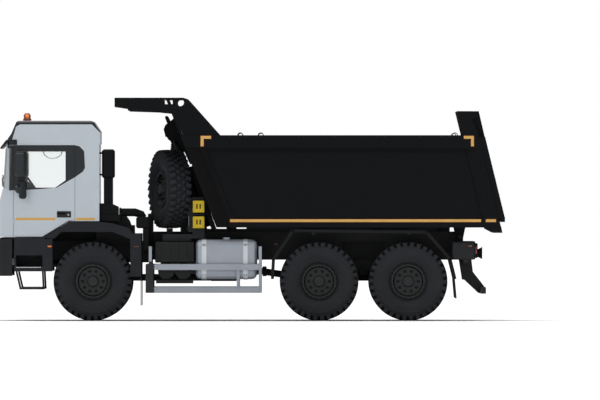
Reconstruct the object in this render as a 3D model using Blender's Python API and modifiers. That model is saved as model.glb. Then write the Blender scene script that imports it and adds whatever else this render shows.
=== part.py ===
"""Three-axle off-road tipping truck.

The nose points along -X, the truck's left side along -Y, and +Z is up. The origin lies on the
ground, in the middle of the truck's length and width. Lengths are metres.
"""

import math

import bmesh
import bpy
from mathutils import Matrix, Vector

# Wheels and axles
WHEEL_RADIUS = 0.632
TYRE_WIDTH = 0.375
TYRE_BEAD_RADIUS = 0.306
TYRE_BEAD_WIDTH = 0.264
TYRE_BULGE_RADIUS = 0.430
TYRE_SHOULDER_WIDTH = 0.340
LUG_COUNT = 34
LUG_SHARE = 0.58
LUG_NOTCH = 0.030
RIM_LIP_RADIUS = 0.246
RIM_LIP_WIDTH = 0.300
RIM_FLANGE_THICKNESS = 0.012
RIM_WALL = 0.018
HUB_DISC_RADIUS = 0.224
HUB_DISC_DEPTH = 0.050
HUB_DISC_THICKNESS = 0.016
HUB_BOSS_RADIUS = 0.095
HUB_CAP_RADIUS = 0.075
HUB_CAP_DEPTH = 0.070
SPINDLE_RADIUS = 0.050
SPINDLE_PLAY = 0.0008
FRONT_AXLE_X = -2.500
WHEELBASE = 3.621
BOGIE_SPACING = 1.425
TRACK = 2.050
KINGPIN_Y = 0.850
AXLE_TUBE_RADIUS = 0.070
DIFF_RADIUS = 0.200
DIFF_NOSE_LENGTH = 0.250
DIFF_NOSE_RADIUS = 0.090
BRAKE_DRUM_RADIUS = 0.190
BRAKE_DRUM_START_Y = 0.800

# Clearances
FIT_GAP = 0.0003
MOVING_GAP = 0.006
PIN_PLAY = 0.0006
OVERRUN = 0.020
STEP_IN = 0.002

# Derived axle places
LUG_ANGLE = 2.0 * math.pi / LUG_COUNT
AXLE_Z = WHEEL_RADIUS * math.cos(LUG_ANGLE * LUG_SHARE / 2.0)
REAR_AXLE_1_X = FRONT_AXLE_X + WHEELBASE
REAR_AXLE_2_X = REAR_AXLE_1_X + BOGIE_SPACING
BOGIE_X = (REAR_AXLE_1_X + REAR_AXLE_2_X) / 2.0
WHEEL_Y = TRACK / 2.0

# Frame rails
RAIL_TOP_Z = 1.274
RAIL_HEIGHT = 0.300
RAIL_OUTER_Y = 0.430
RAIL_FLANGE = 0.080
RAIL_WALL = 0.012
FRAME_FRONT_OVERHANG = 1.434
FRAME_REAR_OVERHANG = 1.767
CROSS_MEMBER_DEPTH = 0.080
CROSS_MEMBER_HEIGHT = 0.140
CROSS_MEMBER_SHARES = (0.355, 0.483, 0.640, 0.768, 0.880)
FRAME_FRONT_X = FRONT_AXLE_X - FRAME_FRONT_OVERHANG
FRAME_REAR_X = BOGIE_X + FRAME_REAR_OVERHANG
RAIL_BOTTOM_Z = RAIL_TOP_Z - RAIL_HEIGHT
RAIL_INNER_Y = RAIL_OUTER_Y - RAIL_FLANGE

# Subframe under the bed
SUBFRAME_HEIGHT = 0.152
SUBFRAME_FRONT_OFFSET = 0.948
SUBFRAME_REAR_OVERHANG = 1.600
SUBFRAME_FRONT_X = FRONT_AXLE_X + SUBFRAME_FRONT_OFFSET
SUBFRAME_REAR_X = BOGIE_X + SUBFRAME_REAR_OVERHANG
SUBFRAME_BOTTOM_Z = RAIL_TOP_Z + FIT_GAP
SUBFRAME_TOP_Z = SUBFRAME_BOTTOM_Z + SUBFRAME_HEIGHT
SUBFRAME_CROSS_SHARES = (0.02, 0.38, 0.60, 0.80)

# Bed hinge at the tail
BED_PIVOT_OFFSET = 1.543
BED_PIVOT_DROP = 0.088
BED_PIN_RADIUS = 0.035
BED_LUG_RADIUS = 0.060
BED_LUG_INNER_Y = 0.455
BED_LUG_OUTER_Y = 0.515
BED_LUG_LENGTH = 0.220
BED_PIVOT_X = BOGIE_X + BED_PIVOT_OFFSET
BED_PIVOT_Z = SUBFRAME_TOP_Z - BED_PIVOT_DROP

# Bed tub
BODY_HALF_WIDTH = 1.250
BED_FLOOR_Z = 1.557
BED_FLOOR_THICKNESS = 0.045
BED_RIM_TOP_Z = 2.970
BED_RIM_HEIGHT = 0.208
BED_RIM_WIDTH = 0.100
BED_WALL = 0.045
BED_PANEL_INSET = 0.030
BED_SILL_BOTTOM_Z = 1.492
BED_SILL_TOP_Z = 1.625
BED_SILL_WIDTH = 0.120
BED_FRONT_OFFSET = 1.952
BED_FRONT_LEAN_DEG = 21.5
BED_REAR_OVERHANG = 2.185
BED_REAR_LEAN_DEG = 13.7
BED_HEADBOARD_RISE = 0.355
BED_HEADBOARD_TOP_Z = BED_RIM_TOP_Z + BED_HEADBOARD_RISE
BED_PILLAR_WIDTH = 0.262
BED_PILLAR_RISE = 0.385
BED_PILLAR_TOP_Z = BED_RIM_TOP_Z + BED_PILLAR_RISE
BED_PILLAR_DEPTH = 0.130
BED_POST_SETBACK = 0.220
BED_POST_WIDTH = 0.110
BED_POST_DEPTH = 0.080
BED_TIP_LENGTH = 0.250
BED_TIP_DROP = 0.085
BED_CHAMFER = 0.160
BEARER_WIDTH = 0.090
BEARER_SHARES = (0.10, 0.27, 0.44, 0.61, 0.78)
PAD_SHARES = (0.04, 0.30, 0.55, 0.79)
PAD_LENGTH = 0.160
SLOT_DEPTH = 0.045
SLOT_RISE = 0.270
SLOT_TOP_Z = BED_RIM_TOP_Z + SLOT_RISE
SLOT_DROP = 0.070
SLOT_BOTTOM_Z = BED_RIM_TOP_Z - SLOT_DROP

# Tailgate
TAILGATE_HINGE_OFFSET = 1.767
TAILGATE_HINGE_RISE = 0.330
TAILGATE_HINGE_Z = BED_RIM_TOP_Z + TAILGATE_HINGE_RISE
TAILGATE_DEPTH = 0.092
TAILGATE_SKIN = 0.035
TAILGATE_TOP_DROP = 0.025
TAILGATE_TOP_Z = BED_RIM_TOP_Z - TAILGATE_TOP_DROP
TAILGATE_BOTTOM_Z = 1.640
TAILGATE_INSET = 0.010
TAILGATE_HALF_WIDTH = BODY_HALF_WIDTH - TAILGATE_INSET
TAILGATE_FRAME = 0.110
TAILGATE_RIB_SHARES = (0.20, 0.40, 0.60, 0.80)
TAILGATE_ARM_INSET = 0.140
TAILGATE_ARM_THICKNESS = 0.065
TAILGATE_ARM_OUTER_Y = BODY_HALF_WIDTH - TAILGATE_ARM_INSET
TAILGATE_ARM_INNER_Y = TAILGATE_ARM_OUTER_Y - TAILGATE_ARM_THICKNESS
TAILGATE_ARM_RADIUS = 0.055
TAILGATE_PIN_RADIUS = 0.022
TAILGATE_LOCK_HEIGHT = 0.060
TAILGATE_LOCK_LENGTH = 0.075
TAILGATE_HINGE_X = BOGIE_X + TAILGATE_HINGE_OFFSET

# Canopy over the gap behind the cab
CANOPY_FRONT_OFFSET = 0.348
CANOPY_RISE = 0.600
CANOPY_TOP_Z = BED_RIM_TOP_Z + CANOPY_RISE
CANOPY_SHEET = 0.030
CANOPY_INSET = 0.015
CANOPY_HALF_WIDTH = BODY_HALF_WIDTH - CANOPY_INSET
CANOPY_LIP_HEIGHT = 0.146
CANOPY_FLAT_LENGTH = 1.100
CANOPY_LENGTH = 1.690
CANOPY_SKIRT_SHARES = (
    (0.000, 0.765), (0.000, 1.000), (0.652, 1.000), (0.698, 0.955), (1.000, 0.000),
    (0.655, 0.000), (0.540, 0.585), (0.410, 0.622), (0.130, 0.649), (0.122, 0.712),
)
CANOPY_SLOT_SHARES = ((0.466, 0.828), (0.550, 0.960))
CANOPY_EYE_SHARES = (0.624, 0.868)
CANOPY_EYE_RADIUS = 0.056

# Telescopic hoist
HOIST_BASE_OFFSET = 1.840
HOIST_BASE_RAISE = 0.051
HOIST_EYE_OFFSET = 1.232
HOIST_EYE_RISE = 0.067
HOIST_EYE_Z = BED_RIM_TOP_Z + HOIST_EYE_RISE
HOIST_STAGES = 3
HOIST_BARREL_RADIUS = 0.095
HOIST_WALL = 0.013
HOIST_STAGE_GAP = 0.0008
HOIST_BARREL_START = 0.170
HOIST_BARREL_LENGTH = 1.560
HOIST_STEP = 0.030
HOIST_FOOT_RADIUS = 0.070
HOIST_FOOT_WIDTH = 0.110
HOIST_PIN_RADIUS = 0.030
HOIST_EAR_THICKNESS = 0.030
HOIST_HEAD_RADIUS = 0.085
HOIST_HEAD_WIDTH = 0.110
HOIST_LUG_THICKNESS = 0.035
HOIST_LUG_HEIGHT = 0.320

# Cab
CAB_INSET = 0.030
CAB_HALF_WIDTH = BODY_HALF_WIDTH - CAB_INSET
CAB_FRONT_OFFSET = 1.424
CAB_REAR_OFFSET = 0.104
CAB_BOTTOM_Z = 1.341
CAB_REAR_BOTTOM_Z = 1.600
CAB_SEAM_Z = 2.829
CAB_BELT_Z = 2.093
CAB_WALL = 0.060
CAB_FLOOR_THICKNESS = 0.050
CAB_ARCH_FRONT_OFFSET = 0.811
CAB_ARCH_TOP_OFFSET = 0.382
CAB_PILLAR_LEAN = 0.045
TUNNEL_HALF_WIDTH = 0.420
TUNNEL_TOP_Z = 1.560
TUNNEL_WALL = 0.030
ROOF_RISE = 0.374
ROOF_TOP_Z = CAB_SEAM_Z + ROOF_RISE
ROOF_WALL = 0.040
ROOF_OUTLINE_SHARES = (
    (0.000, 0.000), (0.000, 0.235), (0.037, 0.440), (0.092, 0.953), (0.120, 1.000),
    (0.900, 1.000), (0.930, 0.953), (1.000, 0.540), (1.000, 0.000),
)
ROOF_EDGE_RADIUS = 0.070
DOOR_FRONT_OFFSET = 1.268
DOOR_REAR_OFFSET = 0.289
DOOR_TOP_DROP = 0.023
DOOR_TOP_Z = CAB_SEAM_Z - DOOR_TOP_DROP
DOOR_THICKNESS = 0.060
DOOR_FRAME_WIDTH = 0.055
WINDOW_FRONT_OFFSET = 1.080
WINDOW_REAR_OFFSET = 0.436
WINDOW_BOTTOM_Z = 2.130
WINDOW_TOP_DROP = 0.092
WINDOW_TOP_Z = DOOR_TOP_Z - WINDOW_TOP_DROP
WINDOW_SHARES = ((0.0, 0.0), (0.741, 0.0), (1.0, 0.203), (1.0, 1.0), (0.0, 1.0))
DOOR_KNUCKLE_RADIUS = 0.012
DOOR_KNUCKLE_LENGTH = 0.080
DOOR_KNUCKLE_SHARES = (0.14, 0.62)
GLASS_THICKNESS = 0.008
GLASS_INSET = 0.026
GLASS_EDGE = 0.012
HANDLE_LENGTH = 0.219
HANDLE_HEIGHT = 0.096
HANDLE_DEPTH = 0.010
HANDLE_REAR_INSET = 0.064
HANDLE_Z = 1.654
WINDSCREEN_BOTTOM_Z = 2.120
WINDSCREEN_TOP_DROP = 0.069
WINDSCREEN_TOP_Z = CAB_SEAM_Z - WINDSCREEN_TOP_DROP
WINDSCREEN_WRAP = 0.100
WINDSCREEN_THICKNESS = 0.012
WINDSCREEN_OPENING_INSET = 0.160
WINDSCREEN_OPENING_HALF_WIDTH = CAB_HALF_WIDTH - WINDSCREEN_OPENING_INSET
FRONT_PANEL_DEPTH = 0.155
FRONT_PANEL_BOTTOM_Z = 1.345
FRONT_PANEL_CORNER = 0.120
FRONT_PANEL_SHARES = (
    (0.000, 0.000), (0.000, 0.300), (0.900, 1.000), (1.000, 1.000), (1.000, 0.000),
)
GRILLE_INSET = 0.440
GRILLE_HALF_WIDTH = CAB_HALF_WIDTH - GRILLE_INSET
GRILLE_DEPTH = 0.070
GRILLE_BOTTOM_RAISE = 0.060
GRILLE_HEIGHT = 0.440
GRILLE_SLATS = 4
GRILLE_SLAT_HEIGHT = 0.032
VISOR_REACH = 0.060
VISOR_RISE = 0.069
VISOR_TOP_Z = CAB_SEAM_Z + VISOR_RISE
VISOR_DROP = 0.074
VISOR_BOTTOM_Z = CAB_SEAM_Z - VISOR_DROP
VISOR_SHARES = (
    (0.00, 0.12), (0.00, 0.00), (0.14, 0.00), (0.80, 0.58), (1.00, 0.60), (1.00, 1.00),
    (0.78, 1.00),
)
VISOR_INSET = 0.140
VISOR_HALF_WIDTH = CAB_HALF_WIDTH - VISOR_INSET
BEACON_OFFSET = 1.056
BEACON_RADIUS = 0.066
BEACON_HEIGHT = 0.122
BEACON_BASE_HEIGHT = 0.030
BEACON_Y = -0.800
CAB_PIVOT_OFFSET = 1.484
CAB_PIVOT_Z = 0.941
CAB_PIN_RADIUS = 0.028
CAB_ARM_RADIUS = 0.050
CAB_ARM_INNER_Y = 0.455
CAB_ARM_OUTER_Y = 0.505
CAB_ARM_SETBACK = 0.250
CAB_ARM_WIDTH = 0.085
CAB_FRONT_X = FRONT_AXLE_X - CAB_FRONT_OFFSET
CAB_REAR_X = FRONT_AXLE_X + CAB_REAR_OFFSET
CAB_PIVOT_X = FRONT_AXLE_X - CAB_PIVOT_OFFSET
DOOR_FRONT_X = FRONT_AXLE_X - DOOR_FRONT_OFFSET
DOOR_REAR_X = FRONT_AXLE_X - DOOR_REAR_OFFSET

# Mirrors
MIRROR_GAP = 0.030
MIRROR_WIDTH = 0.200
MIRROR_INNER_Y = CAB_HALF_WIDTH + MIRROR_GAP
MIRROR_OUTER_Y = MIRROR_INNER_Y + MIRROR_WIDTH
MIRROR_FRONT_OFFSET = 1.240
MIRROR_DEPTH = 0.160
MIRROR_BOTTOM_Z = 2.301
MIRROR_HEIGHT = 0.400
MIRROR_LOW_HEIGHT = 0.130
MIRROR_LOW_DROP = 0.130
MIRROR_ARM_RADIUS = 0.012
MIRROR_ARM_TOP_RAISE = 0.045
MIRROR_EDGE = 0.030

# Cab interior
SEAT_WIDTH = 0.480
SEAT_DEPTH = 0.480
SEAT_THICKNESS = 0.120
SEAT_BASE_HEIGHT = 0.280
SEAT_BACK_HEIGHT = 0.700
SEAT_BACK_THICKNESS = 0.110
SEAT_INSET = 0.540
SEAT_Y = CAB_HALF_WIDTH - SEAT_INSET
SEAT_SETBACK = 0.084
SEAT_BASE_INSET = 0.080
DASH_DEPTH = 0.320
DASH_HEIGHT = 0.260
DASH_TOP_Z = 2.110
DASH_END_GAP = 0.030
STEERING_WHEEL_RADIUS = 0.220
STEERING_RIM_RADIUS = 0.016
STEERING_WHEEL_REACH = 0.220
STEERING_WHEEL_LEAN_DEG = 35.0
COLUMN_RADIUS = 0.030

# Snorkel on the cab's rear wall
SNORKEL_INSET = 0.230
SNORKEL_Y = CAB_HALF_WIDTH - SNORKEL_INSET
SNORKEL_HEAD_WIDTH = 0.300
SNORKEL_HEAD_LENGTH = 0.208
SNORKEL_HEAD_OFFSET = 0.144
SNORKEL_HEAD_DROP = 0.084
SNORKEL_HEAD_TOP_Z = CAB_SEAM_Z - SNORKEL_HEAD_DROP
SNORKEL_HEAD_HEIGHT = 0.466
SNORKEL_NECK_LENGTH = 0.148
SNORKEL_NECK_WIDTH = 0.220
SNORKEL_BASE_LENGTH = 0.310
SNORKEL_BASE_TOP_Z = 1.880
SNORKEL_BASE_SHARES = ((0.0, 0.0), (1.0, 0.0), (1.0, 0.8), (0.62, 1.0), (0.0, 1.0))
SNORKEL_EDGE = 0.030

# Air cleaner and hose behind the cab
CLEANER_OFFSET = 0.692
CLEANER_LENGTH = 0.220
CLEANER_BOTTOM_Z = 1.480
CLEANER_HEIGHT = 0.184
CLEANER_INNER_Y = 0.780
CLEANER_INSET = 0.070
CLEANER_OUTER_Y = BODY_HALF_WIDTH - CLEANER_INSET
CLEANER_EDGE = 0.025
HOSE_RADIUS = 0.065
HOSE_START_Z = 1.735
CLEANER_STAND_LENGTH = 0.090
CLEANER_STAND_OFFSET = 0.800

# Engine, gearbox and shafts
ENGINE_OFFSET = 1.094
ENGINE_LENGTH = 1.180
ENGINE_HALF_WIDTH = 0.320
ENGINE_BOTTOM_Z = 0.900
ENGINE_TOP_Z = 1.500
ENGINE_MOUNT_LENGTH = 0.120
ENGINE_MOUNT_BOTTOM_Z = 1.020
ENGINE_MOUNT_TOP_Z = 1.160
ENGINE_MOUNT_SHARES = (0.18, 0.82)
GEARBOX_LENGTH = 0.800
GEARBOX_HALF_WIDTH = 0.210
GEARBOX_BOTTOM_Z = 0.930
GEARBOX_TOP_Z = 1.240
TRANSFER_OFFSET = 1.880
TRANSFER_LENGTH = 0.420
TRANSFER_HALF_WIDTH = 0.230
TRANSFER_BOTTOM_Z = 0.630
SHAFT_RADIUS = 0.055
SHAFT_FLANGE_RADIUS = 0.080
SHAFT_FLANGE_LENGTH = 0.064
SHAFT_FLANGE_OFFSET = 2.715
SHAFT_Z = 0.787
FRONT_SHAFT_Z = 0.690

# Front axle and springs
YOKE_THICKNESS = 0.030
YOKE_INSET = 0.110
YOKE_REACH = 0.040
YOKE_HALF_LENGTH = 0.055
YOKE_ARM_DROP = 0.100
KNUCKLE_RADIUS = 0.045
KNUCKLE_FLANGE_RADIUS = 0.090
KNUCKLE_FLANGE_THICKNESS = 0.025
KNUCKLE_FLANGE_OFFSET = 0.050
SPRING_Y = 0.390
SPRING_END_INSET = 0.080
SPRING_WIDTH = 0.076
SPRING_HALF_LENGTH = 0.750
SPRING_SHARES = (
    (-1.000, 1.000), (-0.800, 0.760), (-0.450, 0.450), (0.000, 0.330), (0.450, 0.450),
    (0.800, 0.760), (1.000, 1.000), (1.000, 0.800), (0.720, 0.480), (0.400, 0.120),
    (0.140, 0.000), (-0.140, 0.000), (-0.400, 0.120), (-0.720, 0.480), (-1.000, 0.800),
)

# Bogie springs and trunnion
BOGIE_SPRING_INNER_Y = 0.520
BOGIE_SPRING_OUTER_Y = 0.610
BOGIE_SPRING_END_Z = 0.760
BOGIE_SPRING_TOP_Z = 0.960
BOGIE_SPRING_SHARES = (
    (-1.000, 0.000), (-1.000, 0.250), (-0.600, 0.560), (-0.160, 1.000), (0.160, 1.000),
    (0.600, 0.560), (1.000, 0.250), (1.000, 0.000), (0.820, 0.000), (0.550, 0.160),
    (0.160, 0.260), (-0.160, 0.260), (-0.550, 0.160), (-0.820, 0.000),
)
BOGIE_BRACKET_LENGTH = 0.650
BOGIE_BRACKET_THICKNESS = 0.040
BOGIE_BRACKET_FOOT_SHARE = 0.42
TRUNNION_RADIUS = 0.060
TRUNNION_Z = 0.786
TRUNNION_TUBE_RADIUS = 0.035
AXLE_PAD_LENGTH = 0.160

# Fuel tank, batteries and air tanks on the left side
TANK_OFFSET = 1.645
TANK_LENGTH = 0.986
TANK_BOTTOM_Z = 0.664
TANK_HEIGHT = 0.638
TANK_INNER_Y = 0.560
TANK_INSET = 0.085
TANK_OUTER_Y = BODY_HALF_WIDTH - TANK_INSET
TANK_EDGE = 0.090
TANK_EDGE_STEPS = 3
TANK_STRAP_WIDTH = 0.070
TANK_STRAP_THICKNESS = 0.006
TANK_STRAP_SHARES = (0.14, 0.81)
TANK_BRACKET_BOTTOM_Z = 1.000
TANK_BRACKET_TOP_Z = 1.220
TANK_CAP_RADIUS = 0.060
TANK_CAP_HEIGHT = 0.030
TANK_CAP_SHARE = 0.50
BATTERY_OFFSET = 0.996
BATTERY_LENGTH = 0.624
BATTERY_BOTTOM_Z = 0.930
BATTERY_TOP_Z = 1.261
BATTERY_INSET = 0.080
BATTERY_OUTER_Y = BODY_HALF_WIDTH - BATTERY_INSET
BATTERY_EDGE = 0.015
AIR_TANK_RADIUS = 0.128
AIR_TANK_Z = 0.797
AIR_TANK_SPACING = 0.278
AIR_TANK_INNER_Y = 0.560
AIR_TANK_INSET = 0.110
AIR_TANK_OUTER_Y = BODY_HALF_WIDTH - AIR_TANK_INSET
AIR_TRAY_THICKNESS = 0.050
AIR_TRAY_BOTTOM_Z = 0.598
AIR_SADDLE_LENGTH = 0.110

# Silencer on the right side
SILENCER_OFFSET = 1.070
SILENCER_LENGTH = 0.900
SILENCER_HEIGHT = 0.520
SILENCER_BOTTOM_Z = 0.720
SILENCER_EDGE = 0.060
SILENCER_PIPE_RADIUS = 0.060
SILENCER_PIPE_LENGTH = 0.450

# Side guards
GUARD_FRONT_OFFSET = 0.948
GUARD_LENGTH = 1.755
GUARD_INSET = 0.025
GUARD_THICKNESS = 0.030
GUARD_OUTER_Y = BODY_HALF_WIDTH - GUARD_INSET
GUARD_INNER_Y = GUARD_OUTER_Y - GUARD_THICKNESS
GUARD_UPPER_Z = 0.813
GUARD_LOWER_Z = 0.446
GUARD_RAIL_HEIGHT = 0.094
GUARD_PLATE_LENGTH = 0.104
GUARD_POST_LENGTH = 0.048
GUARD_ARM_Z = 1.120
GUARD_ARM_HEIGHT = 0.070
GUARD_MIDDLE_SHARE = 0.785

# Front mudguards with entry steps
FENDER_INSET = 0.005
FENDER_LIP = 0.020
FENDER_OUTER_Y = BODY_HALF_WIDTH - FENDER_INSET
FENDER_LIP_INNER_Y = FENDER_OUTER_Y - FENDER_LIP
FENDER_INNER_Y = 0.800
FENDER_SHEET = 0.022
FENDER_FRONT_OFFSET = 0.798
FENDER_LENGTH = 1.420
FENDER_BASE_Z = 1.341
FENDER_HEIGHT = 0.250
FENDER_OUTLINE_SHARES = (
    (0.000, 0.000), (0.120, 0.400), (0.292, 1.000), (0.637, 1.000), (0.775, 0.910),
    (0.975, 0.600), (1.000, 0.200),
)
FENDER_ARCH_SHARES = (
    (0.988, -0.120), (0.975, -0.090), (0.790, 0.350), (0.205, 0.350), (0.130, -0.090),
)
FENDER_LEG_OFFSET = 0.600
FENDER_LEG_REAR_OFFSET = 0.776
FENDER_LEG_SHEET = 0.030
FENDER_LEG_BOTTOM_Z = 0.706
FLAP_THICKNESS = 0.010
FLAP_BOTTOM_Z = 0.240
FENDER_ARM_RADIUS = 0.025
STEP_FRONT_OFFSET = 1.259
STEP_REAR_OFFSET = 0.774
STEP_PANEL_BOTTOM_Z = 1.048
STEP_TREAD_TOP_Z = 0.857
STEP_BOTTOM_Z = 0.790
STEP_WALL = 0.030
STEP_LOW_THICKNESS = 0.030
STEP_LOW_BOTTOM_Z = 0.502
STEP_LOW_INSET = 0.085
STEP_ROD_RADIUS = 0.014
STEP_INNER_Y = 0.800
STEP_SIDE_LIP_OFFSET = 0.645

# Bumper
BUMPER_FRONT_OFFSET = 1.596
BUMPER_REAR_OFFSET = 1.291
BUMPER_SKIN = 0.032
BUMPER_BOTTOM_Z = 0.717
BUMPER_TOP_Z = 1.309
BUMPER_CORNER = 0.140
BUMPER_CORNER_ARC_STEPS = 5
BUMPER_LAMP_WIDTH = 0.340
BUMPER_LAMP_HEIGHT = 0.150
BUMPER_LAMP_RECESS = 0.020
BUMPER_LAMP_Y = 0.900
BUMPER_LAMP_Z = 1.080
BUMPER_STAY_HEIGHT = 0.120

# Rear mudguards
MUDGUARD_HALF_LENGTH = 1.460
MUDGUARD_BASE_Z = 0.685
MUDGUARD_HEIGHT = 0.760
MUDGUARD_SHEET = 0.025
MUDGUARD_INNER_Y = 0.820
MUDGUARD_INSET = 0.005
MUDGUARD_OUTER_Y = BODY_HALF_WIDTH - MUDGUARD_INSET
MUDGUARD_SHARES = (
    (-1.000, 0.000), (-0.990, 0.390), (-0.775, 1.000), (0.690, 0.970), (0.950, 0.390),
    (1.000, 0.000), (1.020, -0.430),
)
MUDGUARD_STAY_RADIUS = 0.030
MUDGUARD_STAY_SHARES = (-0.55, 0.50)

# Tail: lamp housings, underrun bar and tow hitch
LAMP_BOX_OFFSET = 1.412
LAMP_BOX_LENGTH = 0.355
LAMP_BOX_BOTTOM_Z = 0.979
LAMP_BOX_TOP_Z = 1.262
LAMP_BOX_INNER_Y = 0.700
LAMP_BOX_INSET = 0.070
LAMP_BOX_OUTER_Y = BODY_HALF_WIDTH - LAMP_BOX_INSET
LAMP_BOX_EDGE = 0.020
LAMP_STAY_HEIGHT = 0.100
TAIL_BEAM_INSET = 0.060
TAIL_BEAM_LENGTH = 0.080
TAIL_BEAM_HEIGHT = 0.045
UNDERRUN_BAR_OFFSET = 1.879
UNDERRUN_BAR_LENGTH = 0.080
UNDERRUN_BAR_BOTTOM_Z = 0.433
UNDERRUN_BAR_HEIGHT = 0.100
UNDERRUN_BAR_INSET = 0.070
UNDERRUN_BAR_HALF_WIDTH = BODY_HALF_WIDTH - UNDERRUN_BAR_INSET
UNDERRUN_ARM_OFFSET = 1.536
UNDERRUN_ARM_LENGTH = 0.422
UNDERRUN_ARM_SHARES = (
    (0.000, 1.000), (0.121, 0.408), (0.197, 0.408), (0.739, 0.009), (1.000, 0.000),
    (0.989, 0.164), (0.936, 0.230), (0.652, 0.518), (0.523, 0.645), (0.470, 1.000),
)
HITCH_PLATE_HALF_WIDTH = 0.180
HITCH_PLATE_THICKNESS = 0.030
HITCH_PLATE_BOTTOM_Z = 0.979
HITCH_PLATE_TOP_Z = 1.268
HITCH_BODY_LENGTH = 0.070
HITCH_BODY_HALF_WIDTH = 0.100
HITCH_BODY_BOTTOM_Z = 1.000
HITCH_BODY_TOP_Z = 1.240
HITCH_MOUTH_LENGTH = 0.074
HITCH_MOUTH_Z = 1.080
HITCH_MOUTH_RADIUS = 0.098
HITCH_THROAT_RADIUS = 0.055
HITCH_MOUTH_WALL = 0.014

# Spare wheel on its carrier
SPARE_OFFSET = 1.226
SPARE_Y = -0.580
SPARE_Z = 2.109
SPARE_YAW_DEG = 18.0
CARRIER_BEAM_HEIGHT = 0.110
CARRIER_BEAM_HALF_LENGTH = 0.110
CARRIER_POST_WIDTH = 0.106
CARRIER_POST_SETBACK = 0.250
CARRIER_SADDLE_HALF_LENGTH = 0.050

# Wheel chocks behind the spare wheel
CHOCK_OFFSET = 1.600
CHOCK_LENGTH = 0.185
CHOCK_HEIGHT = 0.196
CHOCK_WIDTH = 0.180
CHOCK_Y = -1.090
CHOCK_UPPER_Z = 1.732
CHOCK_LOWER_Z = 1.480
CHOCK_SHARES = ((0.0, 0.0), (1.0, 0.0), (1.0, 1.0), (0.75, 1.0), (0.0, 0.2))
CHOCK_RACK_THICKNESS = 0.020

# Faces round a turned piece
WHEEL_STEPS = 24
FINE_STEPS = 20
PLAIN_STEPS = 12

SIDES = (('left', -1.0), ('right', 1.0))
MODEL_NAME = 'dump_truck'


def clear_scene():
    """Start from an empty scene."""
    for obj in list(bpy.data.objects):
        bpy.data.objects.remove(obj, do_unlink=True)


def new_collection(name):
    collection = bpy.data.collections.new(name)
    bpy.context.scene.collection.children.link(collection)
    return collection


clear_scene()
MODEL = new_collection(MODEL_NAME)
WORKSHOP = new_collection('workshop')


def paint(name, colour, roughness, metallic):
    """A plain Principled material."""
    material = bpy.data.materials.new(name)
    material.use_nodes = True
    shader = material.node_tree.nodes['Principled BSDF']
    shader.inputs['Base Color'].default_value = (*colour, 1.0)
    shader.inputs['Roughness'].default_value = roughness
    shader.inputs['Metallic'].default_value = metallic
    return material


# name: colour, roughness, metallic
MATERIALS = {
    name: paint(name, colour, roughness, metallic)
    for name, colour, roughness, metallic in (
        ('cab_paint', (0.45, 0.50, 0.55), 0.35, 0.0),
        ('bed_paint', (0.012, 0.013, 0.015), 0.45, 0.0),
        ('frame_paint', (0.030, 0.032, 0.035), 0.55, 0.0),
        ('dark_plastic', (0.022, 0.026, 0.030), 0.60, 0.0),
        ('rubber', (0.025, 0.026, 0.028), 0.85, 0.0),
        ('wheel_paint', (0.032, 0.036, 0.036), 0.50, 0.2),
        ('tank_metal', (0.33, 0.36, 0.40), 0.35, 0.8),
        ('guard_metal', (0.34, 0.38, 0.42), 0.45, 0.5),
        ('cast_metal', (0.060, 0.062, 0.065), 0.65, 0.4),
        ('chromed_rod', (0.60, 0.61, 0.62), 0.20, 1.0),
        ('glass', (0.55, 0.62, 0.62), 0.05, 0.0),
        ('amber', (0.80, 0.30, 0.02), 0.25, 0.0),
        ('chock_yellow', (0.55, 0.42, 0.02), 0.55, 0.0),
        ('seat_cloth', (0.035, 0.035, 0.040), 0.90, 0.0),
    )
}


def workshop_object(mesh):
    """A shape in progress, later fused into a finished piece."""
    obj = bpy.data.objects.new('shape', mesh)
    WORKSHOP.objects.link(obj)
    return obj


def from_bmesh(bm):
    mesh = bpy.data.meshes.new('shape')
    bm.to_mesh(mesh)
    bm.free()
    return workshop_object(mesh)


def discard(obj):
    data = obj.data
    bpy.data.objects.remove(obj, do_unlink=True)
    if isinstance(data, bpy.types.Curve):
        bpy.data.curves.remove(data)
    else:
        bpy.data.meshes.remove(data)


def baked(obj):
    """The object as its modifiers or curve settings show it, as a plain closed mesh."""
    bpy.context.view_layer.update()
    graph = bpy.context.evaluated_depsgraph_get()
    mesh = bpy.data.meshes.new_from_object(obj.evaluated_get(graph), depsgraph=graph)
    bm = bmesh.new()
    bm.from_mesh(mesh)
    bmesh.ops.transform(bm, matrix=obj.matrix_world, verts=bm.verts)
    bmesh.ops.remove_doubles(bm, verts=bm.verts, dist=FIT_GAP / 10.0)
    bmesh.ops.recalc_face_normals(bm, faces=bm.faces)
    bm.to_mesh(mesh)
    bm.free()
    discard(obj)
    return workshop_object(mesh)


def box(x0, x1, y0, y1, z0, z1, edge=0.0, edge_steps=1):
    """A box between six planes, its edges rounded by edge."""
    bm = bmesh.new()
    bmesh.ops.create_cube(bm, size=1.0)
    size = Vector((abs(x1 - x0), abs(y1 - y0), abs(z1 - z0)))
    bmesh.ops.scale(bm, vec=size, verts=bm.verts)
    middle = Vector((x0 + x1, y0 + y1, z0 + z1)) / 2.0
    bmesh.ops.translate(bm, vec=middle, verts=bm.verts)
    if edge:
        bmesh.ops.bevel(bm, geom=bm.edges, offset=edge, segments=edge_steps, profile=0.5,
                        affect='EDGES')
    return from_bmesh(bm)


def side_plate(points, y0, y1):
    """A flat outline of (x, z) points, as thick as from y0 to y1."""
    stand_up = Matrix.Rotation(math.radians(90.0), 4, 'X')
    shift = Matrix.Translation((0.0, (y0 + y1) / 2.0, 0.0))
    return flat_plate(points, abs(y1 - y0), shift @ stand_up)


def floor_plate(points, z0, z1):
    """A flat outline of (x, y) points, as thick as from z0 to z1."""
    return flat_plate(points, abs(z1 - z0), Matrix.Translation((0.0, 0.0, (z0 + z1) / 2.0)))


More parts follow.
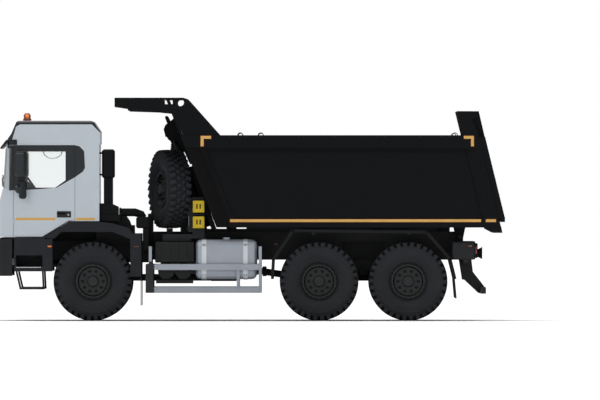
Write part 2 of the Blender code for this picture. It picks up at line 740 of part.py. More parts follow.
def flat_plate(points, thickness, placing):
    curve = bpy.data.curves.new('outline', 'CURVE')
    curve.dimensions = '2D'
    curve.fill_mode = 'BOTH'
    curve.extrude = thickness / 2.0
    spline = curve.splines.new('POLY')
    spline.points.add(len(points) - 1)
    for point, (along, up) in zip(spline.points, points):
        point.co = (along, up, 0.0, 1.0)
    spline.use_cyclic_u = True
    obj = bpy.data.objects.new('outline', curve)
    WORKSHOP.objects.link(obj)
    obj.matrix_world = placing
    return baked(obj)


def tube(points, radius, resolution=2):
    """A round bar through the given points."""
    curve = bpy.data.curves.new('bar', 'CURVE')
    curve.dimensions = '3D'
    curve.bevel_depth = radius
    curve.bevel_resolution = resolution
    curve.use_fill_caps = True
    spline = curve.splines.new('POLY')
    spline.points.add(len(points) - 1)
    for point, place in zip(spline.points, points):
        point.co = (*place, 1.0)
    obj = bpy.data.objects.new('bar', curve)
    WORKSHOP.objects.link(obj)
    return baked(obj)


def rod(start, end, radius, steps=PLAIN_STEPS):
    """A round bar from start to end."""
    start, end = Vector(start), Vector(end)
    bm = bmesh.new()
    bmesh.ops.create_cone(bm, cap_ends=True, segments=steps, radius1=radius, radius2=radius,
                          depth=(end - start).length)
    turn = (end - start).to_track_quat('Z', 'Y').to_matrix().to_4x4()
    place = Matrix.Translation((start + end) / 2.0)
    bmesh.ops.transform(bm, matrix=place @ turn, verts=bm.verts)
    return from_bmesh(bm)


def turned(profile, steps, placing):
    """A profile of (radius, height) points turned about Z, then placed."""
    bm = bmesh.new()
    verts = [bm.verts.new((radius, 0.0, height)) for radius, height in profile]
    for first, second in zip(verts, verts[1:]):
        bm.edges.new((first, second))
    obj = from_bmesh(bm)
    screw = obj.modifiers.new('turn', 'SCREW')
    screw.steps = steps
    screw.render_steps = steps
    screw.use_merge_vertices = True
    screw.merge_threshold = FIT_GAP / 10.0
    obj.matrix_world = placing
    return baked(obj)


def combine(base, others, operation):
    """Union with, or difference by, a group of shapes."""
    group = bpy.data.collections.new('operands')
    for other in others:
        group.objects.link(other)
    boolean = base.modifiers.new('combine', 'BOOLEAN')
    boolean.operation = operation
    boolean.solver = 'EXACT'
    boolean.operand_type = 'COLLECTION'
    boolean.collection = group
    result = baked(base)
    for other in others:
        discard(other)
    bpy.data.collections.remove(group)
    return result


def fuse(parts, cuts=()):
    """One body from overlapping parts, with the cuts taken out."""
    body = parts[0]
    if len(parts) > 1:
        body = combine(body, parts[1:], 'UNION')
    if cuts:
        body = combine(body, list(cuts), 'DIFFERENCE')
    return body


def pivot(name, place, parent=None):
    """An empty on a joint's axis, which the moving pieces hang from."""
    empty = bpy.data.objects.new(name, None)
    empty.empty_display_size = AXLE_TUBE_RADIUS
    MODEL.objects.link(empty)
    if parent:
        empty.parent = parent
        place = Vector(place) - world_place(parent)
    empty.location = place
    return empty


def world_place(empty):
    place = Vector(empty.location)
    while empty.parent:
        empty = empty.parent
        place = place + Vector(empty.location)
    return place


def finish(name, shape, material, carrier=None):
    """Name a finished piece, paint it and hang it from its pivot."""
    mesh = shape.data
    mesh.name = name
    WORKSHOP.objects.unlink(shape)
    shape.name = name
    MODEL.objects.link(shape)
    mesh.materials.clear()
    mesh.materials.append(MATERIALS[material])
    mesh.shade_smooth()
    mesh.set_sharp_from_angle(angle=math.radians(35.0))
    if carrier:
        mesh.transform(Matrix.Translation(-world_place(carrier)))
        shape.parent = carrier
    return shape


def span(sign, inner, outer):
    """The two Y planes of a piece on one side, the lower first."""
    return sorted((sign * inner, sign * outer))


def mirrored_box(x0, x1, inner, outer, z0, z1, sign, edge=0.0, edge_steps=1):
    y0, y1 = span(sign, inner, outer)
    return box(x0, x1, y0, y1, z0, z1, edge, edge_steps)


def mirrored_plate(points, inner, outer, sign):
    y0, y1 = span(sign, inner, outer)
    return side_plate(points, y0, y1)


def spread(shares, x0, x1, z0, z1):
    """Outline points from shares of a length and a height."""
    return [(x0 + (x1 - x0) * along, z0 + (z1 - z0) * up) for along, up in shares]


def stations(shares, start, end):
    """Places along a length from their shares of it."""
    return [start + (end - start) * share for share in shares]


def arc(centre, radius, start_deg, end_deg, steps):
    """Points on a flat arc."""
    points = []
    for step in range(steps + 1):
        angle = math.radians(start_deg + (end_deg - start_deg) * step / steps)
        points.append((centre[0] + radius * math.cos(angle), centre[1] + radius * math.sin(angle)))
    return points


def tyre_shape():
    """A tyre about Y at the origin, its shoulder lugs parted by V notches."""
    bm = bmesh.new()
    notch_radius = WHEEL_RADIUS - LUG_NOTCH
    down = -math.pi / 2.0

    def ring_point(angle, radius, y):
        return bm.verts.new((radius * math.cos(angle), y, radius * math.sin(angle)))

    centre = [ring_point(down + lug * LUG_ANGLE, AXLE_Z, 0.0) for lug in range(LUG_COUNT)]
    beads = []
    for sign in (-1.0, 1.0):
        bead, bulge, shoulder = [], [], []
        for lug in range(LUG_COUNT):
            angle = down + lug * LUG_ANGLE
            half_lug = LUG_ANGLE * LUG_SHARE / 2.0
            bead.append(ring_point(angle, TYRE_BEAD_RADIUS, sign * TYRE_BEAD_WIDTH / 2.0))
            bulge.append(ring_point(angle, TYRE_BULGE_RADIUS, sign * TYRE_WIDTH / 2.0))
            shoulder.append((
                ring_point(angle - half_lug, WHEEL_RADIUS, sign * TYRE_SHOULDER_WIDTH / 2.0),
                ring_point(angle + half_lug, WHEEL_RADIUS, sign * TYRE_SHOULDER_WIDTH / 2.0),
                ring_point(angle + LUG_ANGLE / 2.0, notch_radius, sign * TYRE_SHOULDER_WIDTH / 2.0),
            ))
        for lug in range(LUG_COUNT):
            after = (lug + 1) % LUG_COUNT
            lug_start, lug_end, notch = shoulder[lug]
            next_start = shoulder[after][0]
            bm.faces.new((bead[lug], bead[after], bulge[after], bulge[lug]))
            for inner, inner_next in ((centre[lug], centre[after]), (bulge[lug], bulge[after])):
                bm.faces.new((inner, lug_start, lug_end))
                bm.faces.new((inner, lug_end, notch))
                bm.faces.new((inner, notch, inner_next))
                bm.faces.new((inner_next, notch, next_start))
        beads.append(bead)
    for lug in range(LUG_COUNT):
        after = (lug + 1) % LUG_COUNT
        bm.faces.new((beads[0][lug], beads[0][after], beads[1][after], beads[1][lug]))
    bmesh.ops.recalc_face_normals(bm, faces=bm.faces)
    return from_bmesh(bm)


def rim_shape():
    """A rim about Z at the origin, its hub face up, with a blind bore for the spindle."""
    barrel = TYRE_BEAD_RADIUS * math.cos(LUG_ANGLE / 2.0) - FIT_GAP
    inside = RIM_LIP_RADIUS - RIM_FLANGE_THICKNESS / 2.0
    half_flange = TYRE_BEAD_WIDTH / 2.0 + RIM_FLANGE_THICKNESS
    half_lip = RIM_LIP_WIDTH / 2.0
    disc_top = half_lip - HUB_DISC_DEPTH
    disc_low = disc_top - HUB_DISC_THICKNESS
    bore = SPINDLE_RADIUS + SPINDLE_PLAY
    cap_top = disc_top + HUB_CAP_DEPTH
    bore_end = cap_top - RIM_WALL
    profile = (
        (0.0, cap_top), (HUB_CAP_RADIUS, cap_top), (HUB_BOSS_RADIUS, disc_top),
        (HUB_DISC_RADIUS, disc_top), (RIM_LIP_RADIUS, half_lip), (barrel, half_flange),
        (barrel, -half_flange), (inside, -half_lip), (inside, disc_low - RIM_WALL),
        (HUB_DISC_RADIUS - RIM_WALL, disc_low), (bore, disc_low), (bore, bore_end),
        (0.0, bore_end),
    )
    return turned(profile, WHEEL_STEPS, Matrix.Identity(4))


def spindle_end_y():
    """Where a spindle ends, just inside the hub cap."""
    disc_top = RIM_LIP_WIDTH / 2.0 - HUB_DISC_DEPTH
    return WHEEL_Y + disc_top + HUB_CAP_DEPTH - RIM_WALL - SPINDLE_PLAY


def build_wheels(knuckles):
    """Six wheels, and the meshes that the spare wheel shares."""
    tyre_mesh = tyre_shape().data
    rim_mesh = rim_shape().data
    axles = (
        ('front', FRONT_AXLE_X), ('rear_1', REAR_AXLE_1_X), ('rear_2', REAR_AXLE_2_X),
    )
    for axle, axle_x in axles:
        for side, sign in SIDES:
            carrier = knuckles[side] if axle == 'front' else None
            hub = pivot(f'spin_{axle}_{side}', (axle_x, sign * WHEEL_Y, AXLE_Z), carrier)
            facing = Matrix.Rotation(math.radians(-90.0 * sign), 4, 'X')
            place = Matrix.Translation(world_place(hub))
            tyre = workshop_object(tyre_mesh.copy())
            tyre.data.transform(place)
            rim = workshop_object(rim_mesh.copy())
            rim.data.transform(place @ facing)
            finish(f'tyre_{axle}_{side}', tyre, 'rubber', hub)
            finish(f'rim_{axle}_{side}', rim, 'wheel_paint', hub)
    return tyre_mesh, rim_mesh


def build_knuckles():
    """Steering knuckles, each with its king post, flange and spindle."""
    knuckles = {}
    for side, sign in SIDES:
        kingpin = pivot(f'steer_{side}', (FRONT_AXLE_X, sign * KINGPIN_Y, AXLE_Z))
        half_post = YOKE_ARM_DROP - PIN_PLAY
        post_y = sign * KINGPIN_Y
        flange_start = sign * (KINGPIN_Y + KNUCKLE_FLANGE_OFFSET)
        flange_end = sign * (KINGPIN_Y + KNUCKLE_FLANGE_OFFSET + KNUCKLE_FLANGE_THICKNESS)
        post = rod((FRONT_AXLE_X, post_y, AXLE_Z - half_post),
                   (FRONT_AXLE_X, post_y, AXLE_Z + half_post), KNUCKLE_RADIUS)
        flange = rod((FRONT_AXLE_X, flange_start, AXLE_Z), (FRONT_AXLE_X, flange_end, AXLE_Z),
                     KNUCKLE_FLANGE_RADIUS, FINE_STEPS)
        spindle = rod((FRONT_AXLE_X, post_y, AXLE_Z),
                      (FRONT_AXLE_X, sign * spindle_end_y(), AXLE_Z), SPINDLE_RADIUS)
        finish(f'knuckle_{side}', fuse([post, flange, spindle]), 'cast_metal', kingpin)
        knuckles[side] = kingpin
    return knuckles


def ball(place, radius):
    bm = bmesh.new()
    bmesh.ops.create_uvsphere(bm, u_segments=PLAIN_STEPS, v_segments=PLAIN_STEPS // 2,
                              radius=radius)
    bmesh.ops.translate(bm, vec=Vector(place), verts=bm.verts)
    return from_bmesh(bm)


def build_front_axle():
    """Driven front axle: tube, differential, yokes and two leaf springs up to the rails."""
    tube_end = KINGPIN_Y - YOKE_INSET
    parts = [
        rod((FRONT_AXLE_X, -tube_end, AXLE_Z), (FRONT_AXLE_X, tube_end, AXLE_Z),
            AXLE_TUBE_RADIUS, FINE_STEPS),
        ball((FRONT_AXLE_X, 0.0, AXLE_Z), DIFF_RADIUS),
        rod((FRONT_AXLE_X, 0.0, FRONT_SHAFT_Z),
            (FRONT_AXLE_X + DIFF_NOSE_LENGTH, 0.0, FRONT_SHAFT_Z), DIFF_NOSE_RADIUS),
    ]
    spring_top = RAIL_BOTTOM_Z - FIT_GAP
    spring_low = AXLE_Z + AXLE_TUBE_RADIUS - RAIL_WALL
    yoke_x0 = FRONT_AXLE_X - YOKE_HALF_LENGTH
    yoke_x1 = FRONT_AXLE_X + YOKE_HALF_LENGTH
    arm_top = YOKE_ARM_DROP + YOKE_THICKNESS
    arm_end = KINGPIN_Y + YOKE_REACH
    for side, sign in SIDES:
        parts.append(mirrored_box(yoke_x0, yoke_x1, tube_end - YOKE_THICKNESS, tube_end,
                                  AXLE_Z - arm_top, AXLE_Z + arm_top, sign))
        for low, high in ((YOKE_ARM_DROP, arm_top), (-arm_top, -YOKE_ARM_DROP)):
            parts.append(mirrored_box(yoke_x0, yoke_x1, tube_end - YOKE_THICKNESS / 2.0, arm_end,
                                      AXLE_Z + low, AXLE_Z + high, sign))
        leaf = [(FRONT_AXLE_X + SPRING_HALF_LENGTH * along,
                 spring_low + (spring_top - spring_low) * up) for along, up in SPRING_SHARES]
        parts.append(mirrored_plate(leaf, SPRING_Y - SPRING_WIDTH / 2.0,
                                    SPRING_Y + SPRING_WIDTH / 2.0, sign))
    finish('front_axle', fuse(parts), 'cast_metal')


def build_rear_axles():
    """Two driven rear axles with brake drums and the pads that the springs rest on."""
    pad_top = BOGIE_SPRING_END_Z - FIT_GAP
    pad_middle = SPRING_END_INSET
    for number, axle_x, inward in ((1, REAR_AXLE_1_X, 1.0), (2, REAR_AXLE_2_X, -1.0)):
        parts = [
            rod((axle_x, -KINGPIN_Y, AXLE_Z), (axle_x, KINGPIN_Y, AXLE_Z),
                AXLE_TUBE_RADIUS, FINE_STEPS),
            ball((axle_x, 0.0, AXLE_Z), DIFF_RADIUS),
            rod((axle_x - DIFF_NOSE_LENGTH, 0.0, FRONT_SHAFT_Z), (axle_x, 0.0, FRONT_SHAFT_Z),
                DIFF_NOSE_RADIUS),
        ]
        if number == 1:
            link_end = REAR_AXLE_2_X - DIFF_NOSE_LENGTH - FIT_GAP
            parts.append(rod((axle_x, 0.0, FRONT_SHAFT_Z), (link_end, 0.0, FRONT_SHAFT_Z),
                             SHAFT_RADIUS))
        for side, sign in SIDES:
            drum_end = WHEEL_Y + RIM_LIP_WIDTH / 2.0 - HUB_DISC_DEPTH - HUB_DISC_THICKNESS
            drum_end -= RIM_WALL + MOVING_GAP
            parts.append(rod((axle_x, sign * BRAKE_DRUM_START_Y, AXLE_Z),
                             (axle_x, sign * drum_end, AXLE_Z), BRAKE_DRUM_RADIUS, FINE_STEPS))
            parts.append(rod((axle_x, sign * BRAKE_DRUM_START_Y, AXLE_Z),
                             (axle_x, sign * spindle_end_y(), AXLE_Z), SPINDLE_RADIUS))
            pad_x = axle_x + inward * pad_middle
            parts.append(mirrored_box(pad_x - AXLE_PAD_LENGTH / 2.0,
                                      pad_x + AXLE_PAD_LENGTH / 2.0, BOGIE_SPRING_INNER_Y,
                                      BOGIE_SPRING_OUTER_Y, AXLE_Z, pad_top, sign))
        finish(f'rear_axle_{number}', fuse(parts), 'cast_metal')


def build_bogie_springs():
    """Leaf packs on their trunnion tube, each with its bracket on the frame rail."""
    half_length = BOGIE_SPACING / 2.0
    spring = spread(BOGIE_SPRING_SHARES, BOGIE_X, BOGIE_X + half_length,
                    BOGIE_SPRING_END_Z, BOGIE_SPRING_TOP_Z)
    bracket_inner = RAIL_OUTER_Y + FIT_GAP
    bracket_outer = bracket_inner + BOGIE_BRACKET_THICKNESS
    half_foot = BOGIE_BRACKET_LENGTH * BOGIE_BRACKET_FOOT_SHARE / 2.0
    bracket = (
        (BOGIE_X - BOGIE_BRACKET_LENGTH / 2.0, RAIL_TOP_Z - RAIL_WALL),
        (BOGIE_X - BOGIE_BRACKET_LENGTH / 2.0, RAIL_BOTTOM_Z),
        (BOGIE_X - half_foot, TRUNNION_Z - TRUNNION_RADIUS),
        (BOGIE_X + half_foot, TRUNNION_Z - TRUNNION_RADIUS),
        (BOGIE_X + BOGIE_BRACKET_LENGTH / 2.0, RAIL_BOTTOM_Z),
        (BOGIE_X + BOGIE_BRACKET_LENGTH / 2.0, RAIL_TOP_Z - RAIL_WALL),
    )
    parts = [rod((BOGIE_X, -bracket_outer, TRUNNION_Z), (BOGIE_X, bracket_outer, TRUNNION_Z),
                 TRUNNION_TUBE_RADIUS)]
    saddle_x = SPRING_WIDTH * 1.5
    for side, sign in SIDES:
        parts += [
            mirrored_plate(bracket, bracket_inner, bracket_outer, sign),
            mirrored_plate(spring, BOGIE_SPRING_INNER_Y, BOGIE_SPRING_OUTER_Y, sign),
            rod((BOGIE_X, sign * (bracket_inner + RAIL_WALL), TRUNNION_Z),
                (BOGIE_X, sign * (BOGIE_SPRING_OUTER_Y + SPRING_WIDTH), TRUNNION_Z),
                TRUNNION_RADIUS, FINE_STEPS),
            mirrored_box(BOGIE_X - saddle_x, BOGIE_X + saddle_x,
                         BOGIE_SPRING_INNER_Y - RAIL_WALL, BOGIE_SPRING_OUTER_Y + RAIL_WALL,
                         TRUNNION_Z, BOGIE_SPRING_TOP_Z + RAIL_WALL, sign),
        ]
    finish('bogie_springs', fuse(parts), 'cast_metal')


def build_frame_rails():
    """Two channel rails, their cross members and the ears that the cab tilts on."""
    parts = []
    for side, sign in SIDES:
        outer, inner = sign * RAIL_OUTER_Y, sign * RAIL_INNER_Y
        web = sign * (RAIL_OUTER_Y - RAIL_WALL)
        low, high = RAIL_BOTTOM_Z + RAIL_WALL, RAIL_TOP_Z - RAIL_WALL
        channel = (
            (outer, RAIL_BOTTOM_Z), (outer, RAIL_TOP_Z), (inner, RAIL_TOP_Z), (inner, high),
            (web, high), (web, low), (inner, low), (inner, RAIL_BOTTOM_Z),
        )
        parts.append(cross_plate(channel, FRAME_FRONT_X, FRAME_REAR_X))
        ear_front = CAB_PIVOT_X - CAB_ARM_RADIUS
        ear_inner = RAIL_OUTER_Y - RAIL_WALL
        ear_outer = CAB_ARM_INNER_Y - MOVING_GAP
        parts.append(mirrored_box(ear_front, FRAME_FRONT_X + 2.0 * CAB_ARM_RADIUS, ear_inner,
                                  ear_outer, CAB_PIVOT_Z - CAB_ARM_RADIUS, RAIL_TOP_Z - RAIL_WALL,
                                  sign))
        parts.append(rod((CAB_PIVOT_X, sign * ear_inner, CAB_PIVOT_Z),
                         (CAB_PIVOT_X, sign * (CAB_ARM_OUTER_Y + CAB_PIN_RADIUS), CAB_PIVOT_Z),
                         CAB_PIN_RADIUS, FINE_STEPS))
    half_web = RAIL_OUTER_Y - RAIL_WALL / 2.0
    cross_top = RAIL_TOP_Z - RAIL_WALL - RAIL_WALL
    places = stations(CROSS_MEMBER_SHARES, FRAME_FRONT_X, FRAME_REAR_X)
    for place in places:
        parts.append(box(place - CROSS_MEMBER_DEPTH / 2.0, place + CROSS_MEMBER_DEPTH / 2.0,
                         -half_web, half_web, cross_top - CROSS_MEMBER_HEIGHT, cross_top))
    parts.append(box(FRAME_FRONT_X + RAIL_WALL, FRAME_FRONT_X + CROSS_MEMBER_DEPTH,
                     -half_web, half_web, RAIL_BOTTOM_Z + RAIL_WALL, cross_top))
    parts.append(box(FRAME_REAR_X - CROSS_MEMBER_DEPTH, FRAME_REAR_X - FIT_GAP,
                     -half_web, half_web, RAIL_BOTTOM_Z + RAIL_WALL, cross_top))
    finish('frame_rails', fuse(parts), 'frame_paint')


def cross_plate(points, x0, x1):
    """A flat outline of (y, z) points, as thick as from x0 to x1."""
    turn = Matrix(((0.0, 0.0, 1.0, 0.0), (1.0, 0.0, 0.0, 0.0),
                   (0.0, 1.0, 0.0, 0.0), (0.0, 0.0, 0.0, 1.0)))
    return flat_plate(points, abs(x1 - x0), Matrix.Translation(((x0 + x1) / 2.0, 0.0, 0.0)) @ turn)


def build_subframe():
    """Box rails on the frame, hoist ears at the front and the bed's hinge pin at the tail."""
    inner, outer = RAIL_INNER_Y, RAIL_OUTER_Y
    parts = [rod((BED_PIVOT_X, -BED_LUG_OUTER_Y - BED_PIN_RADIUS, BED_PIVOT_Z),
                 (BED_PIVOT_X, BED_LUG_OUTER_Y + BED_PIN_RADIUS, BED_PIVOT_Z), BED_PIN_RADIUS,
                 FINE_STEPS)]
    for side, sign in SIDES:
        parts.append(mirrored_box(SUBFRAME_FRONT_X, SUBFRAME_REAR_X, inner, outer,
                                  SUBFRAME_BOTTOM_Z, SUBFRAME_TOP_Z, sign))
        ear_inner = HOIST_FOOT_WIDTH / 2.0 + MOVING_GAP
        base_x, base_z = hoist_base()
        parts.append(mirrored_box(base_x - HOIST_FOOT_RADIUS, base_x + HOIST_FOOT_RADIUS,
                                  ear_inner, ear_inner + HOIST_EAR_THICKNESS,
                                  base_z - HOIST_FOOT_RADIUS, base_z + HOIST_FOOT_RADIUS, sign))
    half_cross = inner + RAIL_WALL
    for place in stations(SUBFRAME_CROSS_SHARES, SUBFRAME_FRONT_X, SUBFRAME_REAR_X):
        parts.append(box(place - CROSS_MEMBER_DEPTH / 2.0, place + CROSS_MEMBER_DEPTH / 2.0,
                         -half_cross, half_cross, SUBFRAME_BOTTOM_Z + RAIL_WALL,
                         SUBFRAME_TOP_Z - RAIL_WALL))
    for edge in (-1.0, 1.0):
        beam_x = base_x + edge * (HOIST_FOOT_RADIUS + CROSS_MEMBER_DEPTH + MOVING_GAP)
        beam_ends = sorted((beam_x, beam_x - edge * CROSS_MEMBER_DEPTH))
        parts.append(box(*beam_ends, -half_cross, half_cross, SUBFRAME_BOTTOM_Z + RAIL_WALL,
                         base_z + OVERRUN))
        for side, sign in SIDES:
            tie_ends = sorted((base_x, beam_x - edge * RAIL_WALL))
            parts.append(mirrored_box(*tie_ends, ear_inner + FIT_GAP,
                                      ear_inner + HOIST_EAR_THICKNESS - FIT_GAP,
                                      SUBFRAME_BOTTOM_Z + 2.0 * RAIL_WALL,
                                      base_z + OVERRUN / 2.0, sign))
    parts.append(rod((base_x, -ear_inner - RAIL_WALL, base_z),
                     (base_x, ear_inner + RAIL_WALL, base_z), HOIST_PIN_RADIUS,
                     FINE_STEPS))
    finish('subframe', fuse(parts), 'frame_paint')


def build_engine():
    """Engine block between the rails, its feet against the rail webs."""
    x0 = FRONT_AXLE_X - ENGINE_OFFSET
    x1 = x0 + ENGINE_LENGTH
    foot_end = RAIL_OUTER_Y - RAIL_WALL - FIT_GAP
    parts = [box(x0, x1, -ENGINE_HALF_WIDTH, ENGINE_HALF_WIDTH, ENGINE_BOTTOM_Z, ENGINE_TOP_Z,
                 RAIL_WALL)]
    for place in stations(ENGINE_MOUNT_SHARES, x0, x1):
        parts.append(box(place - ENGINE_MOUNT_LENGTH / 2.0, place + ENGINE_MOUNT_LENGTH / 2.0,
                         -foot_end, foot_end, ENGINE_MOUNT_BOTTOM_Z, ENGINE_MOUNT_TOP_Z))
    finish('engine', fuse(parts), 'cast_metal')


def build_transmission():
    """Gearbox, transfer case and the shafts to the front axle and the first rear axle."""
    gearbox_x = FRONT_AXLE_X - ENGINE_OFFSET + ENGINE_LENGTH + FIT_GAP
    transfer_x = FRONT_AXLE_X + TRANSFER_OFFSET
    transfer_end = transfer_x + TRANSFER_LENGTH
    shaft_end = REAR_AXLE_1_X - DIFF_NOSE_LENGTH - FIT_GAP
    flange_x = FRONT_AXLE_X + SHAFT_FLANGE_OFFSET
    front_end = FRONT_AXLE_X + DIFF_NOSE_LENGTH + FIT_GAP
    gearbox_z = (GEARBOX_BOTTOM_Z + GEARBOX_TOP_Z) / 2.0
    transfer_top = RAIL_TOP_Z - 2.0 * RAIL_WALL - CROSS_MEMBER_HEIGHT - FIT_GAP
    nose_z = FRONT_SHAFT_Z
    parts = [
        box(gearbox_x, gearbox_x + GEARBOX_LENGTH, -GEARBOX_HALF_WIDTH, GEARBOX_HALF_WIDTH,
            GEARBOX_BOTTOM_Z, GEARBOX_TOP_Z, RAIL_WALL),
        box(transfer_x, transfer_end, -TRANSFER_HALF_WIDTH, TRANSFER_HALF_WIDTH,
            TRANSFER_BOTTOM_Z, transfer_top, RAIL_WALL),
        rod((gearbox_x + GEARBOX_LENGTH - OVERRUN, 0.0, gearbox_z),
            (transfer_x + OVERRUN, 0.0, gearbox_z - GEARBOX_HALF_WIDTH / 2.0), SHAFT_RADIUS),
        rod((front_end, 0.0, nose_z), (transfer_x + OVERRUN, 0.0, nose_z), SHAFT_RADIUS),
        rod((transfer_end - OVERRUN, 0.0, SHAFT_Z), (flange_x, 0.0, SHAFT_Z), SHAFT_RADIUS),
        rod((flange_x, 0.0, SHAFT_Z), (flange_x + SHAFT_FLANGE_LENGTH, 0.0, SHAFT_Z),
            SHAFT_FLANGE_RADIUS),
        rod((flange_x, 0.0, SHAFT_Z), (shaft_end - 2.0 * OVERRUN, 0.0, nose_z), SHAFT_RADIUS),
        rod((shaft_end - 3.0 * OVERRUN, 0.0, nose_z), (shaft_end, 0.0, nose_z),
            SHAFT_FLANGE_RADIUS),
    ]
    finish('transmission', fuse(parts), 'cast_metal')


def build_fuel_tank():
    """Fuel tank with straps, filler cap and brackets to the left rail."""
    x0 = FRONT_AXLE_X + TANK_OFFSET
    x1 = x0 + TANK_LENGTH
    top = TANK_BOTTOM_Z + TANK_HEIGHT
    parts = [mirrored_box(x0, x1, TANK_INNER_Y, TANK_OUTER_Y, TANK_BOTTOM_Z, top, -1.0, TANK_EDGE,
                          TANK_EDGE_STEPS)]
    grow = TANK_STRAP_THICKNESS
    for place in stations(TANK_STRAP_SHARES, x0, x1):
        start, end = place - TANK_STRAP_WIDTH / 2.0, place + TANK_STRAP_WIDTH / 2.0
        strap = side_rounded(start, end, TANK_INNER_Y - grow, TANK_OUTER_Y + grow,
                             TANK_BOTTOM_Z - grow, top + grow, TANK_EDGE + grow)
        parts.append(strap)
        parts.append(mirrored_box(start + grow, end - grow, RAIL_OUTER_Y + FIT_GAP,
                                  TANK_INNER_Y + OVERRUN, TANK_BRACKET_BOTTOM_Z,
                                  TANK_BRACKET_TOP_Z, -1.0))
    cap_x = x0 + TANK_LENGTH * TANK_CAP_SHARE
    cap_y = -(TANK_OUTER_Y - TANK_EDGE - TANK_CAP_RADIUS)
    parts.append(rod((cap_x, cap_y, top - OVERRUN), (cap_x, cap_y, top + TANK_CAP_HEIGHT),
                     TANK_CAP_RADIUS, FINE_STEPS))
    finish('fuel_tank', fuse(parts), 'tank_metal')


def side_rounded(x0, x1, inner, outer, z0, z1, radius):
    """A left-hand slab whose outline across the truck has round corners."""
    corners = (
        ((-inner - radius, z1 - radius), 0.0), ((-outer + radius, z1 - radius), 90.0),
        ((-outer + radius, z0 + radius), 180.0), ((-inner - radius, z0 + radius), 270.0),
    )
    points = []
    for centre, start in corners:
        points += arc(centre, radius, start, start + 90.0, BUMPER_CORNER_ARC_STEPS)
    return cross_plate(points, x0, x1)


def build_battery_box():
    """Battery box, with the two air tanks and their tray hung below it."""
    x0 = FRONT_AXLE_X + BATTERY_OFFSET
    x1 = x0 + BATTERY_LENGTH
    middle = (x0 + x1) / 2.0
    tray_top = AIR_TRAY_BOTTOM_Z + AIR_TRAY_THICKNESS
    parts = [
        mirrored_box(x0, x1, TANK_INNER_Y, BATTERY_OUTER_Y, BATTERY_BOTTOM_Z, BATTERY_TOP_Z,
                     -1.0, BATTERY_EDGE),
        mirrored_box(middle - TANK_STRAP_WIDTH, middle + TANK_STRAP_WIDTH, RAIL_OUTER_Y + FIT_GAP,
                     TANK_INNER_Y + OVERRUN, TANK_BRACKET_BOTTOM_Z, TANK_BRACKET_TOP_Z, -1.0),
        mirrored_box(x0 + BATTERY_EDGE, x1 - BATTERY_EDGE, AIR_TANK_INNER_Y, AIR_TANK_OUTER_Y,
                     AIR_TRAY_BOTTOM_Z, tray_top, -1.0),
    ]
    for edge in (-1.0, 1.0):
        tank_x = middle + edge * AIR_TANK_SPACING / 2.0
        tank = rod((tank_x, -AIR_TANK_INNER_Y, AIR_TANK_Z), (tank_x, -AIR_TANK_OUTER_Y, AIR_TANK_Z),
                   AIR_TANK_RADIUS, FINE_STEPS)
        parts.append(tank)
        for y in (AIR_TANK_INNER_Y + AIR_SADDLE_LENGTH, AIR_TANK_OUTER_Y - AIR_SADDLE_LENGTH):
            parts.append(mirrored_box(tank_x - AIR_TANK_RADIUS / 2.0,
                                      tank_x + AIR_TANK_RADIUS / 2.0,
                                      y - AIR_TRAY_THICKNESS / 2.0, y + AIR_TRAY_THICKNESS / 2.0,
                                      tray_top - RAIL_WALL, BATTERY_BOTTOM_Z + RAIL_WALL, -1.0))
    finish('battery_box', fuse(parts), 'dark_plastic')


def build_silencer():
    """Box silencer on the right rail, with its pipe towards the tail."""
    x0 = FRONT_AXLE_X + SILENCER_OFFSET
    x1 = x0 + SILENCER_LENGTH
    middle_z = SILENCER_BOTTOM_Z + SILENCER_HEIGHT / 2.0
    pipe_y = (TANK_INNER_Y + BATTERY_OUTER_Y) / 2.0
    parts = [
        mirrored_box(x0, x1, TANK_INNER_Y, BATTERY_OUTER_Y, SILENCER_BOTTOM_Z,
                     SILENCER_BOTTOM_Z + SILENCER_HEIGHT, 1.0, SILENCER_EDGE,
                     TANK_EDGE_STEPS - 1),
        rod((x1 - SILENCER_EDGE, pipe_y, middle_z), (x1 + SILENCER_PIPE_LENGTH, pipe_y, middle_z),
            SILENCER_PIPE_RADIUS, FINE_STEPS),
    ]
    for place in stations(TANK_STRAP_SHARES, x0, x1):
        parts.append(mirrored_box(place - TANK_STRAP_WIDTH / 2.0, place + TANK_STRAP_WIDTH / 2.0,
                                  RAIL_OUTER_Y + FIT_GAP, TANK_INNER_Y + OVERRUN,
                                  TANK_BRACKET_BOTTOM_Z, TANK_BRACKET_TOP_Z, 1.0))
    finish('silencer', fuse(parts), 'tank_metal')


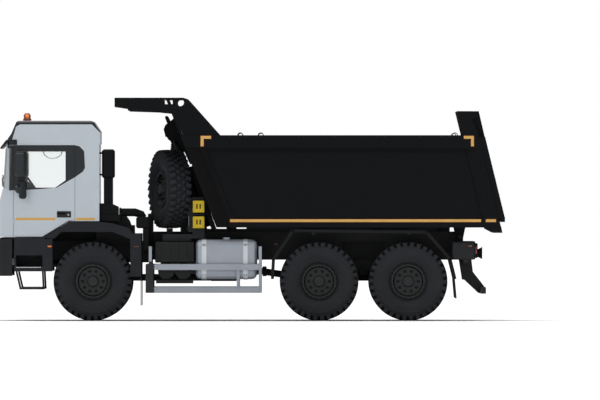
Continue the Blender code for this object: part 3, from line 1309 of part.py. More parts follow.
def build_side_guards():
    """Two rails a side with their posts, on arms from the frame."""
    x0 = FRONT_AXLE_X + GUARD_FRONT_OFFSET
    x1 = x0 + GUARD_LENGTH
    lower_top = GUARD_LOWER_Z + GUARD_RAIL_HEIGHT
    upper_top = GUARD_UPPER_Z + GUARD_RAIL_HEIGHT
    arm_top = GUARD_ARM_Z + GUARD_ARM_HEIGHT
    middle = x0 + GUARD_LENGTH * GUARD_MIDDLE_SHARE
    post_inner = GUARD_INNER_Y - OVERRUN
    post_outer = GUARD_INNER_Y + OVERRUN / 2.0
    for side, sign in SIDES:
        parts = [
            mirrored_box(x0, x1, GUARD_INNER_Y, GUARD_OUTER_Y, GUARD_UPPER_Z, upper_top, sign),
            mirrored_box(x0, x1, GUARD_INNER_Y, GUARD_OUTER_Y, GUARD_LOWER_Z, lower_top, sign),
            mirrored_box(x0 - GUARD_PLATE_LENGTH, x0 + OVERRUN, GUARD_INNER_Y - FIT_GAP,
                         GUARD_OUTER_Y - FIT_GAP, GUARD_LOWER_Z - FIT_GAP, upper_top + FIT_GAP,
                         sign),
            mirrored_box(middle - GUARD_POST_LENGTH / 2.0, middle + GUARD_POST_LENGTH / 2.0,
                         post_inner, post_outer, lower_top - OVERRUN, GUARD_UPPER_Z + OVERRUN,
                         sign),
        ]
        front_post = x0 - GUARD_PLATE_LENGTH / 2.0
        rear_post = x1 - GUARD_POST_LENGTH
        for post, low in ((front_post, GUARD_UPPER_Z), (rear_post, GUARD_LOWER_Z)):
            parts.append(mirrored_box(post, post + GUARD_POST_LENGTH, post_inner, post_outer,
                                      low + OVERRUN / 2.0, arm_top, sign))
            parts.append(mirrored_box(post + FIT_GAP, post + GUARD_POST_LENGTH - FIT_GAP,
                                      RAIL_OUTER_Y + FIT_GAP, post_outer - FIT_GAP, GUARD_ARM_Z,
                                      arm_top - FIT_GAP, sign))
        finish(f'side_guard_{side}', fuse(parts), 'guard_metal')


def build_front_mudguards():
    """Front mudguards with their lips, rear legs, flaps and the entry steps ahead of the wheels."""
    base_z = FENDER_BASE_Z - MOVING_GAP
    x0 = FRONT_AXLE_X - FENDER_FRONT_OFFSET
    outer = spread(FENDER_OUTLINE_SHARES, x0, x0 + FENDER_LENGTH, base_z, base_z + FENDER_HEIGHT)
    under = [(x, z - FENDER_SHEET) for x, z in reversed(outer)]
    arch = spread(FENDER_ARCH_SHARES, x0, x0 + FENDER_LENGTH, base_z, base_z + FENDER_HEIGHT)
    leg_x0 = FRONT_AXLE_X + FENDER_LEG_OFFSET
    leg_x1 = FRONT_AXLE_X + FENDER_LEG_REAR_OFFSET
    step_x0 = FRONT_AXLE_X - STEP_FRONT_OFFSET
    step_x1 = FRONT_AXLE_X - STEP_REAR_OFFSET
    step_top = CAB_BOTTOM_Z - MOVING_GAP
    lip_x1 = FRONT_AXLE_X - STEP_SIDE_LIP_OFFSET
    leg_top = base_z + FENDER_HEIGHT / 4.0
    for side, sign in SIDES:
        parts = [
            mirrored_plate(outer + under, FENDER_INNER_Y, FENDER_OUTER_Y, sign),
            mirrored_plate(outer + arch, FENDER_LIP_INNER_Y, FENDER_OUTER_Y - FIT_GAP, sign),
            mirrored_box(leg_x1 - FENDER_LEG_SHEET, leg_x1, FENDER_INNER_Y + FIT_GAP,
                         FENDER_OUTER_Y - FIT_GAP, FENDER_LEG_BOTTOM_Z, leg_top, sign),
            mirrored_box(leg_x0, leg_x1 - FIT_GAP, FENDER_LIP_INNER_Y + FIT_GAP,
                         FENDER_OUTER_Y - 2.0 * FIT_GAP, FENDER_LEG_BOTTOM_Z + FIT_GAP,
                         leg_top - FIT_GAP, sign),
            mirrored_box(x0 + FENDER_LENGTH - OVERRUN, leg_x1 - 2.0 * FIT_GAP,
                         FENDER_INNER_Y + 2.0 * FIT_GAP, FENDER_OUTER_Y - 3.0 * FIT_GAP,
                         leg_top - 1.5 * FENDER_SHEET, leg_top - 2.0 * FIT_GAP, sign),
            mirrored_box(leg_x1 - FLAP_THICKNESS - FIT_GAP, leg_x1 - FIT_GAP,
                         FENDER_INNER_Y + OVERRUN, FENDER_OUTER_Y - OVERRUN, FLAP_BOTTOM_Z,
                         FENDER_LEG_BOTTOM_Z + OVERRUN, sign),
            mirrored_box(step_x0, step_x1, STEP_INNER_Y, FENDER_OUTER_Y, STEP_BOTTOM_Z, step_top,
                         sign),
            mirrored_box(step_x1 - OVERRUN, lip_x1, FENDER_LIP_INNER_Y, FENDER_OUTER_Y - FIT_GAP,
                         STEP_BOTTOM_Z + FIT_GAP, base_z - FENDER_HEIGHT / 10.0, sign),
        ]
        low_x0, low_x1 = step_x0 + STEP_LOW_INSET, step_x1
        low_y = FENDER_OUTER_Y - STEP_LOW_THICKNESS
        low_top = STEP_LOW_BOTTOM_Z + STEP_LOW_THICKNESS
        parts.append(mirrored_box(low_x0, low_x1, STEP_INNER_Y + STEP_LOW_INSET, FENDER_OUTER_Y,
                                  STEP_LOW_BOTTOM_Z, low_top, sign))
        for x, z_x in ((low_x0 + STEP_ROD_RADIUS, step_x0 + STEP_WALL),
                       (low_x1 - STEP_ROD_RADIUS, step_x1 - STEP_WALL)):
            for y in (STEP_INNER_Y + 2.0 * STEP_LOW_INSET, low_y):
                parts.append(rod((x, sign * y, low_top - STEP_ROD_RADIUS),
                                 (z_x, sign * y, STEP_BOTTOM_Z + STEP_WALL), STEP_ROD_RADIUS))
        arm_z = RAIL_BOTTOM_Z + RAIL_HEIGHT / 2.0
        for x in (leg_x1 - FENDER_LEG_SHEET / 2.0, (step_x0 + step_x1) / 2.0):
            parts.append(rod((x, sign * (RAIL_OUTER_Y + FIT_GAP), arm_z),
                             (x, sign * (FENDER_INNER_Y + OVERRUN), arm_z), FENDER_ARM_RADIUS))
        recess = mirrored_box(step_x0 + STEP_WALL, step_x1 - STEP_WALL,
                              STEP_INNER_Y + STEP_WALL, FENDER_OUTER_Y + OVERRUN,
                              STEP_TREAD_TOP_Z, STEP_PANEL_BOTTOM_Z, sign)
        finish(f'front_mudguard_{side}', fuse(parts, [recess]), 'dark_plastic')


def corner_wedge(front_x, side_y, radius, leg, sign, z0, z1):
    """What a rounded front corner takes off: the corner outside an arc, and a strip behind it."""
    reach_x, reach_y = front_x - OVERRUN, side_y + OVERRUN
    points = [(reach_x, sign * reach_y), (reach_x, sign * (side_y - radius))]
    curve = arc((front_x + radius, side_y - radius), radius, 180.0, 90.0, BUMPER_CORNER_ARC_STEPS)
    points += [(x, sign * y) for x, y in curve]
    points += [(front_x + leg, sign * side_y), (front_x + leg, sign * reach_y)]
    return floor_plate(points, z0, z1)


def build_bumper():
    """Bumper skin with wrapped corners, lamp recesses and stays to the frame ears."""
    front = FRONT_AXLE_X - BUMPER_FRONT_OFFSET
    rear = FRONT_AXLE_X - BUMPER_REAR_OFFSET
    side = BODY_HALF_WIDTH
    skin = box(front, rear, -side, side, BUMPER_BOTTOM_Z, BUMPER_TOP_Z)
    cuts = [box(front + BUMPER_SKIN, rear + OVERRUN, -side + BUMPER_SKIN, side - BUMPER_SKIN,
                BUMPER_BOTTOM_Z + BUMPER_SKIN, BUMPER_TOP_Z + OVERRUN)]
    cuts.append(box(front + BUMPER_SKIN + BUMPER_CORNER, rear + OVERRUN, -side + BUMPER_CORNER,
                    side - BUMPER_CORNER, BUMPER_BOTTOM_Z - OVERRUN, BUMPER_TOP_Z))
    stays = []
    for side_name, sign in SIDES:
        cuts.append(corner_wedge(front, side, BUMPER_CORNER, BUMPER_CORNER + FIT_GAP, sign,
                                 BUMPER_BOTTOM_Z - OVERRUN, BUMPER_TOP_Z + OVERRUN))
        cuts.append(mirrored_box(front - OVERRUN, front + BUMPER_LAMP_RECESS,
                                 BUMPER_LAMP_Y - BUMPER_LAMP_WIDTH / 2.0,
                                 BUMPER_LAMP_Y + BUMPER_LAMP_WIDTH / 2.0,
                                 BUMPER_LAMP_Z - BUMPER_LAMP_HEIGHT / 2.0,
                                 BUMPER_LAMP_Z + BUMPER_LAMP_HEIGHT / 2.0, sign))
        stay_outer = CAB_ARM_INNER_Y - MOVING_GAP
        stays.append(mirrored_box(front + BUMPER_SKIN / 2.0,
                                  CAB_PIVOT_X - CAB_ARM_RADIUS - FIT_GAP,
                                  RAIL_INNER_Y, stay_outer,
                                  CAB_PIVOT_Z - CAB_ARM_RADIUS,
                                  CAB_PIVOT_Z - CAB_ARM_RADIUS + BUMPER_STAY_HEIGHT, sign))
    shell = fuse([skin], cuts)
    finish('bumper', fuse([shell] + stays), 'dark_plastic')


def build_rear_mudguards():
    """A folded sheet over each pair of rear wheels, its flap behind, on stays from the frame."""
    outer = [(BOGIE_X + MUDGUARD_HALF_LENGTH * along, MUDGUARD_BASE_Z + MUDGUARD_HEIGHT * up)
             for along, up in MUDGUARD_SHARES]
    middle_x = BOGIE_X
    middle_z = AXLE_Z
    inner = []
    for x, z in reversed(outer):
        inward = -MUDGUARD_SHEET if x > middle_x else MUDGUARD_SHEET
        drop = MUDGUARD_SHEET if z > middle_z + MUDGUARD_HEIGHT / 2.0 else 0.0
        inner.append((x + inward / (2.0 if drop else 1.0), z - drop))
    top = max(z for x, z in outer)
    stay_z = top - MUDGUARD_SHEET - MUDGUARD_STAY_RADIUS / 2.0
    for side, sign in SIDES:
        parts = [mirrored_plate(outer + inner, MUDGUARD_INNER_Y, MUDGUARD_OUTER_Y, sign)]
        for share in MUDGUARD_STAY_SHARES:
            stay_x = BOGIE_X + MUDGUARD_HALF_LENGTH * share
            parts.append(rod((stay_x, sign * (RAIL_OUTER_Y + FIT_GAP), stay_z),
                             (stay_x, sign * (MUDGUARD_OUTER_Y - OVERRUN), stay_z),
                             MUDGUARD_STAY_RADIUS))
        finish(f'rear_mudguard_{side}', fuse(parts), 'dark_plastic')


def build_tail():
    """Lamp housings, underrun bar with its arms, and the tow hitch."""
    x0 = BOGIE_X + LAMP_BOX_OFFSET
    x1 = x0 + LAMP_BOX_LENGTH
    middle_z = (LAMP_BOX_BOTTOM_Z + LAMP_BOX_TOP_Z) / 2.0
    bar_x = BOGIE_X + UNDERRUN_BAR_OFFSET
    arm_x = BOGIE_X + UNDERRUN_ARM_OFFSET
    bar_top = UNDERRUN_BAR_BOTTOM_Z + UNDERRUN_BAR_HEIGHT
    arm = spread(UNDERRUN_ARM_SHARES, arm_x, arm_x + UNDERRUN_ARM_LENGTH,
                 UNDERRUN_BAR_BOTTOM_Z + FIT_GAP, RAIL_BOTTOM_Z - FIT_GAP)
    beam_x0 = arm_x + TAIL_BEAM_INSET
    beam_x1 = beam_x0 + TAIL_BEAM_LENGTH
    beam_top = RAIL_BOTTOM_Z - 2.0 * FIT_GAP
    beam_low = beam_top - TAIL_BEAM_HEIGHT
    beam_half = LAMP_BOX_OUTER_Y - LAMP_BOX_EDGE
    parts = [
        box(bar_x, bar_x + UNDERRUN_BAR_LENGTH, -UNDERRUN_BAR_HALF_WIDTH,
            UNDERRUN_BAR_HALF_WIDTH, UNDERRUN_BAR_BOTTOM_Z, bar_top),
        box(beam_x0, beam_x1, -beam_half, beam_half, beam_low, beam_top),
    ]
    for side, sign in SIDES:
        parts += [
            mirrored_plate(arm, RAIL_INNER_Y + OVERRUN, RAIL_OUTER_Y, sign),
            mirrored_box(x0, x1, LAMP_BOX_INNER_Y, LAMP_BOX_OUTER_Y, LAMP_BOX_BOTTOM_Z,
                         LAMP_BOX_TOP_Z, sign, LAMP_BOX_EDGE),
            mirrored_box(beam_x0 + FIT_GAP, beam_x1 - FIT_GAP, LAMP_BOX_INNER_Y + LAMP_BOX_EDGE,
                         beam_half - FIT_GAP, beam_low + FIT_GAP, LAMP_BOX_BOTTOM_Z + OVERRUN,
                         sign),
            mirrored_box(x0 + LAMP_BOX_LENGTH / 3.0, x1 - LAMP_BOX_LENGTH / 3.0,
                         RAIL_OUTER_Y + FIT_GAP, LAMP_BOX_INNER_Y + OVERRUN,
                         middle_z - LAMP_STAY_HEIGHT / 2.0, middle_z + LAMP_STAY_HEIGHT / 2.0,
                         sign),
        ]
    finish('tail_beam', fuse(parts), 'frame_paint')
    build_hitch()


def build_hitch():
    """Tow hitch: a plate on the last cross member, its body and a trumpet mouth."""
    x0 = FRAME_REAR_X
    plate_end = x0 + HITCH_PLATE_THICKNESS
    body_end = x0 + HITCH_BODY_LENGTH
    mouth_end = body_end + HITCH_MOUTH_LENGTH
    facing = Matrix.Translation((body_end, 0.0, HITCH_MOUTH_Z)) @ Matrix.Rotation(
        math.radians(90.0), 4, 'Y')
    wall = HITCH_MOUTH_WALL
    length = mouth_end - body_end
    trumpet = (
        (0.0, 0.0), (HITCH_THROAT_RADIUS - wall, 0.0), (HITCH_MOUTH_RADIUS - wall, length),
        (HITCH_MOUTH_RADIUS, length), (HITCH_THROAT_RADIUS, -OVERRUN), (0.0, -OVERRUN),
    )
    parts = [
        box(x0, plate_end, -HITCH_PLATE_HALF_WIDTH, HITCH_PLATE_HALF_WIDTH,
            HITCH_PLATE_BOTTOM_Z, HITCH_PLATE_TOP_Z),
        box(x0 + FIT_GAP, body_end, -HITCH_BODY_HALF_WIDTH, HITCH_BODY_HALF_WIDTH,
            HITCH_BODY_BOTTOM_Z, HITCH_BODY_TOP_Z, RAIL_WALL),
        turned(trumpet, FINE_STEPS, facing),
    ]
    finish('tow_hitch', fuse(parts), 'cast_metal')


def build_spare_wheel(tyre_mesh, rim_mesh):
    """Spare wheel standing on its carrier, turned a little off the truck's length."""
    centre = Vector((FRONT_AXLE_X + SPARE_OFFSET, SPARE_Y, SPARE_Z))
    yaw = math.radians(SPARE_YAW_DEG)
    outward = Vector((-math.cos(yaw), -math.sin(yaw), 0.0))
    place = Matrix.Translation(centre)
    tyre = workshop_object(tyre_mesh.copy())
    tyre.data.transform(place @ Matrix.Rotation(math.radians(90.0) + yaw, 4, 'Z'))
    rim = workshop_object(rim_mesh.copy())
    rim.data.transform(place @ outward.to_track_quat('Z', 'Y').to_matrix().to_4x4())
    finish('spare_tyre', tyre, 'rubber')
    finish('spare_rim', rim, 'wheel_paint')

    post_centre = centre - outward * CARRIER_POST_SETBACK
    half_post = CARRIER_POST_WIDTH / 2.0
    beam_low = SUBFRAME_BOTTOM_Z + FIT_GAP
    beam_top = beam_low + CARRIER_BEAM_HEIGHT
    post_top = SPARE_Z + CARRIER_POST_WIDTH
    post = box(-half_post, half_post, -half_post, half_post, beam_low + FIT_GAP, post_top)
    post.data.transform(Matrix.Translation((post_centre.x, post_centre.y, 0.0))
                        @ Matrix.Rotation(yaw, 4, 'Z'))
    spindle_end = spindle_end_y() - WHEEL_Y
    beam_x0 = centre.x - CARRIER_BEAM_HALF_LENGTH
    beam_x1 = post_centre.x + CARRIER_POST_WIDTH
    chock_x0 = FRONT_AXLE_X + CHOCK_OFFSET
    chock_x1 = chock_x0 + CHOCK_LENGTH
    rack_y = -CHOCK_Y - CHOCK_WIDTH / 2.0
    saddle = CARRIER_SADDLE_HALF_LENGTH
    parts = [
        mirrored_box(beam_x0, beam_x1, RAIL_OUTER_Y + FIT_GAP, rack_y, beam_low, beam_top, -1.0),
        post,
        rod(post_centre, centre + outward * spindle_end, SPINDLE_RADIUS),
        mirrored_box(centre.x - saddle, centre.x + saddle, -SPARE_Y - saddle, -SPARE_Y + saddle,
                     beam_top - RAIL_WALL, SPARE_Z - AXLE_Z - FIT_GAP, -1.0),
        mirrored_box(beam_x1 - OVERRUN, chock_x1, rack_y - CHOCK_RACK_THICKNESS * 2.0,
                     rack_y - FIT_GAP, beam_low + 2.0 * OVERRUN, beam_top - FIT_GAP, -1.0),
        mirrored_box(chock_x0, chock_x1 - FIT_GAP, rack_y - CHOCK_RACK_THICKNESS,
                     rack_y - 2.0 * FIT_GAP, beam_top - OVERRUN, CHOCK_UPPER_Z + CHOCK_HEIGHT,
                     -1.0),
    ]
    finish('spare_carrier', fuse(parts), 'frame_paint')
    chocks = [mirrored_box(chock_x0 + CHOCK_LENGTH / 2.0, chock_x1 - OVERRUN, rack_y + FIT_GAP,
                           rack_y + CHOCK_RACK_THICKNESS, CHOCK_LOWER_Z + OVERRUN,
                           CHOCK_UPPER_Z + CHOCK_HEIGHT / 4.0, -1.0)]
    for low in (CHOCK_UPPER_Z, CHOCK_LOWER_Z):
        wedge = spread(CHOCK_SHARES, chock_x0, chock_x1, low, low + CHOCK_HEIGHT)
        chocks.append(mirrored_plate(wedge, rack_y, rack_y + CHOCK_WIDTH, -1.0))
    finish('wheel_chocks', fuse(chocks), 'chock_yellow')


def build_air_intake():
    """Air cleaner on its stand, and the hose that meets the snorkel."""
    x0 = FRONT_AXLE_X + CLEANER_OFFSET
    x1 = x0 + CLEANER_LENGTH
    top = CLEANER_BOTTOM_Z + CLEANER_HEIGHT
    stand_x0 = FRONT_AXLE_X + CLEANER_STAND_OFFSET
    stand_x1 = stand_x0 + CLEANER_STAND_LENGTH
    hose_y = -SNORKEL_Y
    bend = HOSE_RADIUS
    end_x = x0 + CLEANER_LENGTH / 2.0
    hose = [(CAB_REAR_X + SNORKEL_BASE_LENGTH + MOVING_GAP, hose_y, HOSE_START_Z),
            (end_x - 2.0 * bend, hose_y, HOSE_START_Z),
            (end_x - bend / 2.0, hose_y, HOSE_START_Z - bend / 2.0),
            (end_x, hose_y, top - OVERRUN)]
    parts = [
        mirrored_box(x0, x1, CLEANER_INNER_Y, CLEANER_OUTER_Y, CLEANER_BOTTOM_Z, top, -1.0,
                     CLEANER_EDGE),
        mirrored_box(stand_x0, stand_x1, CLEANER_INNER_Y + CLEANER_EDGE,
                     CLEANER_OUTER_Y - 2.0 * CLEANER_EDGE, GUARD_ARM_Z,
                     CLEANER_BOTTOM_Z + OVERRUN, -1.0),
        mirrored_box(stand_x0 + FIT_GAP, stand_x1 - FIT_GAP, RAIL_OUTER_Y + FIT_GAP,
                     CLEANER_INNER_Y + 2.0 * CLEANER_EDGE, GUARD_ARM_Z + FIT_GAP,
                     GUARD_ARM_Z + GUARD_ARM_HEIGHT, -1.0),
        tube(hose, HOSE_RADIUS, 4),
    ]
    finish('air_intake', fuse(parts), 'dark_plastic')


def cab_outline(rise=0.0):
    """The cab's lower and rear side outline, from the front bottom corner to the seam."""
    return [
        (CAB_FRONT_X, CAB_BOTTOM_Z + rise),
        (FRONT_AXLE_X - CAB_ARCH_FRONT_OFFSET, CAB_BOTTOM_Z + rise),
        (FRONT_AXLE_X - CAB_ARCH_TOP_OFFSET, CAB_REAR_BOTTOM_Z + rise),
        (CAB_REAR_X, CAB_REAR_BOTTOM_Z + rise),
    ]


def door_outline(grow):
    """A door's outline, grown by a clearance at the front, rear and top."""
    front, rear, top = DOOR_FRONT_X - grow, DOOR_REAR_X + grow, DOOR_TOP_Z + grow
    return [
        (front, CAB_BOTTOM_Z - grow), (FRONT_AXLE_X - CAB_ARCH_FRONT_OFFSET, CAB_BOTTOM_Z - grow),
        (FRONT_AXLE_X - CAB_ARCH_TOP_OFFSET, CAB_REAR_BOTTOM_Z - grow),
        (rear, CAB_REAR_BOTTOM_Z - grow), (rear, top), (front, top),
    ]


def lean_back(shape, base_z, height, lean):
    """Shear a shape so that it leans towards the tail as it rises."""
    for vert in shape.data.vertices:
        vert.co.x += (vert.co.z - base_z) / height * lean
    return shape


def build_cab_shell(cab):
    """Floor with engine tunnel, walls with door frames and the tilt arms."""
    upright = [(CAB_REAR_X, CAB_SEAM_Z), (CAB_FRONT_X + CAB_PILLAR_LEAN, CAB_SEAM_Z),
               (CAB_FRONT_X, CAB_BELT_Z)]
    shell = side_plate(cab_outline() + upright, -CAB_HALF_WIDTH, CAB_HALF_WIDTH)
    wall = CAB_WALL
    over = CAB_SEAM_Z + OVERRUN
    inside = [
        (CAB_FRONT_X + wall, CAB_BOTTOM_Z + CAB_FLOOR_THICKNESS),
        (FRONT_AXLE_X - CAB_ARCH_FRONT_OFFSET - wall / 2.0, CAB_BOTTOM_Z + CAB_FLOOR_THICKNESS),
        (FRONT_AXLE_X - CAB_ARCH_TOP_OFFSET - wall / 2.0,
         CAB_REAR_BOTTOM_Z + CAB_FLOOR_THICKNESS),
        (CAB_REAR_X - wall, CAB_REAR_BOTTOM_Z + CAB_FLOOR_THICKNESS),
        (CAB_REAR_X - wall, over), (CAB_FRONT_X + CAB_PILLAR_LEAN + wall, over),
        (CAB_FRONT_X + wall, CAB_BELT_Z),
    ]
    side_inner = CAB_HALF_WIDTH - DOOR_THICKNESS - wall / 2.0
    room = side_plate(inside, -side_inner, side_inner)
    tunnel_x1 = FRONT_AXLE_X - CAB_ARCH_TOP_OFFSET
    cover = box(CAB_FRONT_X, tunnel_x1, -TUNNEL_HALF_WIDTH - TUNNEL_WALL,
                TUNNEL_HALF_WIDTH + TUNNEL_WALL, CAB_BOTTOM_Z, TUNNEL_TOP_Z + TUNNEL_WALL)
    room = combine(room, [cover], 'DIFFERENCE')
    glass_side = CAB_HALF_WIDTH - MOVING_GAP
    core_side = glass_side - WINDSCREEN_THICKNESS - FIT_GAP
    core_front = CAB_FRONT_X - FIT_GAP / 2.0
    core_radius = WINDSCREEN_WRAP - WINDSCREEN_THICKNESS
    cuts = [
        room,
        box(CAB_FRONT_X + wall, tunnel_x1, -TUNNEL_HALF_WIDTH, TUNNEL_HALF_WIDTH,
            CAB_BOTTOM_Z - OVERRUN, TUNNEL_TOP_Z),
        box(CAB_FRONT_X - OVERRUN, CAB_FRONT_X + CAB_PILLAR_LEAN + 2.0 * wall,
            -WINDSCREEN_OPENING_HALF_WIDTH, WINDSCREEN_OPENING_HALF_WIDTH,
            WINDSCREEN_BOTTOM_Z + GLASS_INSET, WINDSCREEN_TOP_Z - GLASS_INSET),
    ]
    opening = [
        (DOOR_FRONT_X + DOOR_FRAME_WIDTH, CAB_REAR_BOTTOM_Z + CAB_FLOOR_THICKNESS + FIT_GAP),
        (DOOR_REAR_X - DOOR_FRAME_WIDTH, CAB_REAR_BOTTOM_Z + CAB_FLOOR_THICKNESS + FIT_GAP),
        (DOOR_REAR_X - DOOR_FRAME_WIDTH, DOOR_TOP_Z - DOOR_FRAME_WIDTH),
        (DOOR_FRONT_X + DOOR_FRAME_WIDTH, DOOR_TOP_Z - DOOR_FRAME_WIDTH),
    ]
    for side, sign in SIDES:
        wedge = corner_wedge(core_front, core_side, core_radius, WINDSCREEN_WRAP + FIT_GAP, sign,
                             WINDSCREEN_BOTTOM_Z - FIT_GAP, WINDSCREEN_TOP_Z + FIT_GAP)
        cuts.append(lean_back(wedge, CAB_BELT_Z, CAB_SEAM_Z - CAB_BELT_Z, CAB_PILLAR_LEAN))
        cuts.append(mirrored_plate(door_outline(MOVING_GAP),
                                   CAB_HALF_WIDTH - DOOR_THICKNESS - MOVING_GAP,
                                   CAB_HALF_WIDTH + OVERRUN, sign))
        cuts.append(mirrored_plate(opening, side_inner - OVERRUN, CAB_HALF_WIDTH, sign))
    shell = fuse([shell], cuts)
    arms = [tilt_arm(sign) for side, sign in SIDES]
    for side, sign in SIDES:
        arms += door_knuckles(sign, 0.0)
    finish('cab_shell', fuse([shell] + arms), 'cab_paint', cab)


def door_knuckles(sign, play):
    """Hinge knuckles on a door's axis, grown by the play that the door's recess needs."""
    knuckles = []
    for low in stations(DOOR_KNUCKLE_SHARES, CAB_BOTTOM_Z, DOOR_TOP_Z):
        knuckles.append(rod((DOOR_FRONT_X, sign * CAB_HALF_WIDTH, low - play),
                            (DOOR_FRONT_X, sign * CAB_HALF_WIDTH, low + DOOR_KNUCKLE_LENGTH + play),
                            DOOR_KNUCKLE_RADIUS + play))
    return knuckles


def tilt_arm(sign):
    """An arm from the cab floor round behind the bumper to the tilt pin, with its bore."""
    setback = CAB_PIVOT_X + CAB_ARM_SETBACK
    low, high = CAB_PIVOT_Z - CAB_ARM_RADIUS, CAB_PIVOT_Z + CAB_ARM_RADIUS
    top = CAB_BOTTOM_Z + CAB_FLOOR_THICKNESS / 2.0
    outline = arc((CAB_PIVOT_X, CAB_PIVOT_Z), CAB_ARM_RADIUS, 90.0, 270.0, PLAIN_STEPS)
    outline += [(setback + CAB_ARM_WIDTH, low), (setback + CAB_ARM_WIDTH, top), (setback, top),
                (setback, high)]
    arm = mirrored_plate(outline, CAB_ARM_INNER_Y, CAB_ARM_OUTER_Y, sign)
    bore = rod((CAB_PIVOT_X, sign * (CAB_ARM_INNER_Y - OVERRUN), CAB_PIVOT_Z),
               (CAB_PIVOT_X, sign * (CAB_ARM_OUTER_Y + OVERRUN), CAB_PIVOT_Z),
               CAB_PIN_RADIUS + PIN_PLAY, FINE_STEPS)
    return fuse([arm], [bore])


def build_roof(cab):
    """Raised roof, open below, with rounded long edges, and the beacon on it."""
    x0 = CAB_FRONT_X + CAB_PILLAR_LEAN + OVERRUN
    x1 = CAB_REAR_X + RAIL_WALL
    z0 = CAB_SEAM_Z + FIT_GAP
    outline = spread(ROOF_OUTLINE_SHARES, x0, x1, z0, ROOF_TOP_Z)
    roof = side_plate(outline, -CAB_HALF_WIDTH, CAB_HALF_WIDTH)
    inner = spread(ROOF_OUTLINE_SHARES, x0 + ROOF_WALL, x1 - ROOF_WALL, z0 - OVERRUN,
                   ROOF_TOP_Z - ROOF_WALL)
    cuts = [side_plate(inner, -CAB_HALF_WIDTH + 2.0 * ROOF_WALL, CAB_HALF_WIDTH - 2.0 * ROOF_WALL)]
    radius = ROOF_EDGE_RADIUS
    for side, sign in SIDES:
        reach_y, reach_z = CAB_HALF_WIDTH + OVERRUN, ROOF_TOP_Z + OVERRUN
        curve = arc((CAB_HALF_WIDTH - radius, ROOF_TOP_Z - radius), radius, 90.0, 0.0,
                    BUMPER_CORNER_ARC_STEPS)
        wedge = [(reach_y, reach_z), (CAB_HALF_WIDTH - radius, reach_z)] + curve
        wedge.append((reach_y, ROOF_TOP_Z - radius))
        cuts.append(cross_plate([(sign * y, z) for y, z in wedge], x0 - OVERRUN, x1 + OVERRUN))
    finish('roof_cap', fuse([roof], cuts), 'cab_paint', cab)
    base = BEACON_BASE_HEIGHT
    waist = BEACON_RADIUS - base / 3.0
    profile = ((0.0, BEACON_HEIGHT), (waist * 0.6, BEACON_HEIGHT),
               (waist, BEACON_HEIGHT - base), (waist, base), (BEACON_RADIUS, base),
               (BEACON_RADIUS, 0.0), (0.0, 0.0))
    place = Matrix.Translation((FRONT_AXLE_X - BEACON_OFFSET, BEACON_Y, ROOF_TOP_Z + FIT_GAP))
    finish('beacon', turned(profile, FINE_STEPS, place), 'amber', cab)


def build_front_panel(cab):
    """Front panel below the windscreen: rounded corners and a slatted grille."""
    rear = CAB_FRONT_X - FIT_GAP
    front = CAB_FRONT_X - FRONT_PANEL_DEPTH
    top = WINDSCREEN_BOTTOM_Z - MOVING_GAP
    outline = spread(FRONT_PANEL_SHARES, front, rear, FRONT_PANEL_BOTTOM_Z, top)
    panel = side_plate(outline, -CAB_HALF_WIDTH, CAB_HALF_WIDTH)
    grille_low = FRONT_PANEL_BOTTOM_Z + GRILLE_BOTTOM_RAISE
    grille_top = grille_low + GRILLE_HEIGHT
    cuts = [box(front - OVERRUN, front + GRILLE_DEPTH, -GRILLE_HALF_WIDTH, GRILLE_HALF_WIDTH,
                grille_low, grille_top)]
    for side, sign in SIDES:
        cuts.append(corner_wedge(front, CAB_HALF_WIDTH, FRONT_PANEL_CORNER,
                                 FRONT_PANEL_CORNER + FIT_GAP, sign,
                                 FRONT_PANEL_BOTTOM_Z - OVERRUN, top + OVERRUN))
    panel = fuse([panel], cuts)
    pitch = GRILLE_HEIGHT / (GRILLE_SLATS + 1)
    slats = []
    for number in range(1, GRILLE_SLATS + 1):
        middle = grille_low + pitch * number
        slats.append(box(front + GRILLE_DEPTH / 2.0, front + GRILLE_DEPTH + OVERRUN,
                         -GRILLE_HALF_WIDTH - OVERRUN / 2.0, GRILLE_HALF_WIDTH + OVERRUN / 2.0,
                         middle - GRILLE_SLAT_HEIGHT / 2.0, middle + GRILLE_SLAT_HEIGHT / 2.0))
    finish('front_panel', fuse([panel] + slats), 'cab_paint', cab)


def wrapped_curve(front, side, radius):
    """Half a wrapped plan outline, from the right side's leg round to the left side's leg."""
    right = arc((front + radius, side - radius), radius, 90.0, 180.0, BUMPER_CORNER_ARC_STEPS)
    left = [(x, -y) for x, y in reversed(right)]
    return right + left


def build_windscreen(cab):
    """Wrapped windscreen, leaning back, and the sun visor above it."""
    inner_front = CAB_FRONT_X - 2.0 * FIT_GAP
    outer_front = inner_front - WINDSCREEN_THICKNESS
    side = CAB_HALF_WIDTH - MOVING_GAP
    outer = wrapped_curve(outer_front, side, WINDSCREEN_WRAP)
    inner = wrapped_curve(inner_front, side - WINDSCREEN_THICKNESS,
                          WINDSCREEN_WRAP - WINDSCREEN_THICKNESS)
    glass = floor_plate(outer + inner[::-1], WINDSCREEN_BOTTOM_Z, WINDSCREEN_TOP_Z)
    lean_back(glass, CAB_BELT_Z, CAB_SEAM_Z - CAB_BELT_Z, CAB_PILLAR_LEAN)
    finish('windscreen', glass, 'glass', cab)
    visor_x0 = CAB_FRONT_X - VISOR_REACH
    visor_x1 = CAB_FRONT_X + CAB_PILLAR_LEAN + OVERRUN - FIT_GAP
    outline = spread(VISOR_SHARES, visor_x0, visor_x1, VISOR_BOTTOM_Z, VISOR_TOP_Z)
    finish('sun_visor', side_plate(outline, -VISOR_HALF_WIDTH, VISOR_HALF_WIDTH),
           'dark_plastic', cab)


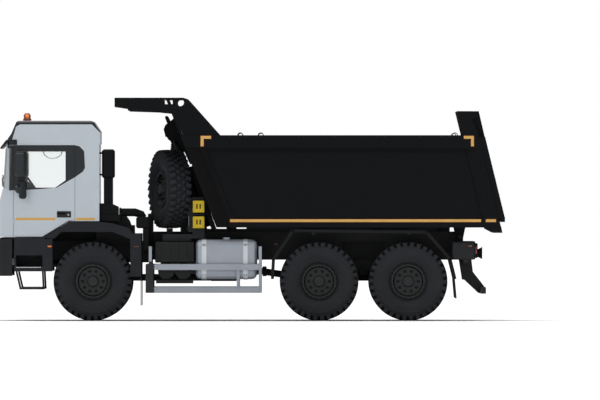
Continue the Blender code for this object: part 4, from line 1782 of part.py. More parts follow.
def build_snorkel(cab):
    """Air snorkel behind the cab's left rear corner: head, neck and base."""
    head_x0 = FRONT_AXLE_X + SNORKEL_HEAD_OFFSET
    head_x1 = head_x0 + SNORKEL_HEAD_LENGTH
    head_low = SNORKEL_HEAD_TOP_Z - SNORKEL_HEAD_HEIGHT
    neck_x0 = head_x0 + (SNORKEL_HEAD_LENGTH - SNORKEL_NECK_LENGTH) / 2.0
    wall_x = CAB_REAR_X + FIT_GAP
    base = spread(SNORKEL_BASE_SHARES, wall_x, wall_x + SNORKEL_BASE_LENGTH,
                  CAB_REAR_BOTTOM_Z, SNORKEL_BASE_TOP_Z)
    half_head, half_neck = SNORKEL_HEAD_WIDTH / 2.0, SNORKEL_NECK_WIDTH / 2.0
    inner, outer = SNORKEL_Y - half_head, SNORKEL_Y + half_head
    parts = [
        mirrored_box(head_x0, head_x1, inner, outer, head_low, SNORKEL_HEAD_TOP_Z, -1.0,
                     SNORKEL_EDGE),
        mirrored_box(neck_x0, neck_x0 + SNORKEL_NECK_LENGTH, SNORKEL_Y - half_neck,
                     SNORKEL_Y + half_neck, SNORKEL_BASE_TOP_Z - OVERRUN, head_low + OVERRUN,
                     -1.0),
        mirrored_plate(base, SNORKEL_Y - half_neck - OVERRUN, SNORKEL_Y + half_neck + OVERRUN,
                       -1.0),
    ]
    for z in (SNORKEL_HEAD_TOP_Z - 2.0 * SNORKEL_EDGE, head_low + 2.0 * SNORKEL_EDGE):
        parts.append(mirrored_box(wall_x, head_x0 + OVERRUN, SNORKEL_Y - SNORKEL_EDGE,
                                  SNORKEL_Y + SNORKEL_EDGE, z - SNORKEL_EDGE / 2.0,
                                  z + SNORKEL_EDGE / 2.0, -1.0))
    finish('snorkel', fuse(parts), 'dark_plastic', cab)


def build_interior(cab):
    """Two seats on their bench base, and the dashboard with its steering wheel."""
    floor = CAB_REAR_BOTTOM_Z + CAB_FLOOR_THICKNESS + FIT_GAP
    rear = CAB_REAR_X - SEAT_SETBACK
    front = rear - SEAT_DEPTH
    seat_low = floor + SEAT_BASE_HEIGHT
    seat_top = seat_low + SEAT_THICKNESS
    tunnel_front = FRONT_AXLE_X - CAB_ARCH_TOP_OFFSET
    parts = [box(tunnel_front, rear - STEP_IN, -SEAT_Y, SEAT_Y, floor,
                 floor + SEAT_BASE_HEIGHT / 2.0)]
    for side, sign in SIDES:
        inner, outer = SEAT_Y - SEAT_WIDTH / 2.0, SEAT_Y + SEAT_WIDTH / 2.0
        parts.append(mirrored_box(tunnel_front, rear, inner + SEAT_BASE_INSET,
                                  outer - SEAT_BASE_INSET, floor + FIT_GAP, seat_low + OVERRUN,
                                  sign))
        parts.append(mirrored_box(front, rear, inner, outer, seat_low, seat_top, sign,
                                  SEAT_BASE_INSET / 2.0))
        parts.append(mirrored_box(rear - SEAT_BACK_THICKNESS, rear + OVERRUN, inner, outer,
                                  seat_top - OVERRUN * 2.0, seat_top + SEAT_BACK_HEIGHT, sign,
                                  SEAT_BASE_INSET / 2.0))
    finish('seats', fuse(parts), 'seat_cloth', cab)

    dash_x0 = CAB_FRONT_X + CAB_WALL + FIT_GAP
    dash_x1 = dash_x0 + DASH_DEPTH
    dash_low = DASH_TOP_Z - DASH_HEIGHT
    dash_half = CAB_HALF_WIDTH - DOOR_THICKNESS - CAB_WALL / 2.0 - DASH_END_GAP
    lean = math.radians(STEERING_WHEEL_LEAN_DEG)
    axis = Vector((math.cos(lean), 0.0, math.sin(lean)))
    start = Vector((dash_x1 - CAB_WALL, -SEAT_Y, dash_low + DASH_HEIGHT / 2.0))
    hub = start + axis * STEERING_WHEEL_REACH
    turn = axis.to_track_quat('Z', 'Y').to_matrix().to_4x4()
    circle = []
    for step in range(WHEEL_STEPS):
        angle = 2.0 * math.pi * step / WHEEL_STEPS
        circle.append(hub + turn.to_3x3() @ Vector((STEERING_WHEEL_RADIUS * math.cos(angle),
                                                    STEERING_WHEEL_RADIUS * math.sin(angle),
                                                    0.0)))
    parts = [
        box(dash_x0, dash_x1, -dash_half, dash_half, dash_low, DASH_TOP_Z, CAB_WALL / 2.0),
        rod(start, hub + axis * COLUMN_RADIUS / 2.0, COLUMN_RADIUS),
        ring_tube(circle, STEERING_RIM_RADIUS),
    ]
    for angle in (90.0, 210.0, 330.0):
        reach = Vector((math.cos(math.radians(angle)), math.sin(math.radians(angle)), 0.0))
        spoke_end = hub + turn.to_3x3() @ (reach * STEERING_WHEEL_RADIUS)
        parts.append(rod(hub, spoke_end, STEERING_RIM_RADIUS * 0.8))
    finish('dashboard', fuse(parts), 'dark_plastic', cab)


def ring_tube(points, radius):
    """A round bar closed into a ring."""
    curve = bpy.data.curves.new('ring', 'CURVE')
    curve.dimensions = '3D'
    curve.bevel_depth = radius
    curve.bevel_resolution = 1
    spline = curve.splines.new('POLY')
    spline.points.add(len(points) - 1)
    for point, place in zip(spline.points, points):
        point.co = (*place, 1.0)
    spline.use_cyclic_u = True
    obj = bpy.data.objects.new('ring', curve)
    WORKSHOP.objects.link(obj)
    return baked(obj)


def build_doors(cab):
    """Two doors with their windows, handles and mirrors."""
    window_x0 = FRONT_AXLE_X - WINDOW_FRONT_OFFSET
    window_x1 = FRONT_AXLE_X - WINDOW_REAR_OFFSET
    edge = GLASS_EDGE
    window = spread(WINDOW_SHARES, window_x0, window_x1, WINDOW_BOTTOM_Z, WINDOW_TOP_Z)
    groove = spread(WINDOW_SHARES, window_x0 - edge, window_x1 + edge, WINDOW_BOTTOM_Z - edge,
                    WINDOW_TOP_Z + edge)
    grow = edge - FIT_GAP
    pane = spread(WINDOW_SHARES, window_x0 - grow, window_x1 + grow, WINDOW_BOTTOM_Z - grow,
                  WINDOW_TOP_Z + grow)
    pane_outer = CAB_HALF_WIDTH - GLASS_INSET
    pane_inner = pane_outer - GLASS_THICKNESS
    handle_x1 = DOOR_REAR_X - HANDLE_REAR_INSET
    for side, sign in SIDES:
        hinge = pivot(f'door_hinge_{side}', (DOOR_FRONT_X, sign * CAB_HALF_WIDTH, CAB_BOTTOM_Z),
                      cab)
        parts = [
            mirrored_plate(raised(door_outline(0.0)), CAB_HALF_WIDTH - DOOR_THICKNESS,
                           CAB_HALF_WIDTH, sign),
            mirrored_box(handle_x1 - HANDLE_LENGTH, handle_x1, CAB_HALF_WIDTH - OVERRUN,
                         CAB_HALF_WIDTH + HANDLE_DEPTH, HANDLE_Z, HANDLE_Z + HANDLE_HEIGHT, sign),
        ]
        cuts = [
            mirrored_plate(window, CAB_HALF_WIDTH - DOOR_THICKNESS - OVERRUN,
                           CAB_HALF_WIDTH + OVERRUN, sign),
            mirrored_plate(groove, pane_inner - FIT_GAP, pane_outer + FIT_GAP, sign),
        ] + door_knuckles(sign, PIN_PLAY)
        door = fuse(parts, cuts)
        finish(f'door_{side}', fuse([door] + mirror_parts(sign)), 'cab_paint', hinge)
        finish(f'door_glass_{side}', mirrored_plate(pane, pane_inner, pane_outer, sign), 'glass',
               hinge)


def raised(points):
    """The outline with its lowest edge lifted clear of the step below it."""
    return [(x, z + (MOVING_GAP if z < DOOR_TOP_Z else 0.0)) for x, z in points]


def mirror_parts(sign):
    """Main mirror, the wide-angle one below it, and their arms into the door."""
    x0 = FRONT_AXLE_X - MIRROR_FRONT_OFFSET
    x1 = x0 + MIRROR_DEPTH
    top = MIRROR_BOTTOM_Z + MIRROR_HEIGHT
    low_top = MIRROR_BOTTOM_Z - MIRROR_LOW_DROP
    arm_x = x0 + MIRROR_DEPTH / 3.0
    arm_y = MIRROR_INNER_Y + (MIRROR_OUTER_Y - MIRROR_INNER_Y) / 4.0
    parts = [
        mirrored_box(x0, x1, MIRROR_INNER_Y, MIRROR_OUTER_Y, MIRROR_BOTTOM_Z, top, sign,
                     MIRROR_EDGE),
        mirrored_box(x0, x1 - MIRROR_EDGE, MIRROR_INNER_Y, MIRROR_OUTER_Y - MIRROR_EDGE,
                     low_top - MIRROR_LOW_HEIGHT, low_top, sign, MIRROR_EDGE),
        rod((arm_x, sign * arm_y, low_top - MIRROR_EDGE),
            (arm_x, sign * arm_y, top + MIRROR_ARM_TOP_RAISE), MIRROR_ARM_RADIUS),
    ]
    for z in (top + MIRROR_ARM_TOP_RAISE - MIRROR_ARM_RADIUS,
              MIRROR_BOTTOM_Z - MIRROR_LOW_DROP / 2.0):
        parts.append(rod((arm_x, sign * (CAB_HALF_WIDTH - OVERRUN), z),
                         (arm_x, sign * (arm_y + MIRROR_ARM_RADIUS / 2.0), z),
                         MIRROR_ARM_RADIUS))
    return parts


def front_wall_x(z):
    """The bed's front wall, at a height."""
    return (FRONT_AXLE_X + BED_FRONT_OFFSET
            - (z - BED_FLOOR_Z) * math.tan(math.radians(BED_FRONT_LEAN_DEG)))


def rear_edge_x(z):
    """The rear edge of the bed's sides, at a height."""
    return (BOGIE_X + BED_REAR_OVERHANG
            - (z - BED_FLOOR_Z) * math.tan(math.radians(BED_REAR_LEAN_DEG)))


def between(front, rear, z0, z1, front_shift=0.0, rear_shift=0.0):
    """A side outline between two leaning edges and two heights."""
    return [(front(z0) + front_shift, z0), (rear(z0) + rear_shift, z0),
            (rear(z1) + rear_shift, z1), (front(z1) + front_shift, z1)]


def build_bed(bed):
    """Bed tub: floor, leaning front wall, sides with rim, sill and posts, bearers and lugs."""
    wall_outer = BODY_HALF_WIDTH - BED_PANEL_INSET
    wall_inner = wall_outer - BED_WALL
    floor_top = BED_FLOOR_Z + BED_FLOOR_THICKNESS
    rim_low = BED_RIM_TOP_Z - BED_RIM_HEIGHT
    headboard_half = CANOPY_HALF_WIDTH - CANOPY_SHEET - FIT_GAP
    parts = [
        side_plate(between(front_wall_x, rear_edge_x, BED_FLOOR_Z, floor_top, BED_WALL / 2.0,
                           -4.0 * STEP_IN),
                   -wall_outer + BED_WALL / 2.0, wall_outer - BED_WALL / 2.0),
        side_plate(between(front_wall_x, front_wall_x, BED_FLOOR_Z + STEP_IN,
                           BED_HEADBOARD_TOP_Z, 0.0, BED_WALL), -headboard_half, headboard_half),
    ]
    for side, sign in SIDES:
        parts.append(mirrored_plate(
            between(front_wall_x, rear_edge_x, BED_SILL_BOTTOM_Z + STEP_IN,
                    BED_RIM_TOP_Z - STEP_IN, STEP_IN, -STEP_IN),
            wall_inner, wall_outer, sign))
        parts.append(mirrored_plate(
            between(front_wall_x, rear_edge_x, rim_low, BED_RIM_TOP_Z, 2.0 * STEP_IN,
                    -2.0 * STEP_IN),
            BODY_HALF_WIDTH - BED_RIM_WIDTH, BODY_HALF_WIDTH, sign))
        parts.append(mirrored_plate(
            between(front_wall_x, rear_edge_x, BED_SILL_BOTTOM_Z, BED_SILL_TOP_Z,
                    BED_POST_SETBACK, -3.0 * STEP_IN),
            BODY_HALF_WIDTH - BED_SILL_WIDTH, BODY_HALF_WIDTH, sign))
        parts.append(mirrored_plate(
            between(front_wall_x, front_wall_x, BED_SILL_BOTTOM_Z + 2.0 * STEP_IN,
                    BED_RIM_TOP_Z - 2.0 * STEP_IN, BED_POST_SETBACK,
                    BED_POST_SETBACK + BED_POST_WIDTH),
            BODY_HALF_WIDTH - BED_POST_DEPTH, BODY_HALF_WIDTH - STEP_IN, sign))
        parts.append(mirrored_plate(
            between(rear_edge_x, rear_edge_x, BED_SILL_BOTTOM_Z + 3.0 * STEP_IN,
                    BED_PILLAR_TOP_Z, -BED_PILLAR_WIDTH, 0.0),
            BODY_HALF_WIDTH - BED_PILLAR_DEPTH, BODY_HALF_WIDTH - STEP_IN, sign))
        parts.append(chamfer_bar(wall_inner, floor_top, sign))
        parts.append(hinge_cap(sign))
        parts.append(tail_tip(sign))
        parts.append(hinge_lug(sign))
        parts.append(hoist_lug(sign))
        pin_inner = TAILGATE_ARM_INNER_Y - MOVING_GAP
        parts.append(rod((TAILGATE_HINGE_X, sign * pin_inner, TAILGATE_HINGE_Z),
                         (TAILGATE_HINGE_X, sign * (BODY_HALF_WIDTH - OVERRUN), TAILGATE_HINGE_Z),
                         TAILGATE_PIN_RADIUS, FINE_STEPS))
        for place in stations(PAD_SHARES, front_wall_x(BED_FLOOR_Z), rear_edge_x(BED_FLOOR_Z)):
            parts.append(mirrored_box(place, place + PAD_LENGTH, RAIL_INNER_Y, RAIL_OUTER_Y,
                                      SUBFRAME_TOP_Z + FIT_GAP, BED_FLOOR_Z + 1.5 * RAIL_WALL, sign))
    for place in stations(BEARER_SHARES, front_wall_x(BED_FLOOR_Z), rear_edge_x(BED_FLOOR_Z)):
        parts.append(box(place, place + BEARER_WIDTH, -wall_inner - RAIL_WALL,
                         wall_inner + RAIL_WALL, BED_SILL_BOTTOM_Z + OVERRUN,
                         BED_FLOOR_Z + RAIL_WALL))
    slots = []
    for side, sign in SIDES:
        slot = [(rear_edge_x(SLOT_BOTTOM_Z) + OVERRUN, SLOT_BOTTOM_Z),
                (rear_edge_x(SLOT_TOP_Z) - SLOT_DEPTH, SLOT_TOP_Z - OVERRUN),
                (rear_edge_x(SLOT_TOP_Z) + OVERRUN, SLOT_TOP_Z)]
        slots.append(mirrored_plate(slot, BODY_HALF_WIDTH - BED_PILLAR_DEPTH - OVERRUN,
                                    BODY_HALF_WIDTH + OVERRUN, sign))
    finish('bed_tub', fuse(parts, slots), 'bed_paint', bed)


def chamfer_bar(wall_inner, floor_top, sign):
    """The sloped corner between the floor and a side."""
    low, over = floor_top - RAIL_WALL, wall_inner + RAIL_WALL
    corner = [(over, low), (over, floor_top + BED_CHAMFER), (wall_inner, floor_top + BED_CHAMFER),
              (wall_inner - BED_CHAMFER, floor_top), (wall_inner - BED_CHAMFER, low)]
    bar = cross_plate([(sign * y, z) for y, z in corner],
                      front_wall_x(floor_top + BED_CHAMFER), rear_edge_x(floor_top + BED_CHAMFER))
    ahead = side_plate(between(front_wall_x, front_wall_x, BED_SILL_BOTTOM_Z, BED_RIM_TOP_Z,
                               -BED_PILLAR_WIDTH, BED_WALL / 3.0), -BODY_HALF_WIDTH,
                       BODY_HALF_WIDTH)
    return fuse([bar], [ahead])


def hinge_cap(sign):
    """The pillar's top, which reaches back over the tailgate's hinge."""
    low = TAILGATE_HINGE_Z - TAILGATE_ARM_RADIUS
    front = rear_edge_x(BED_PILLAR_TOP_Z) - BED_PILLAR_WIDTH / 2.0
    rear = TAILGATE_HINGE_X + TAILGATE_ARM_RADIUS
    outline = [(front, low), (rear, low), (rear, TAILGATE_HINGE_Z), (rear - OVERRUN,
               BED_PILLAR_TOP_Z - STEP_IN), (front, BED_PILLAR_TOP_Z - STEP_IN)]
    return mirrored_plate(outline, BODY_HALF_WIDTH - BED_PILLAR_DEPTH + STEP_IN,
                          BODY_HALF_WIDTH - 2.0 * STEP_IN, sign)


def tail_tip(sign):
    """The low plate at the foot of a rear pillar."""
    rear = rear_edge_x(BED_SILL_BOTTOM_Z)
    low = BED_SILL_BOTTOM_Z - BED_TIP_DROP
    outline = [(rear - BED_TIP_LENGTH, BED_SILL_BOTTOM_Z + OVERRUN),
               (rear - BED_TIP_LENGTH, BED_SILL_BOTTOM_Z - OVERRUN),
               (rear - BED_TIP_LENGTH / 2.0, low), (rear + OVERRUN, low),
               (rear, BED_SILL_BOTTOM_Z + OVERRUN)]
    return mirrored_plate(outline, BODY_HALF_WIDTH - BED_SILL_WIDTH + STEP_IN,
                          BODY_HALF_WIDTH - 4.0 * STEP_IN, sign)


def hinge_lug(sign):
    """A lug from the floor down round the subframe's hinge pin, with its bore."""
    top = BED_FLOOR_Z + 2.0 * RAIL_WALL
    outline = arc((BED_PIVOT_X, BED_PIVOT_Z), BED_LUG_RADIUS, 180.0, 360.0, PLAIN_STEPS)
    outline += [(BED_PIVOT_X + BED_LUG_LENGTH / 2.0, top),
                (BED_PIVOT_X - BED_LUG_LENGTH / 2.0, top)]
    lug = mirrored_plate(outline, BED_LUG_INNER_Y, BED_LUG_OUTER_Y, sign)
    bore = rod((BED_PIVOT_X, sign * (BED_LUG_INNER_Y - OVERRUN), BED_PIVOT_Z),
               (BED_PIVOT_X, sign * (BED_LUG_OUTER_Y + OVERRUN), BED_PIVOT_Z),
               BED_PIN_RADIUS + PIN_PLAY, FINE_STEPS)
    return fuse([lug], [bore])


def hoist_base():
    """The hoist's lower pin."""
    return FRONT_AXLE_X + HOIST_BASE_OFFSET, RAIL_TOP_Z + HOIST_BASE_RAISE


def hoist_lug(sign):
    """One of the two lugs on the bed's front wall that hold the hoist's eye between them."""
    eye_x = FRONT_AXLE_X + HOIST_EYE_OFFSET
    low, high = HOIST_EYE_Z - HOIST_LUG_HEIGHT / 2.0, HOIST_EYE_Z + HOIST_LUG_HEIGHT / 2.0
    front = eye_x - HOIST_HEAD_RADIUS
    outline = [(front_wall_x(low) + RAIL_WALL, low), (front_wall_x(high) + RAIL_WALL, high),
               (front, HOIST_EYE_Z + HOIST_HEAD_RADIUS), (front, HOIST_EYE_Z - HOIST_HEAD_RADIUS)]
    inner = HOIST_HEAD_WIDTH / 2.0 + MOVING_GAP
    return mirrored_plate(outline, inner, inner + HOIST_LUG_THICKNESS, sign)


def build_canopy(bed):
    """Canopy over the gap behind the cab: top sheet, skirts, front lip and back plate."""
    x0 = FRONT_AXLE_X + CANOPY_FRONT_OFFSET
    x1 = x0 + CANOPY_LENGTH
    z0 = BED_RIM_TOP_Z + FIT_GAP
    skirt = spread(CANOPY_SKIRT_SHARES, x0, x1, z0, CANOPY_TOP_Z)
    slot_low, slot_high = spread(CANOPY_SLOT_SHARES, x0, x1, z0, CANOPY_TOP_Z)
    eye = spread([CANOPY_EYE_SHARES], x0, x1, z0, CANOPY_TOP_Z)[0]
    inner = CANOPY_HALF_WIDTH - CANOPY_SHEET
    back_low = BED_HEADBOARD_TOP_Z + FIT_GAP
    back_top = CANOPY_TOP_Z - CANOPY_SHEET / 2.0
    parts = [
        box(x0 + FIT_GAP, x0 + CANOPY_FLAT_LENGTH, -inner - CANOPY_SHEET / 2.0,
            inner + CANOPY_SHEET / 2.0, CANOPY_TOP_Z - CANOPY_SHEET, CANOPY_TOP_Z - FIT_GAP),
        box(x0 + 2.0 * FIT_GAP, x0 + CANOPY_SHEET, -inner - CANOPY_SHEET / 3.0,
            inner + CANOPY_SHEET / 3.0, CANOPY_TOP_Z - CANOPY_LIP_HEIGHT,
            CANOPY_TOP_Z - CANOPY_SHEET / 2.0),
        side_plate(between(front_wall_x, front_wall_x, back_low, back_top, 0.0, BED_WALL),
                   -inner - CANOPY_SHEET / 2.0, inner + CANOPY_SHEET / 2.0),
    ]
    cuts = []
    for side, sign in SIDES:
        parts.append(mirrored_plate(skirt, inner, CANOPY_HALF_WIDTH, sign))
        cuts.append(mirrored_box(slot_low[0], slot_high[0], inner - MOVING_GAP,
                                 CANOPY_HALF_WIDTH + OVERRUN, slot_low[1], slot_high[1], sign))
        cuts.append(rod((eye[0], sign * (inner - MOVING_GAP), eye[1]),
                        (eye[0], sign * (CANOPY_HALF_WIDTH + OVERRUN), eye[1]),
                        CANOPY_EYE_RADIUS, FINE_STEPS))
    finish('canopy', fuse(parts, cuts), 'bed_paint', bed)


def build_tailgate(bed):
    """Top-hinged tailgate: skin, frame, ribs and two arms up to the hinge."""
    gate = pivot('tailgate_hinge', (TAILGATE_HINGE_X, 0.0, TAILGATE_HINGE_Z), bed)
    near, far = MOVING_GAP, MOVING_GAP + TAILGATE_DEPTH
    low, high = TAILGATE_BOTTOM_Z, TAILGATE_TOP_Z
    half = TAILGATE_HALF_WIDTH
    skin = side_plate(between(rear_edge_x, rear_edge_x, low, high, near, near + TAILGATE_SKIN),
                      -half, half)
    parts = [skin]
    frame = TAILGATE_FRAME
    for z0, z1 in ((low + FIT_GAP, low + frame), (high - frame, high - FIT_GAP),
                   ((low + high - frame) / 2.0, (low + high + frame) / 2.0)):
        parts.append(side_plate(between(rear_edge_x, rear_edge_x, z0, z1,
                                        near + TAILGATE_SKIN / 2.0, far), -half + FIT_GAP,
                                half - FIT_GAP))
    ribs = stations(TAILGATE_RIB_SHARES, -half, half)
    for y0, y1 in ([(-half + 2.0 * FIT_GAP, -half + frame), (half - frame, half - 2.0 * FIT_GAP)]
                   + [(y - frame / 3.0, y + frame / 3.0) for y in ribs]):
        parts.append(side_plate(between(rear_edge_x, rear_edge_x, low + 2.0 * FIT_GAP,
                                        high - 2.0 * FIT_GAP, near + TAILGATE_SKIN / 3.0,
                                        far - FIT_GAP), y0, y1))
    for side, sign in SIDES:
        parts.append(gate_arm(far, high, sign))
        lock_rear = rear_edge_x(low) + far
        parts.append(mirrored_box(lock_rear - TAILGATE_LOCK_LENGTH, lock_rear - FIT_GAP,
                                  half - frame, half - 3.0 * FIT_GAP,
                                  low - TAILGATE_LOCK_HEIGHT, low + OVERRUN, sign))
    finish('tailgate', fuse(parts), 'bed_paint', gate)


def gate_arm(far, high, sign):
    """A tailgate arm from its top corner up round the hinge pin, with its bore."""
    top = TAILGATE_HINGE_Z + TAILGATE_ARM_RADIUS
    outline = arc((TAILGATE_HINGE_X, TAILGATE_HINGE_Z), TAILGATE_ARM_RADIUS, 90.0, 225.0,
                  PLAIN_STEPS)
    outline += [(rear_edge_x(high) + MOVING_GAP, high - OVERRUN),
                (rear_edge_x(high) + far - FIT_GAP, high - OVERRUN),
                (rear_edge_x(top) + far - FIT_GAP, top)]
    arm = mirrored_plate(outline, TAILGATE_ARM_INNER_Y, TAILGATE_ARM_OUTER_Y, sign)
    bore = rod((TAILGATE_HINGE_X, sign * (TAILGATE_ARM_INNER_Y - OVERRUN), TAILGATE_HINGE_Z),
               (TAILGATE_HINGE_X, sign * (TAILGATE_ARM_OUTER_Y + OVERRUN), TAILGATE_HINGE_Z),
               TAILGATE_PIN_RADIUS + PIN_PLAY, FINE_STEPS)
    return fuse([arm], [bore])


def build_hoist():
    """Telescopic hoist: a barrel on the subframe's pin and three stages, the last with its eye."""
    base_x, base_z = hoist_base()
    base = Vector((base_x, 0.0, base_z))
    eye = Vector((FRONT_AXLE_X + HOIST_EYE_OFFSET, 0.0, HOIST_EYE_Z))
    reach = (eye - base).length
    along = eye - base
    turn = Matrix.Rotation(math.atan2(along.x, along.z), 4, 'Y')
    place = Matrix.Translation(base) @ turn
    carrier = pivot('hoist_swing', base)
    outer = HOIST_BARREL_RADIUS
    inner = outer - HOIST_WALL
    start, end = HOIST_BARREL_START, HOIST_BARREL_LENGTH
    profile = ((0.0, start + HOIST_WALL), (inner, start + HOIST_WALL), (inner, end),
               (outer, end), (outer, start), (0.0, start))
    half_foot = HOIST_FOOT_WIDTH / 2.0
    neck = box(-HOIST_FOOT_RADIUS / 2.0, HOIST_FOOT_RADIUS / 2.0, -half_foot + FIT_GAP,
               half_foot - FIT_GAP, 0.0, start + HOIST_WALL / 2.0)
    neck.data.transform(place)
    parts = [
        turned(profile, FINE_STEPS, place), neck,
        rod(base + Vector((0.0, -half_foot, 0.0)), base + Vector((0.0, half_foot, 0.0)),
            HOIST_FOOT_RADIUS, FINE_STEPS),
    ]
    bore = rod(base - Vector((0.0, HOIST_FOOT_WIDTH, 0.0)),
               base + Vector((0.0, HOIST_FOOT_WIDTH, 0.0)), HOIST_PIN_RADIUS + PIN_PLAY,
               FINE_STEPS)
    finish('hoist_barrel', fuse(parts, [bore]), 'frame_paint', carrier)
    for number in range(1, HOIST_STAGES + 1):
        carrier = pivot(f'hoist_slide_{number}', base, carrier)
        outer = inner - HOIST_STAGE_GAP
        inner = outer - HOIST_WALL
        start += HOIST_STEP
        end += HOIST_STEP
        if number < HOIST_STAGES:
            ring = ((inner, start), (inner, end), (outer, end), (outer, start), (inner, start))
            stage = turned(ring, FINE_STEPS, place)
        else:
            half_head = Vector((0.0, HOIST_HEAD_WIDTH / 2.0, 0.0))
            stage = fuse([rod(place @ Vector((0.0, 0.0, start)), place @ Vector((0.0, 0.0, reach)),
                              outer, FINE_STEPS),
                          rod(eye - half_head, eye + half_head, HOIST_HEAD_RADIUS, FINE_STEPS)])
        finish(f'hoist_stage_{number}', stage, 'chromed_rod', carrier)


def build_truck():
    knuckles = build_knuckles()
    tyre_mesh, rim_mesh = build_wheels(knuckles)
    build_front_axle()
    build_rear_axles()
    build_bogie_springs()
    build_frame_rails()
    build_subframe()
    build_engine()
    build_transmission()
    build_fuel_tank()
    build_battery_box()
    build_silencer()
    build_side_guards()
    build_front_mudguards()
    build_bumper()
    build_rear_mudguards()
    build_tail()
    build_spare_wheel(tyre_mesh, rim_mesh)
    build_air_intake()
    cab = pivot('cab_tilt', (CAB_PIVOT_X, 0.0, CAB_PIVOT_Z))
    build_cab_shell(cab)
    build_roof(cab)
    build_front_panel(cab)
    build_windscreen(cab)
    build_snorkel(cab)
    build_interior(cab)
    build_doors(cab)
    bed = pivot('bed_tilt', (BED_PIVOT_X, 0.0, BED_PIVOT_Z))
    build_bed(bed)
    build_canopy(bed)
    build_tailgate(bed)
    build_hoist()
    for obj in list(WORKSHOP.objects):
        discard(obj)
    bpy.data.collections.remove(WORKSHOP)


build_truck()
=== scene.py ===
import math

import bmesh
import bpy
from mathutils import Matrix, Vector


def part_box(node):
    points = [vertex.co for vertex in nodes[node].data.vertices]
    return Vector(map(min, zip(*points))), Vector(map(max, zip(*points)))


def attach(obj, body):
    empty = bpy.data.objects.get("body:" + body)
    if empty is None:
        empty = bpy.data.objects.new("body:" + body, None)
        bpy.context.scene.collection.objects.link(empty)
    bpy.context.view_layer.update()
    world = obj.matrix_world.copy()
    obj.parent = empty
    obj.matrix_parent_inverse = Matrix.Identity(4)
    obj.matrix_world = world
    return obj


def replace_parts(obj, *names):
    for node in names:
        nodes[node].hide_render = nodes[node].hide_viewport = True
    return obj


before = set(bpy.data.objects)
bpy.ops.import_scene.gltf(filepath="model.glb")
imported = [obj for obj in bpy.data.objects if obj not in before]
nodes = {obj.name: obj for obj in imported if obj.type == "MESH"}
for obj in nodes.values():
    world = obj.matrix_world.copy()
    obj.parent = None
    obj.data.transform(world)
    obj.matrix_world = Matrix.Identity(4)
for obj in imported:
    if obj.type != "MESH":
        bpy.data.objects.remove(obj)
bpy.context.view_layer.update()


# Studio
# The truck stands on a white sweep under soft overhead light, seen square from its left side
# through a long lens, as on a catalogue page.
PIXEL = 0.016
PHOTO_LEFT_X = -3.9844
PHOTO_TOP_Z = 5.1328
VIEW_WIDTH = 9.6
LENS_MM = 1000.0
SENSOR_MM = 36.0


def photo_x(px):
    return PHOTO_LEFT_X + px * PIXEL


def photo_z(py):
    return PHOTO_TOP_Z - py * PIXEL


def stand(name, data):
    """An object that holds some data, linked to the scene."""
    made = bpy.data.objects.new(name, data)
    bpy.context.scene.collection.objects.link(made)
    return made


camera_data = bpy.data.cameras.new("side_camera")
camera_data.lens = LENS_MM
camera_data.sensor_width = SENSOR_MM
camera_data.clip_start = 10.0
camera_data.clip_end = 1200.0
camera = stand("side_camera", camera_data)
side_plane_y = -1.22
camera.location = (photo_x(300), side_plane_y - VIEW_WIDTH * LENS_MM / SENSOR_MM, photo_z(200))
camera.rotation_euler = (math.radians(90.0), 0.0, 0.0)
bpy.context.scene.camera = camera


def wire(tree, start, start_name, end, end_name):
    tree.links.new(start.outputs[start_name], end.inputs[end_name])


def place_node(tree, kind, **settings):
    node = tree.nodes.new(kind)
    for key, value in settings.items():
        setattr(node, key, value)
    return node


def settle(node, values):
    """Set inputs that nothing is wired to."""
    for name, value in values.items():
        node.inputs[name].default_value = value


SEEN_WHITE = 1.0
FILL_LIGHT = 0.30
FLOOR_SIZE = 400.0
FLOOR_WHITE = (0.93, 0.93, 0.93, 1.0)
SHADE_GREY = (0.34, 0.34, 0.35, 1.0)
SHADE_SCALE = (0.185, 0.42, 0.0)
SHADE_CORE = 0.42
world = bpy.data.worlds.new("white_studio")
bpy.context.scene.world = world
world.use_nodes = True
world_tree = world.node_tree
backdrop = world_tree.nodes["Background"]
ray_kind = place_node(world_tree, "ShaderNodeLightPath")
brightness = place_node(world_tree, "ShaderNodeMapRange")
settle(brightness, {"To Min": FILL_LIGHT, "To Max": SEEN_WHITE})
seen = place_node(world_tree, "ShaderNodeMath", operation="MAXIMUM")
wire(world_tree, ray_kind, "Is Camera Ray", seen, 0)
wire(world_tree, ray_kind, "Is Transmission Ray", seen, 1)
wire(world_tree, seen, "Value", brightness, "Value")
wire(world_tree, brightness, "Result", backdrop, "Strength")
settle(backdrop, {"Color": (1.0, 1.0, 1.0, 1.0)})
bpy.context.scene.view_settings.view_transform = "Standard"


def new_material(name):
    """A material with its node tree and its Principled shader."""
    made = bpy.data.materials.new(name)
    made.use_nodes = True
    return made, made.node_tree, made.node_tree.nodes["Principled BSDF"]


floor_shape = bmesh.new()
bmesh.ops.create_grid(floor_shape, x_segments=1, y_segments=1, size=FLOOR_SIZE)
floor_mesh = bpy.data.meshes.new("studio_floor")
floor_shape.to_mesh(floor_mesh)
floor_shape.free()
studio_floor = stand("studio_floor", floor_mesh)
floor_white, floor_tree, floor_shader = new_material("studio_white")
settle(floor_shader, {"Roughness": 0.9})
# The floor's colour runs from white to grey in a soft patch under the truck: a painted shadow.
under_truck = place_node(floor_tree, "ShaderNodeTexCoord")
fade_size = place_node(floor_tree, "ShaderNodeMapping")
settle(fade_size, {"Scale": SHADE_SCALE})
fade = place_node(floor_tree, "ShaderNodeTexGradient", gradient_type="SPHERICAL")
shade = place_node(floor_tree, "ShaderNodeValToRGB")
shade.color_ramp.elements[0].color = FLOOR_WHITE
shade.color_ramp.elements[1].position = SHADE_CORE
shade.color_ramp.elements[1].color = SHADE_GREY
wire(floor_tree, under_truck, "Object", fade_size, "Vector")
wire(floor_tree, fade_size, "Vector", fade, "Vector")
wire(floor_tree, fade, "Fac", shade, "Fac")
